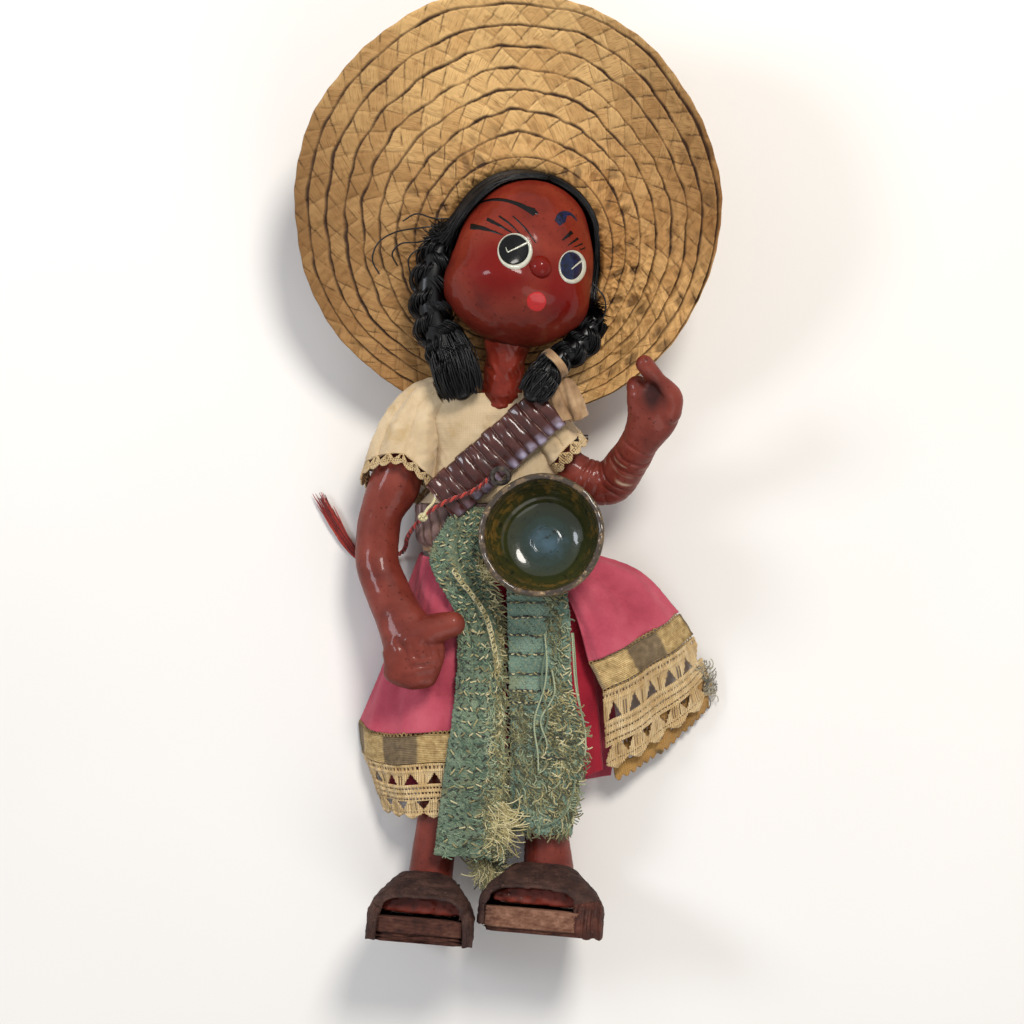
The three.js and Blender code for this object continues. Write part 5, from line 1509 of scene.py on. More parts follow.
TRUNK_SECTIONS = [
    (30, -3, 15, 29.5, 37),
    (26, -4, 20, 28.6, 37),
    (17.6, -4, 23.4, 27.4, 35.5),
    (12.4, -4, 23.4, 12, 34.8),
    (7, -4, 23.4, 1, 34.2),
    (-9, -4.4, 23.6, 1, 32.6),
    (-14, -5, 28, 3.4, 31),
    (-26, -5, 28, 3.4, 30),
    (-34, -3, 27, 3.4, 28),
    (-44, -2, 25, 3.4, 25),
    (-50, -2, 16, 7, 20),
]
TRUNK_POWER = 0.62
TRUNK_RADIUS = 20


def trunk_points(y, angle, grow):
    """The stuffed body's surface at heights y and angles round it."""
    table = np.array(TRUNK_SECTIONS[::-1], float)
    x, half, back, front = (np.interp(y, table[:, 0], table[:, k]) for k in (1, 2, 3, 4))
    shape = lambda c: np.sign(c) * np.abs(c) ** TRUNK_POWER
    depth = (front - back) / 2 + grow
    return np.stack(
        [x + (half + grow) * shape(np.cos(angle)), y, (front + back) / 2 + depth * shape(np.sin(angle))], -1
    )


def trunk_angles(columns):
    return 2 * np.pi * (np.arange(columns) + 0.5) / columns


def trunk_shell(high, low, grow, relief=None, columns=260, cell=0.6, caps=False):
    """The trunk's surface between two heights, grown outwards by a length and a relief."""
    lines = max(6, round((high - low) / cell))
    y, angle = np.meshgrid(np.linspace(high, low, lines), trunk_angles(columns), indexing="ij")
    lift = grow + (relief(y, angle) if relief is not None else 0)
    points = trunk_points(y, angle, lift)
    points[..., 2] = np.maximum(points[..., 2], 0.3)
    run = angle * TRUNK_RADIUS
    flat = np.stack([run, high - y, run * 0], -1)
    if caps:
        body, faces = closed_rings(points)
        flat = np.vstack([flat.reshape(-1, 3), [[0, 0, 0], [0, 0, 0]]])
        return mesh_of(body, faces, {"flat": flat})
    return mesh_of(points, grid_faces(lines, columns, wrap=True), {"flat": flat})


def make_blouse():
    def relief(y, angle):
        place = np.stack([np.cos(angle) * 26, y, np.sin(angle) * 18], -1)
        pull = bell(y - 14, 12) * 0.5 * np.sin(angle * 9 + y * 0.25)
        return 0.35 * ripple(place * [1, 0.6, 1], 13, 71) + 0.25 * pull + 0.12 * ripple(place, 4, 72)

    data = trunk_shell(28.6, -13.4, 1.5, relief, caps=True)
    made = piece("blouse_cloth", data, COTTON, stands_for=["blouse_body"])
    body = piece(
        "trunk_cloth", trunk_shell(-12.8, -50, 0.0, columns=120, cell=1.5, caps=True), STUFFING,
        stands_for=["trunk"]
    )


def sleeve_grid(stops, columns, lines, reach, front_pull, relief):
    """A sleeve as rings along its stops; its front edge is drawn back by front_pull."""
    middles = np.array([s[0] for s in stops], float)
    sizes = np.array([[s[1], s[2], 0] for s in stops], float)
    angle = turns(columns)
    t = shares(lines)[:, None] * reach
    length = length_of(catmull(middles, shares(300)))
    place = t * np.ones(columns) * (1 - front_pull * clamp(t) ** 2 * (0.5 + 0.5 * np.sin(angle)) ** 1.5)
    flat_place = np.clip(place.ravel(), 0, None)
    inside = np.minimum(flat_place, 1)
    over = (flat_place - inside)[:, None] * length
    e = 1e-3
    tangent = unit(catmull(middles, np.minimum(inside + e, 1)) - catmull(middles, np.maximum(inside - e, 0)))
    middle = catmull(middles, inside) + tangent * over
    size = catmull(sizes, inside)
    across, out = square_to(tangent)
    spin = np.broadcast_to(angle, (lines, columns)).ravel()
    girth = spin * size[:, :2].mean(1)
    down = flat_place * length
    lift = relief(spin, down, flat_place)
    ring = across * (np.cos(spin) * (size[:, 0] + lift))[:, None]
    ring = ring + out * (np.sin(spin) * (size[:, 1] + lift))[:, None]
    return middle + ring, np.stack([girth, down, spin * 0], -1)


RIGHT_SLEEVE = [
    ((-22.8, 28.4, 29.5), 6.4, 6.6),
    ((-29.4, 23.8, 25.8), 9.8, 11.0),
    ((-34.8, 15.0, 23.4), 12.0, 12.8),
    ((-39.2, 5.6, 22.4), 13.3, 13.2),
    ((-41.6, -2.0, 22.2), 13.9, 12.6),
]
LEFT_SLEEVE = [
    ((7, 24, 29), 8.0, 6.0),
    ((12.5, 17.5, 26.5), 9.6, 9.8),
    ((17.8, 12.2, 24.6), 9.4, 11.6),
    ((22.4, 7.8, 23.4), 8.4, 12.0),
]


# Folds of a sleeve: the angle, its drift down the sleeve, the width, and the height
SLEEVE_FOLDS = {
    "right": (
        (1.0, 0.5, 0.16, 1.2), (0.62, 0.5, 0.07, -1.1), (0.3, 0.35, 0.16, 1.3), (1.5, 0.7, 0.1, -0.8),
        (2.0, 0.6, 0.2, 0.8), (2.6, 0.3, 0.08, -0.7), (3.3, 0.2, 0.2, 0.7), (4.6, 0.2, 0.3, 0.6),
    ),
    "left": (
        (1.1, -0.4, 0.15, 0.9), (1.7, -0.4, 0.08, -0.9), (2.2, -0.3, 0.16, 0.9), (0.5, -0.3, 0.12, 0.6),
        (4.4, 0.3, 0.3, 0.6),
    ),
}
CUFF_PULL = {"right": 0.27, "left": 0.08}


def cuff_arch(side, points, lines, columns, reach):
    """The cuff hangs lower at its two sides than in the arch over the arm."""
    share = clamp(np.repeat(np.linspace(0, reach, lines), columns)) ** 3
    angle = np.tile(turns(columns), lines)
    drop = {"right": 4.0, "left": 0.6}[side] * np.abs(np.cos(angle))
    return points - np.array([0, 1.0, 0]) * (drop * share)[:, None]


def make_sleeve(side, stops, seed, columns):
    """A puffed sleeve: a ridge over the shoulder, long folds that run down to the cuff."""
    folds = SLEEVE_FOLDS[side]

    def relief(spin, down, place):
        field = np.stack([np.cos(spin) * 12, np.sin(spin) * 12, down], -1)
        total = 0.5 * ripple(field * [1, 1, 0.5], 8, seed) + 0.16 * ripple(field, 3.2, seed + 1)
        for at, slope, width, depth in folds:
            gap = (spin - at - slope * (place - 0.5) + np.pi) % (2 * np.pi) - np.pi
            ends = clamp(np.sin(np.pi * clamp(place * 0.85 + 0.12))) ** 0.6
            total = total + depth * bell(gap, width) * ends
        gather = 0.35 * np.sin(spin * 22) * bell(place - 1, 0.05)
        flare = 0.9 * bell(place - 1, 0.12)
        return total + gather + flare

    lines = 110
    points, flat = sleeve_grid(stops, columns, lines, 1.0, CUFF_PULL[side], relief)
    points = cuff_arch(side, points, lines, columns, 1.0)
    data = mesh_of(points, grid_faces(lines, columns, wrap=True), {"flat": flat})
    made = piece(side + "_sleeve_cloth", data, COTTON, None, [side + "_sleeve"])
    thicken(made, 0.9)
    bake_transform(made)
    return made


def cuff_pattern(s, d, band):
    """Where a cuff's crochet has thread: zigzag triangles, two dotted rows and deep scallops."""
    tooth = 5.4
    x = (s / tooth) % 1
    edge = band * 0.72 + band * 0.3 * np.abs(np.sin(np.pi * s / (tooth * 0.84))) ** 0.8
    rise = (d - 0.5) / (band * 0.4)
    triangle = (rise > 0) & (rise < 1) & (np.abs(x - 0.5) < (1 - rise) * 0.36 + 0.03)
    slots = (rise > 0.3) & (rise < 1.05) & (np.abs(np.abs(x - 0.5) - 0.45) < 0.035)
    dots = ((np.abs(d - band * 0.52) < 0.24) | (np.abs(d - band * 0.66) < 0.24)) & ((s % 0.95) < 0.5)
    return (d < edge) & ~triangle & ~slots & ~dots


def make_cuff(side, stops, body, seed, columns, band):
    """The crochet edge, a lattice that goes on where the sleeve ends."""
    def relief(spin, down, place):
        over = clamp((place - 1) * 3)
        return 0.7 * np.sin(spin * 6 + seed) * over + 1.1 - 1.4 * over

    lines = 190
    middles = np.array([s[0] for s in stops], float)
    length = length_of(catmull(middles, shares(300)))
    reach = 1 + (band + 1.2) / length
    points, _ = sleeve_grid(stops, columns, lines, reach, CUFF_PULL[side], relief)
    points = cuff_arch(side, points, lines, columns, reach)
    row = np.repeat(np.linspace(0, reach, lines), columns)
    down = (row - 1) * length + 0.8
    faces = grid_faces(lines, columns, wrap=True)
    girth = stops[-1][1] * 2 * np.pi
    turn = np.tile(np.arange(columns) / columns * girth, lines)
    s, d = turn[faces[:, 0]] + girth / columns / 2, down[faces].mean(1)
    keep = (d > 0) & cuff_pattern(s, d, band)
    data = mesh_of(points, faces[keep], {"flat": np.stack([turn, down, turn * 0], -1)})
    made = piece(side + "_cuff_lace", data, LACE, None, [side + "_sleeve_lace"])
    modify(made, "SOLIDIFY", thickness=0.7 * MM, offset=0)
    modify(made, "SMOOTH", factor=0.4, iterations=2)
    applied(made)
    drop_loose(made)
    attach(made, body)
    return made


def drop_loose(made):
    """Takes out points that no face uses."""
    shape = bmesh.new()
    shape.from_mesh(made.data)
    bmesh.ops.delete(shape, geom=[v for v in shape.verts if not v.link_faces], context="VERTS")
    shape.to_mesh(made.data)
    shape.free()


# Bandolier and belt

BANDOLIER_LOW = np.array([-24, -12.5, 35.6])
BANDOLIER_HIGH = np.array([16.6, 23.4, 41.0])
BANDOLIER_WIDTH = 18.0
CARTRIDGE_PITCH = 4.6
BELT_PITCH = 4.4
BELT_COLUMNS = 900


def make_bandolier():
    run = np.linalg.norm(BANDOLIER_HIGH - BANDOLIER_LOW)
    along = (BANDOLIER_HIGH - BANDOLIER_LOW) / run
    across, up = square_to(along)
    lines, columns = 420, 90
    s, w = np.meshgrid(np.linspace(-1, run + 0.8, lines), np.linspace(-1, 1, columns), indexing="ij")
    rib = s / CARTRIDGE_PITCH + 0.05 * np.sin(w * 2 + s)
    number = np.floor(rib)
    x = rib - number
    dome = np.sqrt(clamp(1 - (2 * x - 1) ** 2 * 0.96))
    wide = BANDOLIER_WIDTH / 2 * (1 + 0.035 * np.sin(number * 2.3))
    wide = wide * np.where(np.abs(w) > 0.9, 1 + 0.02 * dome, 1)
    trim = 1 - 0.4 * clamp((s - run + 5) / 6) ** 1.5 * (w < 0)
    edge = clamp((1 - np.abs(w)) / 0.07) ** 0.5
    height = 0.5 + (1.2 + 1.5 * dome) * (0.25 + 0.75 * edge)
    height = height + 0.22 * ripple(np.stack([s, w * 9, number * 7], -1), 5, 81) * edge
    bow = -1.6 * w**2
    top = (
        BANDOLIER_LOW
        + along * s[..., None]
        + across * (w * wide * trim)[..., None]
        + up * (height + bow)[..., None]
    )
    bottom = top - up * (height - 0.15)[..., None]
    points = np.concatenate([top, bottom[:, ::-1]], 1)
    strength = np.where(number % 2 == 0, 0.95, 0.5) * clamp(0.6 + 0.8 * scatter(number + 2))
    line = clamp(1 - x / 0.085) * strength * clamp(0.6 + 0.7 * ripple(np.stack([s, w * 9], -1), 6, 82))
    # Painted highlights: silvery glints on the tops of the ribs at their lower ends.
    lower = clamp((w - 0.5) / 0.3)
    glint = lower * dome**3 * clamp(0.2 + 1.3 * scatter(number + 5) * (number > 1))
    glint = glint * clamp(0.75 + 0.5 * ripple(np.stack([s, w * 9], -1), 4, 83))
    values = {key: np.concatenate([field, field * 0], 1) for key, field in (("line", line), ("glint", glint))}
    faces = grid_faces(lines, columns * 2, wrap=True)
    data = mesh_of(points, faces, values)
    piece("bandolier_ribs", data, CARTRIDGE, stands_for=["bandolier"])


def belt_tab(y, angle):
    """The share of a leather tab's width at a place on the belt."""
    return (angle * TRUNK_RADIUS / BELT_PITCH + 0.3 * np.sin(y * 0.2)) % 1


def make_belt():
    def relief(y, angle):
        dome = np.sqrt(clamp(1 - (2 * belt_tab(y, angle) - 1) ** 2))
        scallop = clamp((y + 31.4 - 1.4 * dome) / 1.2)
        rough = ripple(np.stack([angle * TRUNK_RADIUS, y, y * 0], -1), 3, 91)
        return (1.5 * dome) * (0.35 + 0.65 * scallop) + 0.15 * rough

    data = trunk_shell(-13.6, -32, 1.0, relief, columns=BELT_COLUMNS, cell=0.5)
    points = points_of(data)
    angle = np.tile(trunk_angles(BELT_COLUMNS), len(points) // BELT_COLUMNS)
    x = belt_tab(points[:, 1], angle)
    line = clamp(1 - np.minimum(x, 1 - x) / 0.08) * 0.8
    low = clamp((-29.6 - points[:, 1]) / 1.6)
    set_tone(data, "line", np.maximum(line * clamp(0.5 + ripple(points, 5, 92)), low * 0.8))
    made = piece("waist_belt_ribs", data, BELT_LOOK, stands_for=["waist_belt"])
    thicken(made, 0.9)


# Glazed bowl

BOWL_AT = np.array([13.3, -25.4, 54.0])
BOWL_MOUTH = unit([-0.12, 0.17, 0.978])
BOWL_RADIUS = 23.6
BOWL_DEPTH = 18.5
BOWL_FOOT_RADIUS = 9.0
BOWL_WALL = 2.4


def make_bowl():
    turn = np.array(Vector((0, 0, 1)).rotation_difference(Vector(BOWL_MOUTH)).to_matrix())
    arc = np.linspace(0, np.pi / 2, 60)
    floor = -BOWL_DEPTH + BOWL_WALL
    inner = BOWL_RADIUS - BOWL_WALL
    outside = np.stack(
        [BOWL_FOOT_RADIUS + (BOWL_RADIUS - BOWL_FOOT_RADIUS) * np.sin(arc), -BOWL_DEPTH * np.cos(arc)], 1
    )
    base = np.stack(
        [np.linspace(0.02, BOWL_FOOT_RADIUS, 12)[:-1], np.full(11, -BOWL_DEPTH) + np.linspace(0.9, 0, 11)], 1
    )
    lip_angle = np.linspace(0, np.pi, 12)[1:-1]
    lip = np.stack(
        [inner + BOWL_WALL / 2 + BOWL_WALL / 2 * np.cos(lip_angle), 0.9 * np.sin(lip_angle)], 1
    )
    back = arc[::-1]
    reach = BOWL_FOOT_RADIUS - 1 + (inner - BOWL_FOOT_RADIUS + 1) * np.sin(back)
    inside = np.stack([reach, floor * np.cos(back)], 1)
    middle = np.stack([np.linspace(BOWL_FOOT_RADIUS - 1, 0.02, 26)[1:], np.full(25, floor)], 1)
    ring = 0.35 * bell(middle[:, 0] - 5.4, 0.5) - 0.5 * clamp(1 - middle[:, 0] / 8)
    middle[:, 1] += ring
    profile = np.vstack([base, outside, lip, inside, middle])
    part = np.concatenate(
        [np.zeros(len(base) + len(outside)), np.ones(len(lip)), np.full(len(inside) + len(middle), 2)]
    )
    columns = 240
    angle = turns(columns)
    r, h = np.repeat(profile[:, 0], columns), np.repeat(profile[:, 1], columns)
    spin, kind = np.tile(angle, len(profile)), np.repeat(part, columns)
    field = np.stack([np.cos(spin) * r, np.sin(spin) * r, h], -1)
    wobble = 1 + 0.008 * np.sin(2 * spin + 0.7) + 0.006 * np.sin(5 * spin)
    throw = 0.12 * np.sin(h * 2.6 + spin * 0.4) * (kind == 2)
    local = np.stack([np.cos(spin) * (r * wobble + throw), np.sin(spin) * (r * wobble + throw), h], -1)
    near_lip = clamp(1 + h / 5)
    local = local + (
        0.35 * ripple(field, 9, 101) + 0.12 * ripple(field, 3, 102)
    )[:, None] * [0, 0, 1] * near_lip[:, None]
    points = local @ turn.T + BOWL_AT
    deep = np.where(kind == 2, clamp(1 - r / inner) * 0.9 + 0.1, 0.2)
    deep = np.where((kind == 2) & (r < 9.5), 0.8 + 0.2 * (1 - r / 9.5), deep * np.where(kind == 2, 1.05, 1))
    rim = clamp(1 - np.abs(r - inner - BOWL_WALL * 0.4) / (BOWL_WALL * 0.75)) * clamp(1 + h / 2.2)
    rim = np.maximum(rim * 1.5, (kind == 0) * 0.75 * clamp(1 + h / 12))
    values = {"deep": deep, "rim": clamp(rim)}
    data = mesh_of(points, grid_faces(len(profile), columns, wrap=True), values)
    piece("bowl_glazed", data, GLAZE, "bowl_body", ["bowl"])


# Red cord and tassel

def twisted(route, radius, lay):
    """Plies of yarn laid round a route."""
    plies = 2
    t = shares(420)
    middle = catmull(np.array(route, float), t)
    across, out = sides_of(middle, (0.2, 0.1, 1.0))
    run = run_along(middle)
    paths = []
    for ply in range(plies):
        angle = 2 * np.pi * (run / lay + ply / plies)
        paths.append(middle + (across * np.cos(angle)[:, None] + out * np.sin(angle)[:, None]) * radius * 0.5)
    return mesh_of(*tubes(np.array(paths), radius * 0.56, 10))


def make_cord():
    route = np.array(CORD_ROUTE_M)
    plied = twisted(route / MM, CORD_RADIUS_M / MM, 4.2)
    cord = piece("red_cord_plied", plied, RED_YARN, stands_for=["red_cord"])
    random = np.random.default_rng(17)
    tassel = np.array(TASSEL_ROUTE_M) / MM
    paths, radii = [], []
    t = shares(40)
    widths = np.interp(t, [0, 0.3, 0.7, 1], [0.9, 1.7, 2.4, 3.6])
    for _ in range(90):
        angle, reach = random.uniform(0, 2 * np.pi), random.random() ** 0.5
        end = random.uniform(0.55, 1.0)
        side = np.array([math.cos(angle), math.sin(angle) * 0.5, 0])
        middle = catmull(tassel, t * end)
        across, _ = sides_of(middle)
        wisp = 0.35 * np.sin(t * random.uniform(3, 12) + random.uniform(0, 6)) * t
        width = np.interp(t * end, t, widths)
        line = middle + across * (side[0] * reach * width + wisp)[:, None]
        line[:, 2] += side[1] * reach * np.minimum(width, 2.2) - 0.2
        line[:, 2] = np.maximum(line[:, 2], 0.4)
        paths.append(line)
        radii.append(0.24 * np.interp(t, [0, 0.9, 1], [1, 1, 0.5]))
    frayed = tube_piece("tassel_threads", paths, radii, 5, RED_YARN, ["tassel"])
    wraps = []
    for turn in range(4):
        angle = 2 * np.pi * t + turn
        centre = catmull(tassel, np.full(40, 0.02 + 0.035 * turn))
        wraps.append(
            centre + np.stack([np.cos(angle) * 0.7, np.cos(angle) * 0.7, np.sin(angle) * 1.1], -1) * 1.15
        )
    binding = tube_piece("tassel_binding", wraps, 0.36, 6, RED_YARN)
    t = shares(36)
    knot_at = np.array([-31.6, -18.8, 37.2])
    loops = []
    for turn in range(3):
        angle = 2 * np.pi * t + turn * 1.3
        loop = np.stack([np.cos(angle), np.sin(angle) * 0.9, np.sin(angle * 2 + turn) * 0.5], -1)
        loops.append(knot_at + loop * (1.0 + 0.15 * turn))
    tail = catmull(knot_at + np.array([[0, 0, 0], [1.6, 3, 0.6], [4.0, 5.6, 0.8], [5.0, 8.6, 0.2]]), t)
    tube_piece("cord_knot", loops + [tail], 0.62, 7, CREAM_YARN)


# Legs, feet and sandals

LEGS = {
    "right": {
        "hip": (-15, -56, 14), "ankle": (-30.4, -166, 16), "ankle_radius": 8.8, "toe": (-32.6, -176.2),
        "half": 20.5
    },
    "left": {
        "hip": (11, -56, 14), "ankle": (17, -163, 16), "ankle_radius": 10, "toe": (13, -172.9), "half": 24
    },
}
FOOT_LIFT = math.radians(8)
FOOT_HEEL_Z = 3.4
FOOT_LENGTH = 44.0
SOLE_THICKNESS = 9.0
SOLE_LENGTH = 50.0
UPPER_THICKNESS = 1.4
FOOT_SECTIONS = [
    (0, 0.3, 8),
    (4, 0.48, 11),
    (14, 0.58, 13.4),
    (25, 0.72, 14),
    (36, 0.84, 11),
    (42, 0.82, 8.4),
    (44, 0.76, 6.6),
]
FOOT_TURN = math.radians(5)
# The slit over the toes: its left end, its right end and its height
SLITS = {"right": (-15.4, 14.8, 7.6), "left": (-21.4, 12.6, 7.8)}
# Flat toes side by side: the middle and half the width of each
TOES = {
    "right": ((-9.4, 6.0), (4.8, 9.4)),
    "left": ((-15.2, 6.6), (-4.4, 6.0), (4.6, 4.6), (11, 3.6)),
}
SLAB_SHARE = {"right": 0.66, "left": 0.84}
SOLE_SHADE = {"right": 0.95, "left": 0.05}
# Strap ends at the front corners of the soles: the side, and how far in they reach
WRAPS = {"right": ((1, 17.5), (-1, 18.0)), "left": ((1, 12.8),)}
# Half profiles of the vamp and of its slit, from the middle outwards
VAMP_BACK = [(0, 1.02), (0.3, 1.01), (0.52, 0.95), (0.7, 0.7), (0.86, 0.4), (0.97, 0.12), (1, 0)]
VAMP_FRONT = [(0, 1.02), (0.36, 1.0), (0.62, 0.93), (0.82, 0.7), (0.94, 0.4), (1, 0.12), (1, 0)]
SLIT_PROFILE = [(0, 1.0), (0.45, 0.98), (0.75, 0.88), (0.92, 0.62), (0.99, 0.3), (1, 0.1), (1, 0)]


def foot_place(leg, points):
    turn = np.array(Matrix.Rotation(-FOOT_TURN, 3, "Z") @ Matrix.Rotation(-FOOT_LIFT, 3, "X"))
    return np.asarray(points) @ turn.T + [leg["toe"][0], leg["toe"][1], FOOT_HEEL_Z]


def foot_rings(half, z_values, grow, columns):
    angle = turns(columns)
    c, s = np.cos(angle), np.sin(angle)
    rings = []
    for z in z_values:
        share, high = (float(foot_size(z, k)) for k in (1, 2))
        x = (half * share + grow) * np.sign(c) * np.abs(c) ** 0.7
        bottom, top = 0.3 - grow, high + grow
        y = bottom + (top - bottom) * np.where(s < 0, 0.3 * (1 - np.abs(s) ** 0.35), 0.3 + 0.7 * np.abs(s))
        rings.append(np.stack([x, y, np.full(columns, float(z))], -1))
    return np.array(rings)


def foot_size(z, column):
    """A foot's share of its half width, or its height, at a distance from the heel."""
    table = np.array(FOOT_SECTIONS, float)
    return np.interp(z, table[:, 0], table[:, column])


def make_leg(side):
    leg = LEGS[side]
    hip, ankle = np.array(leg["hip"], float), np.array(leg["ankle"], float)
    stops = [
        (hip, 9.0),
        (hip + (ankle - hip) * 0.35, 8.6),
        (hip + (ankle - hip) * 0.7, 8.2),
        (ankle, leg["ankle_radius"]),
        (ankle + [0, -6, 0], leg["ankle_radius"] * 0.9),
    ]
    points, faces = closed_rings(limb_rings(stops, 48, 110, (0.3, 0.3)))
    centre = catmull([hip, ankle], clamp((hip[1] - points[:, 1]) / (hip[1] - ankle[1])))
    points = points + unit(points - centre) * (
        0.22 * ripple(points, 14, 111) + 0.07 * ripple(points, 4, 112)
    )[:, None]
    data = mesh_of(points, faces)
    piece(side + "_leg_painted", data, LIMB, stands_for=[side + "_leg"])


def make_foot(side):
    leg = LEGS[side]
    rings = foot_rings(leg["half"], np.linspace(0, FOOT_LENGTH - 3, 60), -1.2, 64)
    foot = closed_rings(foot_place(leg, rings))
    toes = []
    for across, wide in TOES[side]:
        base = (np.array([across, 4.5, FOOT_LENGTH - 12]), wide, 3.2)
        end = (np.array([across, 4.5, FOOT_LENGTH - 0.2]), wide * 0.94, 2.7)
        toes.append(closed_rings(foot_place(leg, limb_rings([base, end], 28, 14, (0, 0.45)))))
    data = joined([foot, *toes], 0.5, 3)
    points, normals = points_of(data), normals_of(data)
    set_points(data, points + normals * (0.25 * ripple(points, 4, 121))[:, None])
    set_tone(data, "shade", np.clip(ripple(points, 5, 122) * 0.6, 0, 0.5))
    piece(side + "_foot_painted", data, LIMB, stands_for=[side + "_foot"])


def sole_half(half, z):
    """Half the width of a sole at a distance from its heel."""
    return half * np.interp(z, [0, 5, 16, 28, 38, 46, 50], [0.45, 0.72, 0.8, 0.93, 1.0, 0.97, 0.8])


def make_sole(side):
    """A sole of stacked leather: a thick rough-cut slab over thin worn strips."""
    leg = LEGS[side]
    half = leg["half"] - 1.7
    z = np.concatenate(
        [np.linspace(0, SOLE_LENGTH, 90), np.full(60, SOLE_LENGTH), np.linspace(SOLE_LENGTH, 0, 90)]
    )
    across = np.linspace(1, -1, 60)
    x = np.concatenate(
        [sole_half(half, z[:90]), across * sole_half(half, SOLE_LENGTH), -sole_half(half, z[150:])]
    )
    outline = np.stack([x, z], -1)
    for _ in range(10):
        outline = (np.roll(outline, 1, 0) + outline * 2 + np.roll(outline, -1, 0)) / 4
    count = len(outline)
    seed = 131 if side == "right" else 132
    slab = SLAB_SHARE[side]
    middle = outline.mean(0)
    way = unit(outline - middle)
    rows, shades = [], []
    for share in shares(46):
        field = np.stack([outline[:, 0], np.full(count, share * 26), outline[:, 1]], -1)
        under = 1 / (1 + math.exp(-(share - slab) * 90))
        rough = 0.25 * ripple(field * [0.5, 1, 0.5], 4, seed) + 0.14 * ripple(field, 1.8, seed + 5)
        strips = under * (1.3 + 0.9 * ripple(field * [0.4, 1.6, 0.4], 4, seed + 7))
        line = 0.9 * math.exp(-(((share - slab) / 0.03) ** 2))
        place = outline + way * (rough - strips - line - 0.5 * share**8)[:, None]
        rows.append(np.stack([place[:, 0], np.full(count, -SOLE_THICKNESS * share), place[:, 1]], -1))
        shades.append(np.full(count, max(SOLE_SHADE[side], under * 0.95, line)))
    points, faces = closed_rings(foot_place(leg, np.array(rows)))
    shade = np.concatenate(shades)
    shade = np.concatenate([shade, np.full(len(points) - len(shade), SOLE_SHADE[side])])
    data = mesh_of(points, faces, {"shade": shade})
    piece(side + "_sole_layered", data, SOLE, stands_for=[side + "_sole"])


def along_profile(table, t):
    """A place on a profile given from its middle outwards, and on its mirror image."""
    table = np.array(table, float)
    place = catmull(np.column_stack([table, table[:, 0] * 0]), np.abs(t))
    return np.stack([np.sign(t) * place[:, 0], place[:, 1]], -1)


def wrinkled(points, middle, size, depth, seed):
    """Leather creased across the foot: broad soft folds with sharp lines between."""
    field = points * [0.22, 1, 1]
    fold = ripple(field, size, seed)
    sharp = np.abs(ripple(field * [1.4, 1, 1], size * 0.8, seed + 1))
    fine = ripple(points * [0.6, 1, 1], 2.2, seed + 2)
    return points + unit(points - middle) * (
        depth * (0.7 * fold - 0.9 * bell(sharp, 0.22) + 0.3 * fine)
    )[..., None]


def make_vamp(side):
    """Leather over the foot and down past the sole's sides, folded in at the toe slit."""
    leg = LEGS[side]
    half = leg["half"]
    t = np.linspace(-1, 1, 150)
    z_values = np.linspace(12.5, 44.2, 90)
    back, front = along_profile(VAMP_BACK, t), along_profile(VAMP_FRONT, t)
    rings = []
    for z in z_values:
        share = clamp((z - 22) / 18)
        profile = back * (1 - share) + front * share
        wide = min(sole_half(half, z), half * 0.7 + (z - 12.5) * 0.5) - 0.7
        high = foot_size(z, 2) + 2.0
        drop = clamp((np.abs(t) - 0.88) / 0.12)
        x = profile[:, 0] * wide
        y = profile[:, 1] * high - drop * SOLE_THICKNESS * 0.78
        rings.append(np.stack([x, y, np.full(len(t), z)], -1))
    left, right, rise = SLITS[side]
    slit = along_profile(SLIT_PROFILE, t)
    opening = np.stack(
        [(left + right) / 2 + slit[:, 0] * (right - left) / 2, 0.2 + slit[:, 1] * rise, t * 0 + 46.2], -1
    )
    last = rings[-1]
    low = last[:, 1] < 0
    opening[low] = last[low] * [0.97, 1, 1] + [0, 0, 2.6]
    for share in shares(16)[1:]:
        bulge = np.array([0, 0, 1.0]) * math.sin(math.pi * share) * 0.8
        rings.append(last * (1 - share) + opening * share + bulge)
    rings = np.array(rings)
    middle = np.array([0.0, 2.0, 0]) * np.ones_like(rings) + rings * [0, 0, 1]
    rings = wrinkled(rings, middle, 4.6, 0.42, 141 if side == "right" else 145)
    data = mesh_of(foot_place(leg, rings), grid_faces(len(rings), len(t)))
    made = piece(side + "_vamp_suede", data, SANDAL, stands_for=[side + "_vamp"])
    thicken(made, UPPER_THICKNESS, 0)
    for number, (way, inner) in enumerate(WRAPS[side]):
        make_wrap(side, number, way, inner)


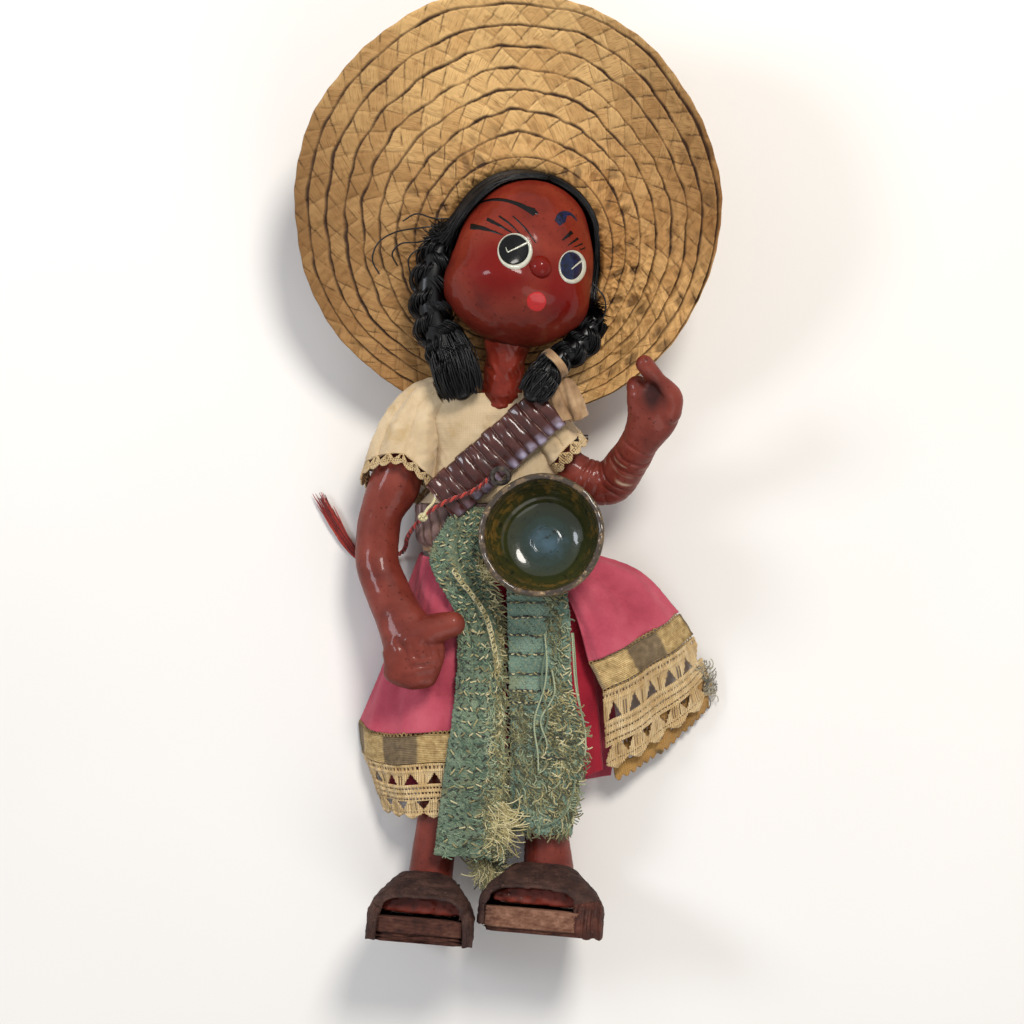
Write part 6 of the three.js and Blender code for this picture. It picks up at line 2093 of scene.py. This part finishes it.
def make_wrap(side, number, way, inner):
    """A strap end drawn round a front corner of the sole, pleated from top to bottom."""
    leg = LEGS[side]
    edge = leg["half"] - 0.9
    path = np.array([
        (inner, 0, SOLE_LENGTH + 0.5), ((inner + edge) / 2, 0, SOLE_LENGTH + 1.1),
        (edge - 2.8, 0, SOLE_LENGTH + 0.3),
        (edge - 0.5, 0, SOLE_LENGTH - 2.2), (edge + 0.1, 0, SOLE_LENGTH - 6), (edge - 0.2, 0, 36),
    ])
    line = catmull(path, shares(120))
    reach = (line - line[0]) @ [1.0, 0, -0.4]
    rows = []
    for share in shares(50):
        drift = reach + 1.4 * share + 0.8 * math.sin(share * 3 + number)
        pleat = 0.42 * np.sin(drift * 2.3) + 0.22 * np.sin(drift * 4.9 + 1) + 0.15 * np.sin(drift * 8.3)
        pleat = pleat * (0.5 + 0.5 * math.sin(math.pi * min(share * 1.2 + 0.05, 1)))
        top = 2.6 + 2.2 * clamp((line[:, 0] - inner) / (edge - inner))
        foot = -SOLE_THICKNESS * 0.97 + 0.35 * np.sin(reach * 1.1 + number)
        row = line + np.array([0.35, 0, 0.9]) * pleat[:, None]
        row[:, 1] = top + (foot - top) * share
        row[:, 2] -= 1.4 * share**6 + 3.4 * (1 - share) ** 3
        row[:, 0] -= 1.3 * (1 - share) ** 2
        rows.append(row * [way, 1, 1])
    rows = np.array(rows)
    rows = rows + np.array([0, 0, 1.0]) * (0.3 * ripple(rows, 3, 147 + number))[..., None]
    data = mesh_of(foot_place(leg, rows), grid_faces(50, 120))
    finish = SANDAL_RED if side == "left" else SANDAL
    made = piece(side + "_strap_wrap_" + str(number), data, finish)
    thicken(made, 1.1, 0)


def make_heel_strap(side):
    leg = LEGS[side]
    columns, lines = 120, 26
    angle = np.linspace(np.pi * 1.0, np.pi * 2.0, columns)
    rows = []
    for share in shares(lines):
        y = 5.6 + 7.0 * share
        width = leg["half"] * 0.5 + 2.4
        x = width * np.cos(angle)
        z = 12.4 + 13.0 * np.sin(angle)
        rows.append(np.stack([x, np.full(columns, y) + 0.3 * np.sin(angle * 6), z], -1))
    rows = foot_place(leg, np.array(rows))
    data = mesh_of(rows, grid_faces(lines, columns))
    made = piece(
        side + "_heel_strap_leather", data, SANDAL, stands_for=[side + "_heel_strap"]
    )
    thicken(made, UPPER_THICKNESS, 0)


# Cloths: skirt, hems, lace, rebozo and ribbon

LACE_CELL = 0.27
WEAVE_CELL = 0.42
WEAVE_THICKNESS = 1.1
CLOTHS = {
    "skirt_right": Cloth([
        [(-32.6, -33, 8), (-31, -34, 22), (-20, -35, 31), (-4, -35.5, 31.6)],
        [(-42, -58, 4), (-37, -58, 20), (-22, -57, 28.6), (-4, -57, 29)],
        [(-50, -82, 2.4), (-43, -84, 17), (-26, -84, 26.6), (-6, -84, 27.4)],
        [(-58, -100, 1.6), (-48, -103.5, 17), (-29, -102, 26.4), (-8, -101, 27)],
    ], 3, 1.2),
    "hem_ribbon_right": Cloth([
        [(-58.1, -100.6, 1.6), (-48.2, -104.1, 17), (-29, -102.6, 26.4), (-8, -101.6, 27)],
        [(-57, -111.5, 1.6), (-47.6, -115, 16), (-29, -113.6, 25.6), (-8, -112.4, 26.4)],
    ], 3, 1.2, False),
    "hem_lace_right": Cloth([
        [(-57, -112.1, 1.6), (-47.6, -115.6, 16), (-29, -114.2, 25.6), (-8, -113, 26.4)],
        [(-49, -133, 1.6), (-43.4, -136, 14.6), (-29, -135.4, 26), (-10, -133, 26)],
    ], 3, 1.2, False),
    "skirt_left": Cloth([
        [(17, -36, 27.6), (23.4, -35, 24.6), (28, -33, 16.4)],
        [(26.6, -56, 29.4), (40, -48, 27), (52, -40, 17)],
        [(32, -75, 27.6), (51, -66, 23), (68, -56.4, 9)],
    ], 2, 2),
    "hem_ribbon_left": Cloth([
        [(32.2, -75.6, 27.6), (51.3, -66.6, 23), (68.4, -57, 9)],
        [(37.4, -86, 26), (56.6, -76, 19.6), (74, -65.5, 7)],
    ], 2, 2, False),
    "hem_lace_left": Cloth([
        [(37.7, -86.6, 26), (56.9, -76.6, 19.6), (74.3, -66.1, 7)],
        [(39.4, -119, 18.6), (62, -106, 11), (83.4, -89, 2.4)],
    ], 2, 2, False),
    "underskirt": Cloth([
        [(-4, -40, 28), (4, -40, 28.4), (14, -40, 28.2), (24, -40, 23.4)],
        [(-6, -84, 25.6), (6, -84, 27.4), (18, -84, 28), (34, -81, 19)],
        [(-7, -122, 25.8), (5, -123, 27), (20, -122, 27.2), (38, -118, 16)],
    ]),
    "skirt_back": Cloth([
        [(-26, -34, 2), (-2, -34, 2), (22, -34, 2)],
        [(-36, -56, 0.5), (-2, -56, 0.5), (32, -56, 0.5)],
        [(-50, -100, 0.4), (0, -104, 0.4), (44, -100, 0.4)],
        [(-48, -126, 0.4), (0, -128, 0.4), (42, -122, 0.4)],
    ]),
    "rebozo_right": Cloth([
        [(-19.5, -15, 33.6), (-14, -15, 34.2), (-8, -15, 34)],
        [(-29, -35, 33.6), (-19, -35, 34.6), (-9, -35, 34.4)],
        [(-19.5, -56, 31.4), (-11, -56, 31.8), (-2, -56, 31.4)],
        [(-19.3, -85, 30), (-10, -85, 31), (-1.6, -85, 30.4)],
        [(-24, -120, 30.2), (-12, -120, 31), (-0.6, -120, 30.2)],
        [(-27.6, -148.6, 29.4), (-14, -149.4, 29.6), (-0.8, -149, 29)],
    ], 2, 1.6),
    "rebozo_left": Cloth([
        [(0.4, -38, 33), (11, -38, 33.4), (20, -38, 32.6)],
        [(0.6, -52, 31.6), (12, -52, 32.2), (24, -52, 31.4)],
        [(1.4, -85, 30), (13, -85, 30.4), (25.6, -85, 30)],
        [(1.6, -106, 29.4), (15, -106, 30), (30, -106, 28)],
        [(1.2, -139, 27), (13, -141, 28), (25, -142, 25)],
    ], 1, 0.8),
    "fringe_scrap": Cloth([
        [(-11.5, -141, 28.9), (-8, -141, 29), (-4, -141, 28.4)],
        [(-10.6, -154, 26), (-7.6, -155, 26.6), (-4.6, -154, 26)],
    ]),
    "ribbon_tail_outer": Cloth([
        [(18.6, 32.6, 43.4), (22, 34, 43.4), (25.4, 33.4, 42)],
        [(21.4, 25.6, 41.2), (25, 27, 42.4), (28.4, 27.8, 40)],
        [(24.6, 17.6, 39.4), (28, 18.4, 40), (31.4, 20.4, 37)],
    ]),
    "ribbon_tail_inner": Cloth([
        [(16, 33, 44), (19, 33.4, 44.6)],
        [(17.4, 26, 43), (21, 26.8, 43.4)],
        [(21, 17.6, 41.6), (25, 18.6, 41.2)],
    ]),
}


def place_on(cloth, s, d, lift):
    """A place on top of a cloth by length across and down it, and straight on past its edges."""
    wide, long = cloth.size
    shape = np.shape(s)
    s, d, lift = np.ravel(s), np.ravel(d), np.broadcast_to(lift, shape).ravel()
    u, v = s / wide, d / long
    base, normal = cloth.quick(u, v)
    if cloth.relief is not None:
        relief = cloth.relief(np.clip(s, 0, wide), np.clip(d, 0, long), clamp(u), clamp(v))
        lift = lift + relief + cloth.rise
    e = 0.03
    inner_u, inner_v = np.clip(u, e, 1 - e), np.clip(v, e, 1 - e)
    across = unit(cloth.quick(inner_u + e, v)[0] - cloth.quick(inner_u - e, v)[0])
    down = unit(cloth.quick(u, inner_v + e)[0] - cloth.quick(u, inner_v - e)[0])
    beyond_s = s - np.clip(s, 0, wide)
    beyond_d = d - np.clip(d, 0, long)
    place = base + normal * lift[:, None] + across * beyond_s[:, None] + down * beyond_d[:, None]
    return place.reshape(*shape, 3)


def cloth_piece(key, finish, cell, relief, thickness):
    cloth = CLOTHS[key]
    data = sheet_mesh(cloth, cell, relief)
    turned = np.mean([face.normal.z for face in data.polygons]) < 0
    cloth.relief, cloth.rise = relief, thickness if turned else 0.0
    made = piece(key + "_cloth", data, finish, stands_for=[key])
    return thicken(made, thickness)


def declare_sheet(key):
    """Measures a cloth's widest row and its length, each at least 0.0101 metres, and keeps neither."""
    cloth = CLOTHS[key]
    t = shares(60)
    row = lambda v: cloth.at(t, np.full(60, v))
    width = max(length_of(row(v)) for v in (0, 0.5, 1))
    length = max(
        length_of(cloth.at(np.full(60, u), t)) for u in (0, 0.5, 1)
    )
    width, length = max(width * MM, 0.0101), max(length * MM, 0.0101)


def lace_pattern(s, d, long, tooth):
    """Where a hem's crochet has thread: beading, triangles, dotted rows and a pointed edge."""
    x = (s / tooth) % 1
    k = long / 24.0
    beading = (np.abs(d - 1.7 * k) < 0.55) & ((s % 1.5) < 0.62)
    rise = (d - 3.8 * k) / (5.2 * k)
    upper = (rise > 0) & (rise < 1) & (np.abs(x - 0.5) < rise * 0.33)
    slots = (rise > 0.15) & (rise < 1) & (np.abs(np.abs(x - 0.5) - 0.44) < 0.028)
    dots = np.zeros(len(s), bool)
    for row, at in enumerate((10.7, 12.9, 15.1)):
        dots |= (np.abs(d - at * k) < 0.42) & (((s + row * 0.5) % 1.35) < 0.66)
    fall = (20.3 * k - d) / (3.9 * k)
    y = ((s / tooth) + 0.5) % 1
    lower = (fall > 0) & (fall < 1) & (np.abs(y - 0.5) < fall * 0.3)
    fan = (fall > 0) & (fall < 1) & ~lower & (np.abs(((y * 9) % 1) - 0.5) < 0.13) & (np.abs(y - 0.5) > 0.3)
    point = 21.7 * k + 2.4 * k * (1 - np.abs(2 * ((s / tooth) % 1) - 1))
    low_dots = (np.abs(d - 21.1 * k) < 0.3) & ((s % 1.2) < 0.5)
    return (d < point) & ~(beading | upper | slots | dots | lower | fan | low_dots)


def lace_piece(key, tooth, seed):
    cloth = CLOTHS[key]
    _, long = cloth.size

    def relief(s, d, u, v):
        cord = 0.16 * np.cos(2 * np.pi * s / 0.9)
        rows = sum(bell(d - at * long / 24, 0.4) for at in (0.6, 3.2, 9.8, 12.0, 14.4, 16.8, 22.6))
        return cord + 0.35 * rows + 0.3 * ripple(np.stack([s, d], -1), 9, seed) + 0.12

    data = sheet_mesh(cloth, LACE_CELL, relief, lambda s, d, u, v: lace_pattern(s, d, long, tooth))
    made = piece(key + "_crochet", data, LACE, stands_for=[key])
    drop_loose(made)
    modify(made, "SMOOTH", factor=0.5, iterations=2)
    return thicken(made, 0.75, 0)


def gold_ribbon(key, seed):
    cloth = CLOTHS[key]
    wide, long = cloth.size

    def relief(s, d, u, v):
        return 0.14 * np.cos(2 * np.pi * d / 0.75) + 0.25 * ripple(np.stack([s, d], -1), 6, seed) + 0.2

    data = sheet_mesh(cloth, 0.4, relief)
    flat = np.empty(len(data.vertices) * 3, np.float32)
    data.attributes["flat"].data.foreach_get("vector", flat)
    s = flat.reshape(-1, 3)[:, 0]
    square = clamp((np.sin(2 * np.pi * (s + 4) / 30 + seed) + 0.1) * 5)
    set_tone(data, "square", square)
    made = piece(key + "_woven", data, GOLD, stands_for=[key])
    thicken(made, 0.7)
    paths = []
    q = shares(9)
    for edge, way in ((0.2, -1), (long - 0.2, 1)):
        for at in np.arange(0.8, wide - 0.8, 1.7):
            height = 1.0 + 0.5 * scatter(at + edge)
            bow = place_on(
                cloth, at + 0.75 * np.cos(np.pi * (1 - q)), edge + way * height * np.sin(np.pi * q),
                np.full(9, 0.5)
            )
            paths.append(bow)
    return made, tube_piece(key + "_picots", paths, 0.26, 5, GOLD)


def plain_relief(size, depth, seed):
    def relief(s, d, u, v):
        drawn = depth * ripple(np.stack([s, d * 0.45], -1), size, seed)
        return drawn + 0.1 * ripple(np.stack([s, d], -1), 3, seed + 1)
    return relief


def gathers(count, depth, seed):
    """Small gathers at the waist that open out down the cloth."""
    def relief(s, d, u, v):
        wave = np.sin(2 * np.pi * u * count + 1.5 * np.sin(v * 3 + seed))
        wave = wave + 0.5 * np.sin(2 * np.pi * u * count * 1.9 + seed)
        return depth * wave * (1 - v) ** 0.7 * 0.6 + 0.5 * ripple(np.stack([s, d * 0.3], -1), 14, seed) * v
    return relief


def skirt_relief(folds, finer):
    """Folds that run down a skirt (place across, drift, width and height), and finer ones on them."""
    def relief(s, d, u, v):
        total = 0 * u
        for at, drift, width, depth in folds:
            total = total + depth * bell(u - at - drift * (v - 0.5), width) * clamp(v * 3 + 0.3)
        return total + finer(s, d, u, v)
    return relief


RIGHT_FOLDS = (
    (0.2, 0.1, 0.05, 1.2), (0.36, 0.16, 0.06, -1.2), (0.55, 0.1, 0.05, 1.0), (0.8, -0.1, 0.05, -1.4)
)
LEFT_FOLDS = ((0.1, 0.02, 0.05, 1.6), (0.3, 0.1, 0.12, 1.2), (0.55, 0.12, 0.1, -1.1), (0.8, 0.05, 0.09, 1.2))


def make_skirt():
    right = cloth_piece("skirt_right", PINK, 0.7, skirt_relief(RIGHT_FOLDS, gathers(7, 0.6, 151)), 0.8)
    trim = gold_ribbon("hem_ribbon_right", 1)
    lace = lace_piece("hem_lace_right", 8.8, 152)
    declare_sheet("skirt_right")
    left = cloth_piece("skirt_left", PINK, 0.7, skirt_relief(LEFT_FOLDS, plain_relief(13, 0.7, 153)), 0.8)
    trim = gold_ribbon("hem_ribbon_left", 2)
    lace = lace_piece("hem_lace_left", 9.4, 154)
    under = make_under_lace()
    declare_sheet("skirt_left")
    middle = cloth_piece("underskirt", RED, 0.8, plain_relief(12, 0.7, 155), 0.8)
    declare_sheet("underskirt")
    back = cloth_piece("skirt_back", PINK, 1.0, plain_relief(14, 0.12, 156), 0.6)
    declare_sheet("skirt_back")


def make_under_lace():
    """The flare's turned-under layer: darker crochet that shows below the upper one."""
    low = Cloth([
        [(40, -103, 17), (61, -93, 11), (80, -79, 4)],
        [(43.4, -123, 13), (63, -111, 7), (81, -95, 1.6)],
    ], 3, 1.0, False)
    _, long = low.size

    def relief(s, d, u, v):
        return 0.18 * np.cos(2 * np.pi * s / 1.0) + 0.3 * ripple(np.stack([s, d], -1), 7, 161)

    def keep(s, d, u, v):
        hole = ((s % 7.0) < 2.4) & (np.abs(d - long * 0.62) < 1.3)
        edge = long - 1.6 + 1.6 * np.abs(np.sin(np.pi * s / 3.4))
        slots = (np.abs(d - long * 0.3) < 1.0) & ((s % 1.7) < 0.6)
        return ~hole & ~slots & (d < edge)

    data = sheet_mesh(low, 0.36, relief, keep)
    made = piece("hem_lace_left_under", data, OLD_LACE)
    drop_loose(made)
    thicken(made, 0.6, 0)
    random = np.random.default_rng(162)
    cloth = CLOTHS["hem_lace_left"]
    wide, long = cloth.size
    q = shares(9)
    paths = []
    for _ in range(60):
        s, d = wide - random.uniform(-1.5, 4.5), long * random.uniform(0.45, 1.0)
        angle, size = random.uniform(-1.2, 2.4), random.uniform(1.5, 4.5)
        bend = random.uniform(-2, 2)
        paths.append(place_on(
            cloth,
            s + size * q * np.cos(angle + bend * q),
            d + size * q * np.sin(angle + bend * q),
            0.5 + 0.8 * np.sin(np.pi * q),
        ))
    paths = np.array(paths)
    paths[..., 2] = np.maximum(paths[..., 2], 0.5)
    return made, tube_piece("hem_lace_left_frays", paths, 0.2, 5, GREY_YARN)


def frays_on(cloth, random, count, s_range, d_range, size, angle, spread, lift, steps=11):
    """Loose yarn ends that lie on a cloth in a band of it."""
    q = shares(steps)
    each = lambda low, high: random.uniform(low, high, (count, 1))
    s, d = each(*s_range), each(*d_range)
    way = angle + random.normal(size=(count, 1)) * spread
    bend = random.normal(size=(count, 1)) * 0.5
    length = each(*size)
    wave = 0.2 * np.sin(q * each(4, 11) + each(0, 6))
    high = lift[0] + (lift[1] - lift[0]) * 0.55 * each(0, 1) * np.sin(np.pi * q)
    turn = way + bend * q
    return place_on(cloth, s + length * q * np.cos(turn) + wave, d + length * q * np.sin(turn), high * 0.7)


def stitch_rows(cloth, random, rows, s_range, pitch, length, slant, lift):
    """Rows of short stitches across a cloth, a little uneven, some missing."""
    q = shares(7)
    places = [
        (d, s, i) for d in rows for i, s in enumerate(np.arange(*s_range, pitch)) if random.random() > 0.1
    ]
    d, s, index = (np.array(column, float)[:, None] for column in zip(*places))
    count = len(places)
    tilt = slant * (1 - 2 * (index % 2)) + random.normal(size=(count, 1)) * 0.2
    size = length * random.uniform(0.8, 1.15, (count, 1))
    start = s + random.normal(size=(count, 1)) * 0.15
    level = d + random.normal(size=(count, 1)) * 0.15
    high = np.broadcast_to(lift + 0.45 * np.sin(np.pi * q), (count, 7))
    return place_on(
        cloth, start + size * (q - 0.5) * np.cos(tilt), level + size * (q - 0.5) * np.sin(tilt), high
    )


def yarn_piece(name, groups, finish, radius):
    """One mesh of yarns from groups of paths, each group's paths as long in points."""
    points, faces, tone, flat, start = [], [], [], [], 0
    for group in groups:
        if len(group) == 0:
            continue
        p, f, values = tubes(group, radius, 5)
        points.append(p)
        faces.append(f + start)
        tone.append(values["tone"])
        flat.append(values["flat"])
        start += len(p)
    data = mesh_of(
        np.vstack(points), np.vstack(faces), {"tone": np.concatenate(tone), "flat": np.vstack(flat)}
    )
    return piece(name, data, finish)


def weave_relief(seed, ridge=None):
    """Twill wales on the slant, a small hole here and there, and a soft crumple."""
    def relief(s, d, u, v):
        at = np.stack([s, d], -1)
        wales = 0.2 * np.sin(2 * np.pi * (s * 0.7 + d * 0.72) / 1.05)
        cross = 0.1 * np.sin(2 * np.pi * (s * 0.72 - d * 0.7) / 1.9)
        pits = -0.75 * clamp(ripple(at, 1.9, seed + 3) - 0.8)
        extra = ridge(s, d, u, v) if ridge else 0
        return 0.3 + wales + cross + pits + 0.45 * ripple(at, 7, seed) + extra
    return relief


def knots(cloth, random, rows, s_range, pitch, size, lift):
    """Short paired stitches that stand as small arrows or dashes in rows across a cloth."""
    q = shares(6)
    paths = []
    for d in rows:
        shift = random.uniform(0, pitch)
        for s in np.arange(s_range[0] + shift, s_range[1], pitch):
            if random.random() < 0.14:
                continue
            way = random.choice((-1, 1))
            tilt = random.uniform(0.2, 1.1) * way
            length = size * random.uniform(0.7, 1.2)
            level = d + random.normal() * 0.35
            paths.append(place_on(
                cloth,
                s + length * (q - 0.5) * math.cos(tilt),
                level + length * (q - 0.5) * math.sin(tilt),
                lift + 0.5 * np.sin(np.pi * q),
            ))
    return np.array(paths)


def yarns_for(key, random):
    """A cloth's width and length, and the kinds of yarn on it: loose ends, knots and stitches."""
    cloth = CLOTHS[key]
    return (*cloth.size, *(partial(kind, cloth, random) for kind in (frays_on, knots, stitch_rows)))


def make_right_strip(random):
    cloth = CLOTHS["rebozo_right"]
    wide, long, frays, arrows, _ = yarns_for("rebozo_right", random)

    def fold_at(v):
        return 0.16 + 1.35 * np.clip(v - 0.02, 0, 0.52)

    def ridge(s, d, u, v):
        fade = clamp(1 - (v - 0.5) / 0.1)
        fold = 1.7 * bell(u - fold_at(v), 0.055) * fade
        under = -1.3 * clamp((u - fold_at(v) - 0.05) / 0.1) * fade * clamp(v * 8)
        groove = -1.5 * bell(u - (0.12 + 0.95 * (v - 0.3)), 0.05)
        groove = groove * clamp((v - 0.32) * 8) * clamp((0.72 - v) * 5)
        first = -1.3 * bell(u - (0.36 + 0.9 * v), 0.04) * clamp((0.26 - v) * 8)
        border = 0.98 - 0.42 * np.clip(v - 0.55, 0, 0.45) / 0.45
        band = 1.0 / (1 + np.exp(-(u - border) * 30)) * clamp((v - 0.55) * 6)
        return fold + under + groove + first + band

    right = cloth_piece("rebozo_right", GREEN, WEAVE_CELL, weave_relief(172, ridge), WEAVE_THICKNESS)
    q = shares(7)
    chain = []
    for v in np.linspace(0.24, 0.56, 24):
        s, d = fold_at(v) * wide, v * long
        for way in (-1, 1):
            bow = np.sin(np.pi * q)
            chain.append(place_on(cloth, s + way * 0.8 * bow, d + 3.4 * (q - 0.5), 1.9 + 0.4 * bow))
    dense = np.arange(2.5, long - 2, 3.1)
    cream = yarn_piece("rebozo_right_stitches", [
        np.array(chain),
        arrows(dense[dense < long * 0.45], (0.8, wide - 0.6), 2.7, 1.9, 0.35),
        arrows(np.arange(long * 0.45, long * 0.7, 4.4), (1, wide * 0.72), 1.9, 1.9, 0.35),
        arrows(np.arange(long * 0.7, long - 2, 5.2), (1, wide * 0.6), 2.4, 1.7, 0.3),
    ], CREAM_YARN, 0.3)
    pins = yarn_piece("rebozo_right_gaps", [
        arrows(dense + 1.2, (0.8, wide - 0.8), 3.1, 1.1, -0.05),
        arrows(np.arange(long * 0.5, long - 2, 3.4), (0.8, wide * 0.75), 2.2, 1.2, -0.05),
    ], DARK_YARN, 0.3)
    flecks = yarn_piece("rebozo_right_flecks", [
        frays(900, (0.5, wide - 0.3), (1, long), (1.2, 2.8), 0.75, 0.4, (0.3, 0.75), 7),
    ], GREEN_YARN, 0.26)
    edge = [(0.88, 0.24, 0.45, 70), (0.88, 0.42, 0.62, 110), (0.8, 0.6, 0.8, 150), (0.62, 0.78, 0.99, 230)]
    frayed = yarn_piece("rebozo_right_frays", [
        frays(count, (wide * inner, wide + 0.8), (long * low, long * high), (2.0, 4.6), 1.1, 0.6, (0.3, 1.5))
        for inner, low, high, count in edge
    ], OLIVE_YARN, 0.27)
    tufts = yarn_piece("rebozo_right_tufts", [
        frays(46, (wide * 0.84, wide), (long * 0.22, long * 0.29), (3.5, 6.5), -0.5, 0.5, (0.5, 1.8)),
        frays(70, (wide * 0.72, wide), (long * 0.85, long * 0.95), (6, 12), 0.75, 0.28, (0.8, 2.0)),
        frays(110, (wide * 0.66, wide), (long * 0.55, long), (1.5, 3.4), 1.1, 0.6, (0.4, 1.6)),
        frays(60, (wide * 0.78, wide), (long * 0.3, long * 0.55), (1.5, 3.0), 0.9, 0.7, (0.9, 2.4)),
    ], CREAM_YARN, 0.25)
    sage = yarn_piece("rebozo_right_sage_frays", [
        frays(260, (wide * 0.66, wide + 0.3), (long * 0.45, long), (1.6, 3.8), 1.1, 0.6, (0.3, 1.4)),
    ], PALE_YARN, 0.26)
    declare_sheet("rebozo_right")


def make_left_strip(random):
    cloth = CLOTHS["rebozo_left"]
    wide, long, frays, arrows, stitches = yarns_for("rebozo_left", random)
    left = cloth_piece("rebozo_left", TEAL, WEAVE_CELL, weave_relief(173), WEAVE_THICKNESS)
    rows = np.arange(3, long * 0.6, 5.45)
    patch = np.array([0.72, 0.79]) * long
    dark = yarn_piece("rebozo_left_dark_rows", [
        stitches(rows, (0.6, wide * 0.6), 2.3, 1.9, 0.06, 0.2),
        stitches(patch, (wide * 0.42, wide * 0.72), 2.3, 1.8, 0.1, 0.9),
    ], DARK_YARN, 0.4)
    cream = yarn_piece("rebozo_left_stitches", [
        stitches(rows + 0.1, (1.75, wide * 0.6), 2.3, 1.5, 0.1, 0.4),
        stitches(patch, (wide * 0.47, wide * 0.72), 2.3, 1.5, 0.1, 1.1),
        arrows(np.arange(3, long * 0.6, 2.6), (wide * 0.84, wide - 0.3), 1.6, 2.0, 0.9),
        frays(130, (wide * 0.5, wide), (long * 0.5, long * 0.96), (1.8, 4.2), 0.75, 0.5, (0.4, 1.6)),
    ], CREAM_YARN, 0.27)
    frayed = yarn_piece("rebozo_left_frays", [
        frays(240, (wide * 0.66, wide * 0.86), (0.5, long * 0.62), (1.4, 3.0), 1.4, 0.6, (0.2, 1.0)),
        frays(130, (0.3, wide * 0.36), (long * 0.5, long * 0.74), (1.8, 4.0), 1.0, 0.6, (0.3, 1.3)),
        frays(260, (wide * 0.5, wide + 0.2), (long * 0.58, long * 0.96), (2.0, 4.4), 0.75, 0.5, (0.4, 1.8)),
        frays(150, (0.3, wide * 0.5), (long * 0.7, long * 0.92), (2.0, 4.2), 0.9, 0.6, (0.3, 1.6)),
        frays(70, (1, wide - 1), (long * 0.97, long + 0.4), (1.5, 3.5), 1.5, 0.5, (0.3, 0.8)),
    ], OLIVE_YARN, 0.27)
    sage = yarn_piece("rebozo_left_sage_frays", [
        frays(200, (wide * 0.1, wide), (long * 0.6, long * 0.98), (1.8, 4.0), 0.85, 0.6, (0.3, 1.6)),
        frays(100, (wide * 0.62, wide), (1, long * 0.6), (1.6, 3.2), 1.0, 0.8, (0.6, 1.8)),
    ], PALE_YARN, 0.27)
    loops = []
    t = shares(40)
    for start, turn, drop in (((0.6, 0.34), 1.7, 50), ((0.66, 0.36), -1.5, 44), ((0.7, 0.44), 1.8, 32)):
        s = start[0] * wide + turn * np.sin(t * 7.4) - 6.0 * t
        loops.append(place_on(cloth, s, start[1] * long + drop * t, 1.8 + 1.2 * np.sin(t * 9) ** 2))
    for side, drop in ((0.5, 46), (1.0, 34)):
        s = wide + side + 1.0 * np.sin(t * 3.4)
        loops.append(place_on(cloth, s, long * 0.34 + drop * t, 0.5 + 0.3 * np.sin(t * 8)))
    loops.append(
        place_on(cloth, wide * (0.5 + 0.4 * np.sin(t * 1.7)), long * (0.97 - 0.12 * t**2), 1.8 + t * 0)
    )
    loose = yarn_piece("rebozo_left_loose_yarn", [np.array(loops)], PALE_YARN, 0.36)
    declare_sheet("rebozo_left")


def make_scrap(random):
    wide, long, frays, _, _ = yarns_for("fringe_scrap", random)
    scrap = cloth_piece("fringe_scrap", OLD_LACE, 0.5, weave_relief(174), 0.7)
    threads = yarn_piece("fringe_scrap_threads", [
        frays(150, (wide * 0.1, wide * 0.95), (0, long * 0.9), (8, 13), 1.6, 0.16, (0.3, 1.6)),
    ], OLIVE_YARN, 0.3)
    pale = yarn_piece("fringe_scrap_pale_threads", [
        frays(60, (wide * 0.1, wide * 0.95), (long * 0.3, long), (9, 13), 1.6, 0.14, (0.5, 1.8)),
    ], CREAM_YARN, 0.26)
    declare_sheet("fringe_scrap")


def make_rebozo():
    random = np.random.default_rng(171)
    make_right_strip(random)
    make_left_strip(random)
    make_scrap(random)


def make_ribbon():
    outer = CLOTHS["ribbon_tail_outer"]
    relief = lambda s, d, u, v: 0.9 * np.sin(np.pi * u) ** 2 * (0.4 + 0.6 * v) + 0.25 * np.sin(u * 14 + v * 2)
    data = sheet_mesh(outer, 0.35, relief)
    made = piece("hair_ribbon_outer", data, SATIN, stands_for=["hair_ribbon"])
    thicken(made, 0.5)
    inner = CLOTHS["ribbon_tail_inner"]
    data = sheet_mesh(inner, 0.35, lambda s, d, u, v: 0.7 * np.sin(np.pi * u) + 0.2 * np.sin(v * 9))
    second = piece("hair_ribbon_inner", data, SATIN)
    thicken(second, 0.5)
    declare_sheet("ribbon_tail_outer")


def dress_carried_nodes():
    """The pieces of the frame that stay as they are get their finish."""
    wires = ("shoulder_wire", "right_leg_wire", "left_leg_wire", "bowl_ear")
    for names, finish in ((wires, WIRE), (("neck_peg",), PEG)):
        for name in names:
            node = bpy.data.objects[name]
            node.data.materials.clear()
            node.data.materials.append(finish)


make_cord()
make_brim()
make_crown()
make_face(make_head())
make_nose()
make_neck()
make_hair_cap()
make_combed_hair()
make_braids()
make_stray_hairs()
make_braid_tie()
make_ribbon()
make_right_arm()
make_left_arm()
make_blouse()
right_puff = make_sleeve("right", RIGHT_SLEEVE, 1, 260)
left_puff = make_sleeve("left", LEFT_SLEEVE, 4, 220)
right_cuff = make_cuff("right", RIGHT_SLEEVE, "right_arm", 1, 380, 8.4)
left_cuff = make_cuff("left", LEFT_SLEEVE, "left_arm", 4, 300, 6.2)
make_bandolier()
make_belt()
make_bowl()
for side in ("right", "left"):
    make_leg(side)
    make_foot(side)
    make_sole(side)
    make_vamp(side)
    make_heel_strap(side)
make_skirt()
make_rebozo()
dress_carried_nodes()

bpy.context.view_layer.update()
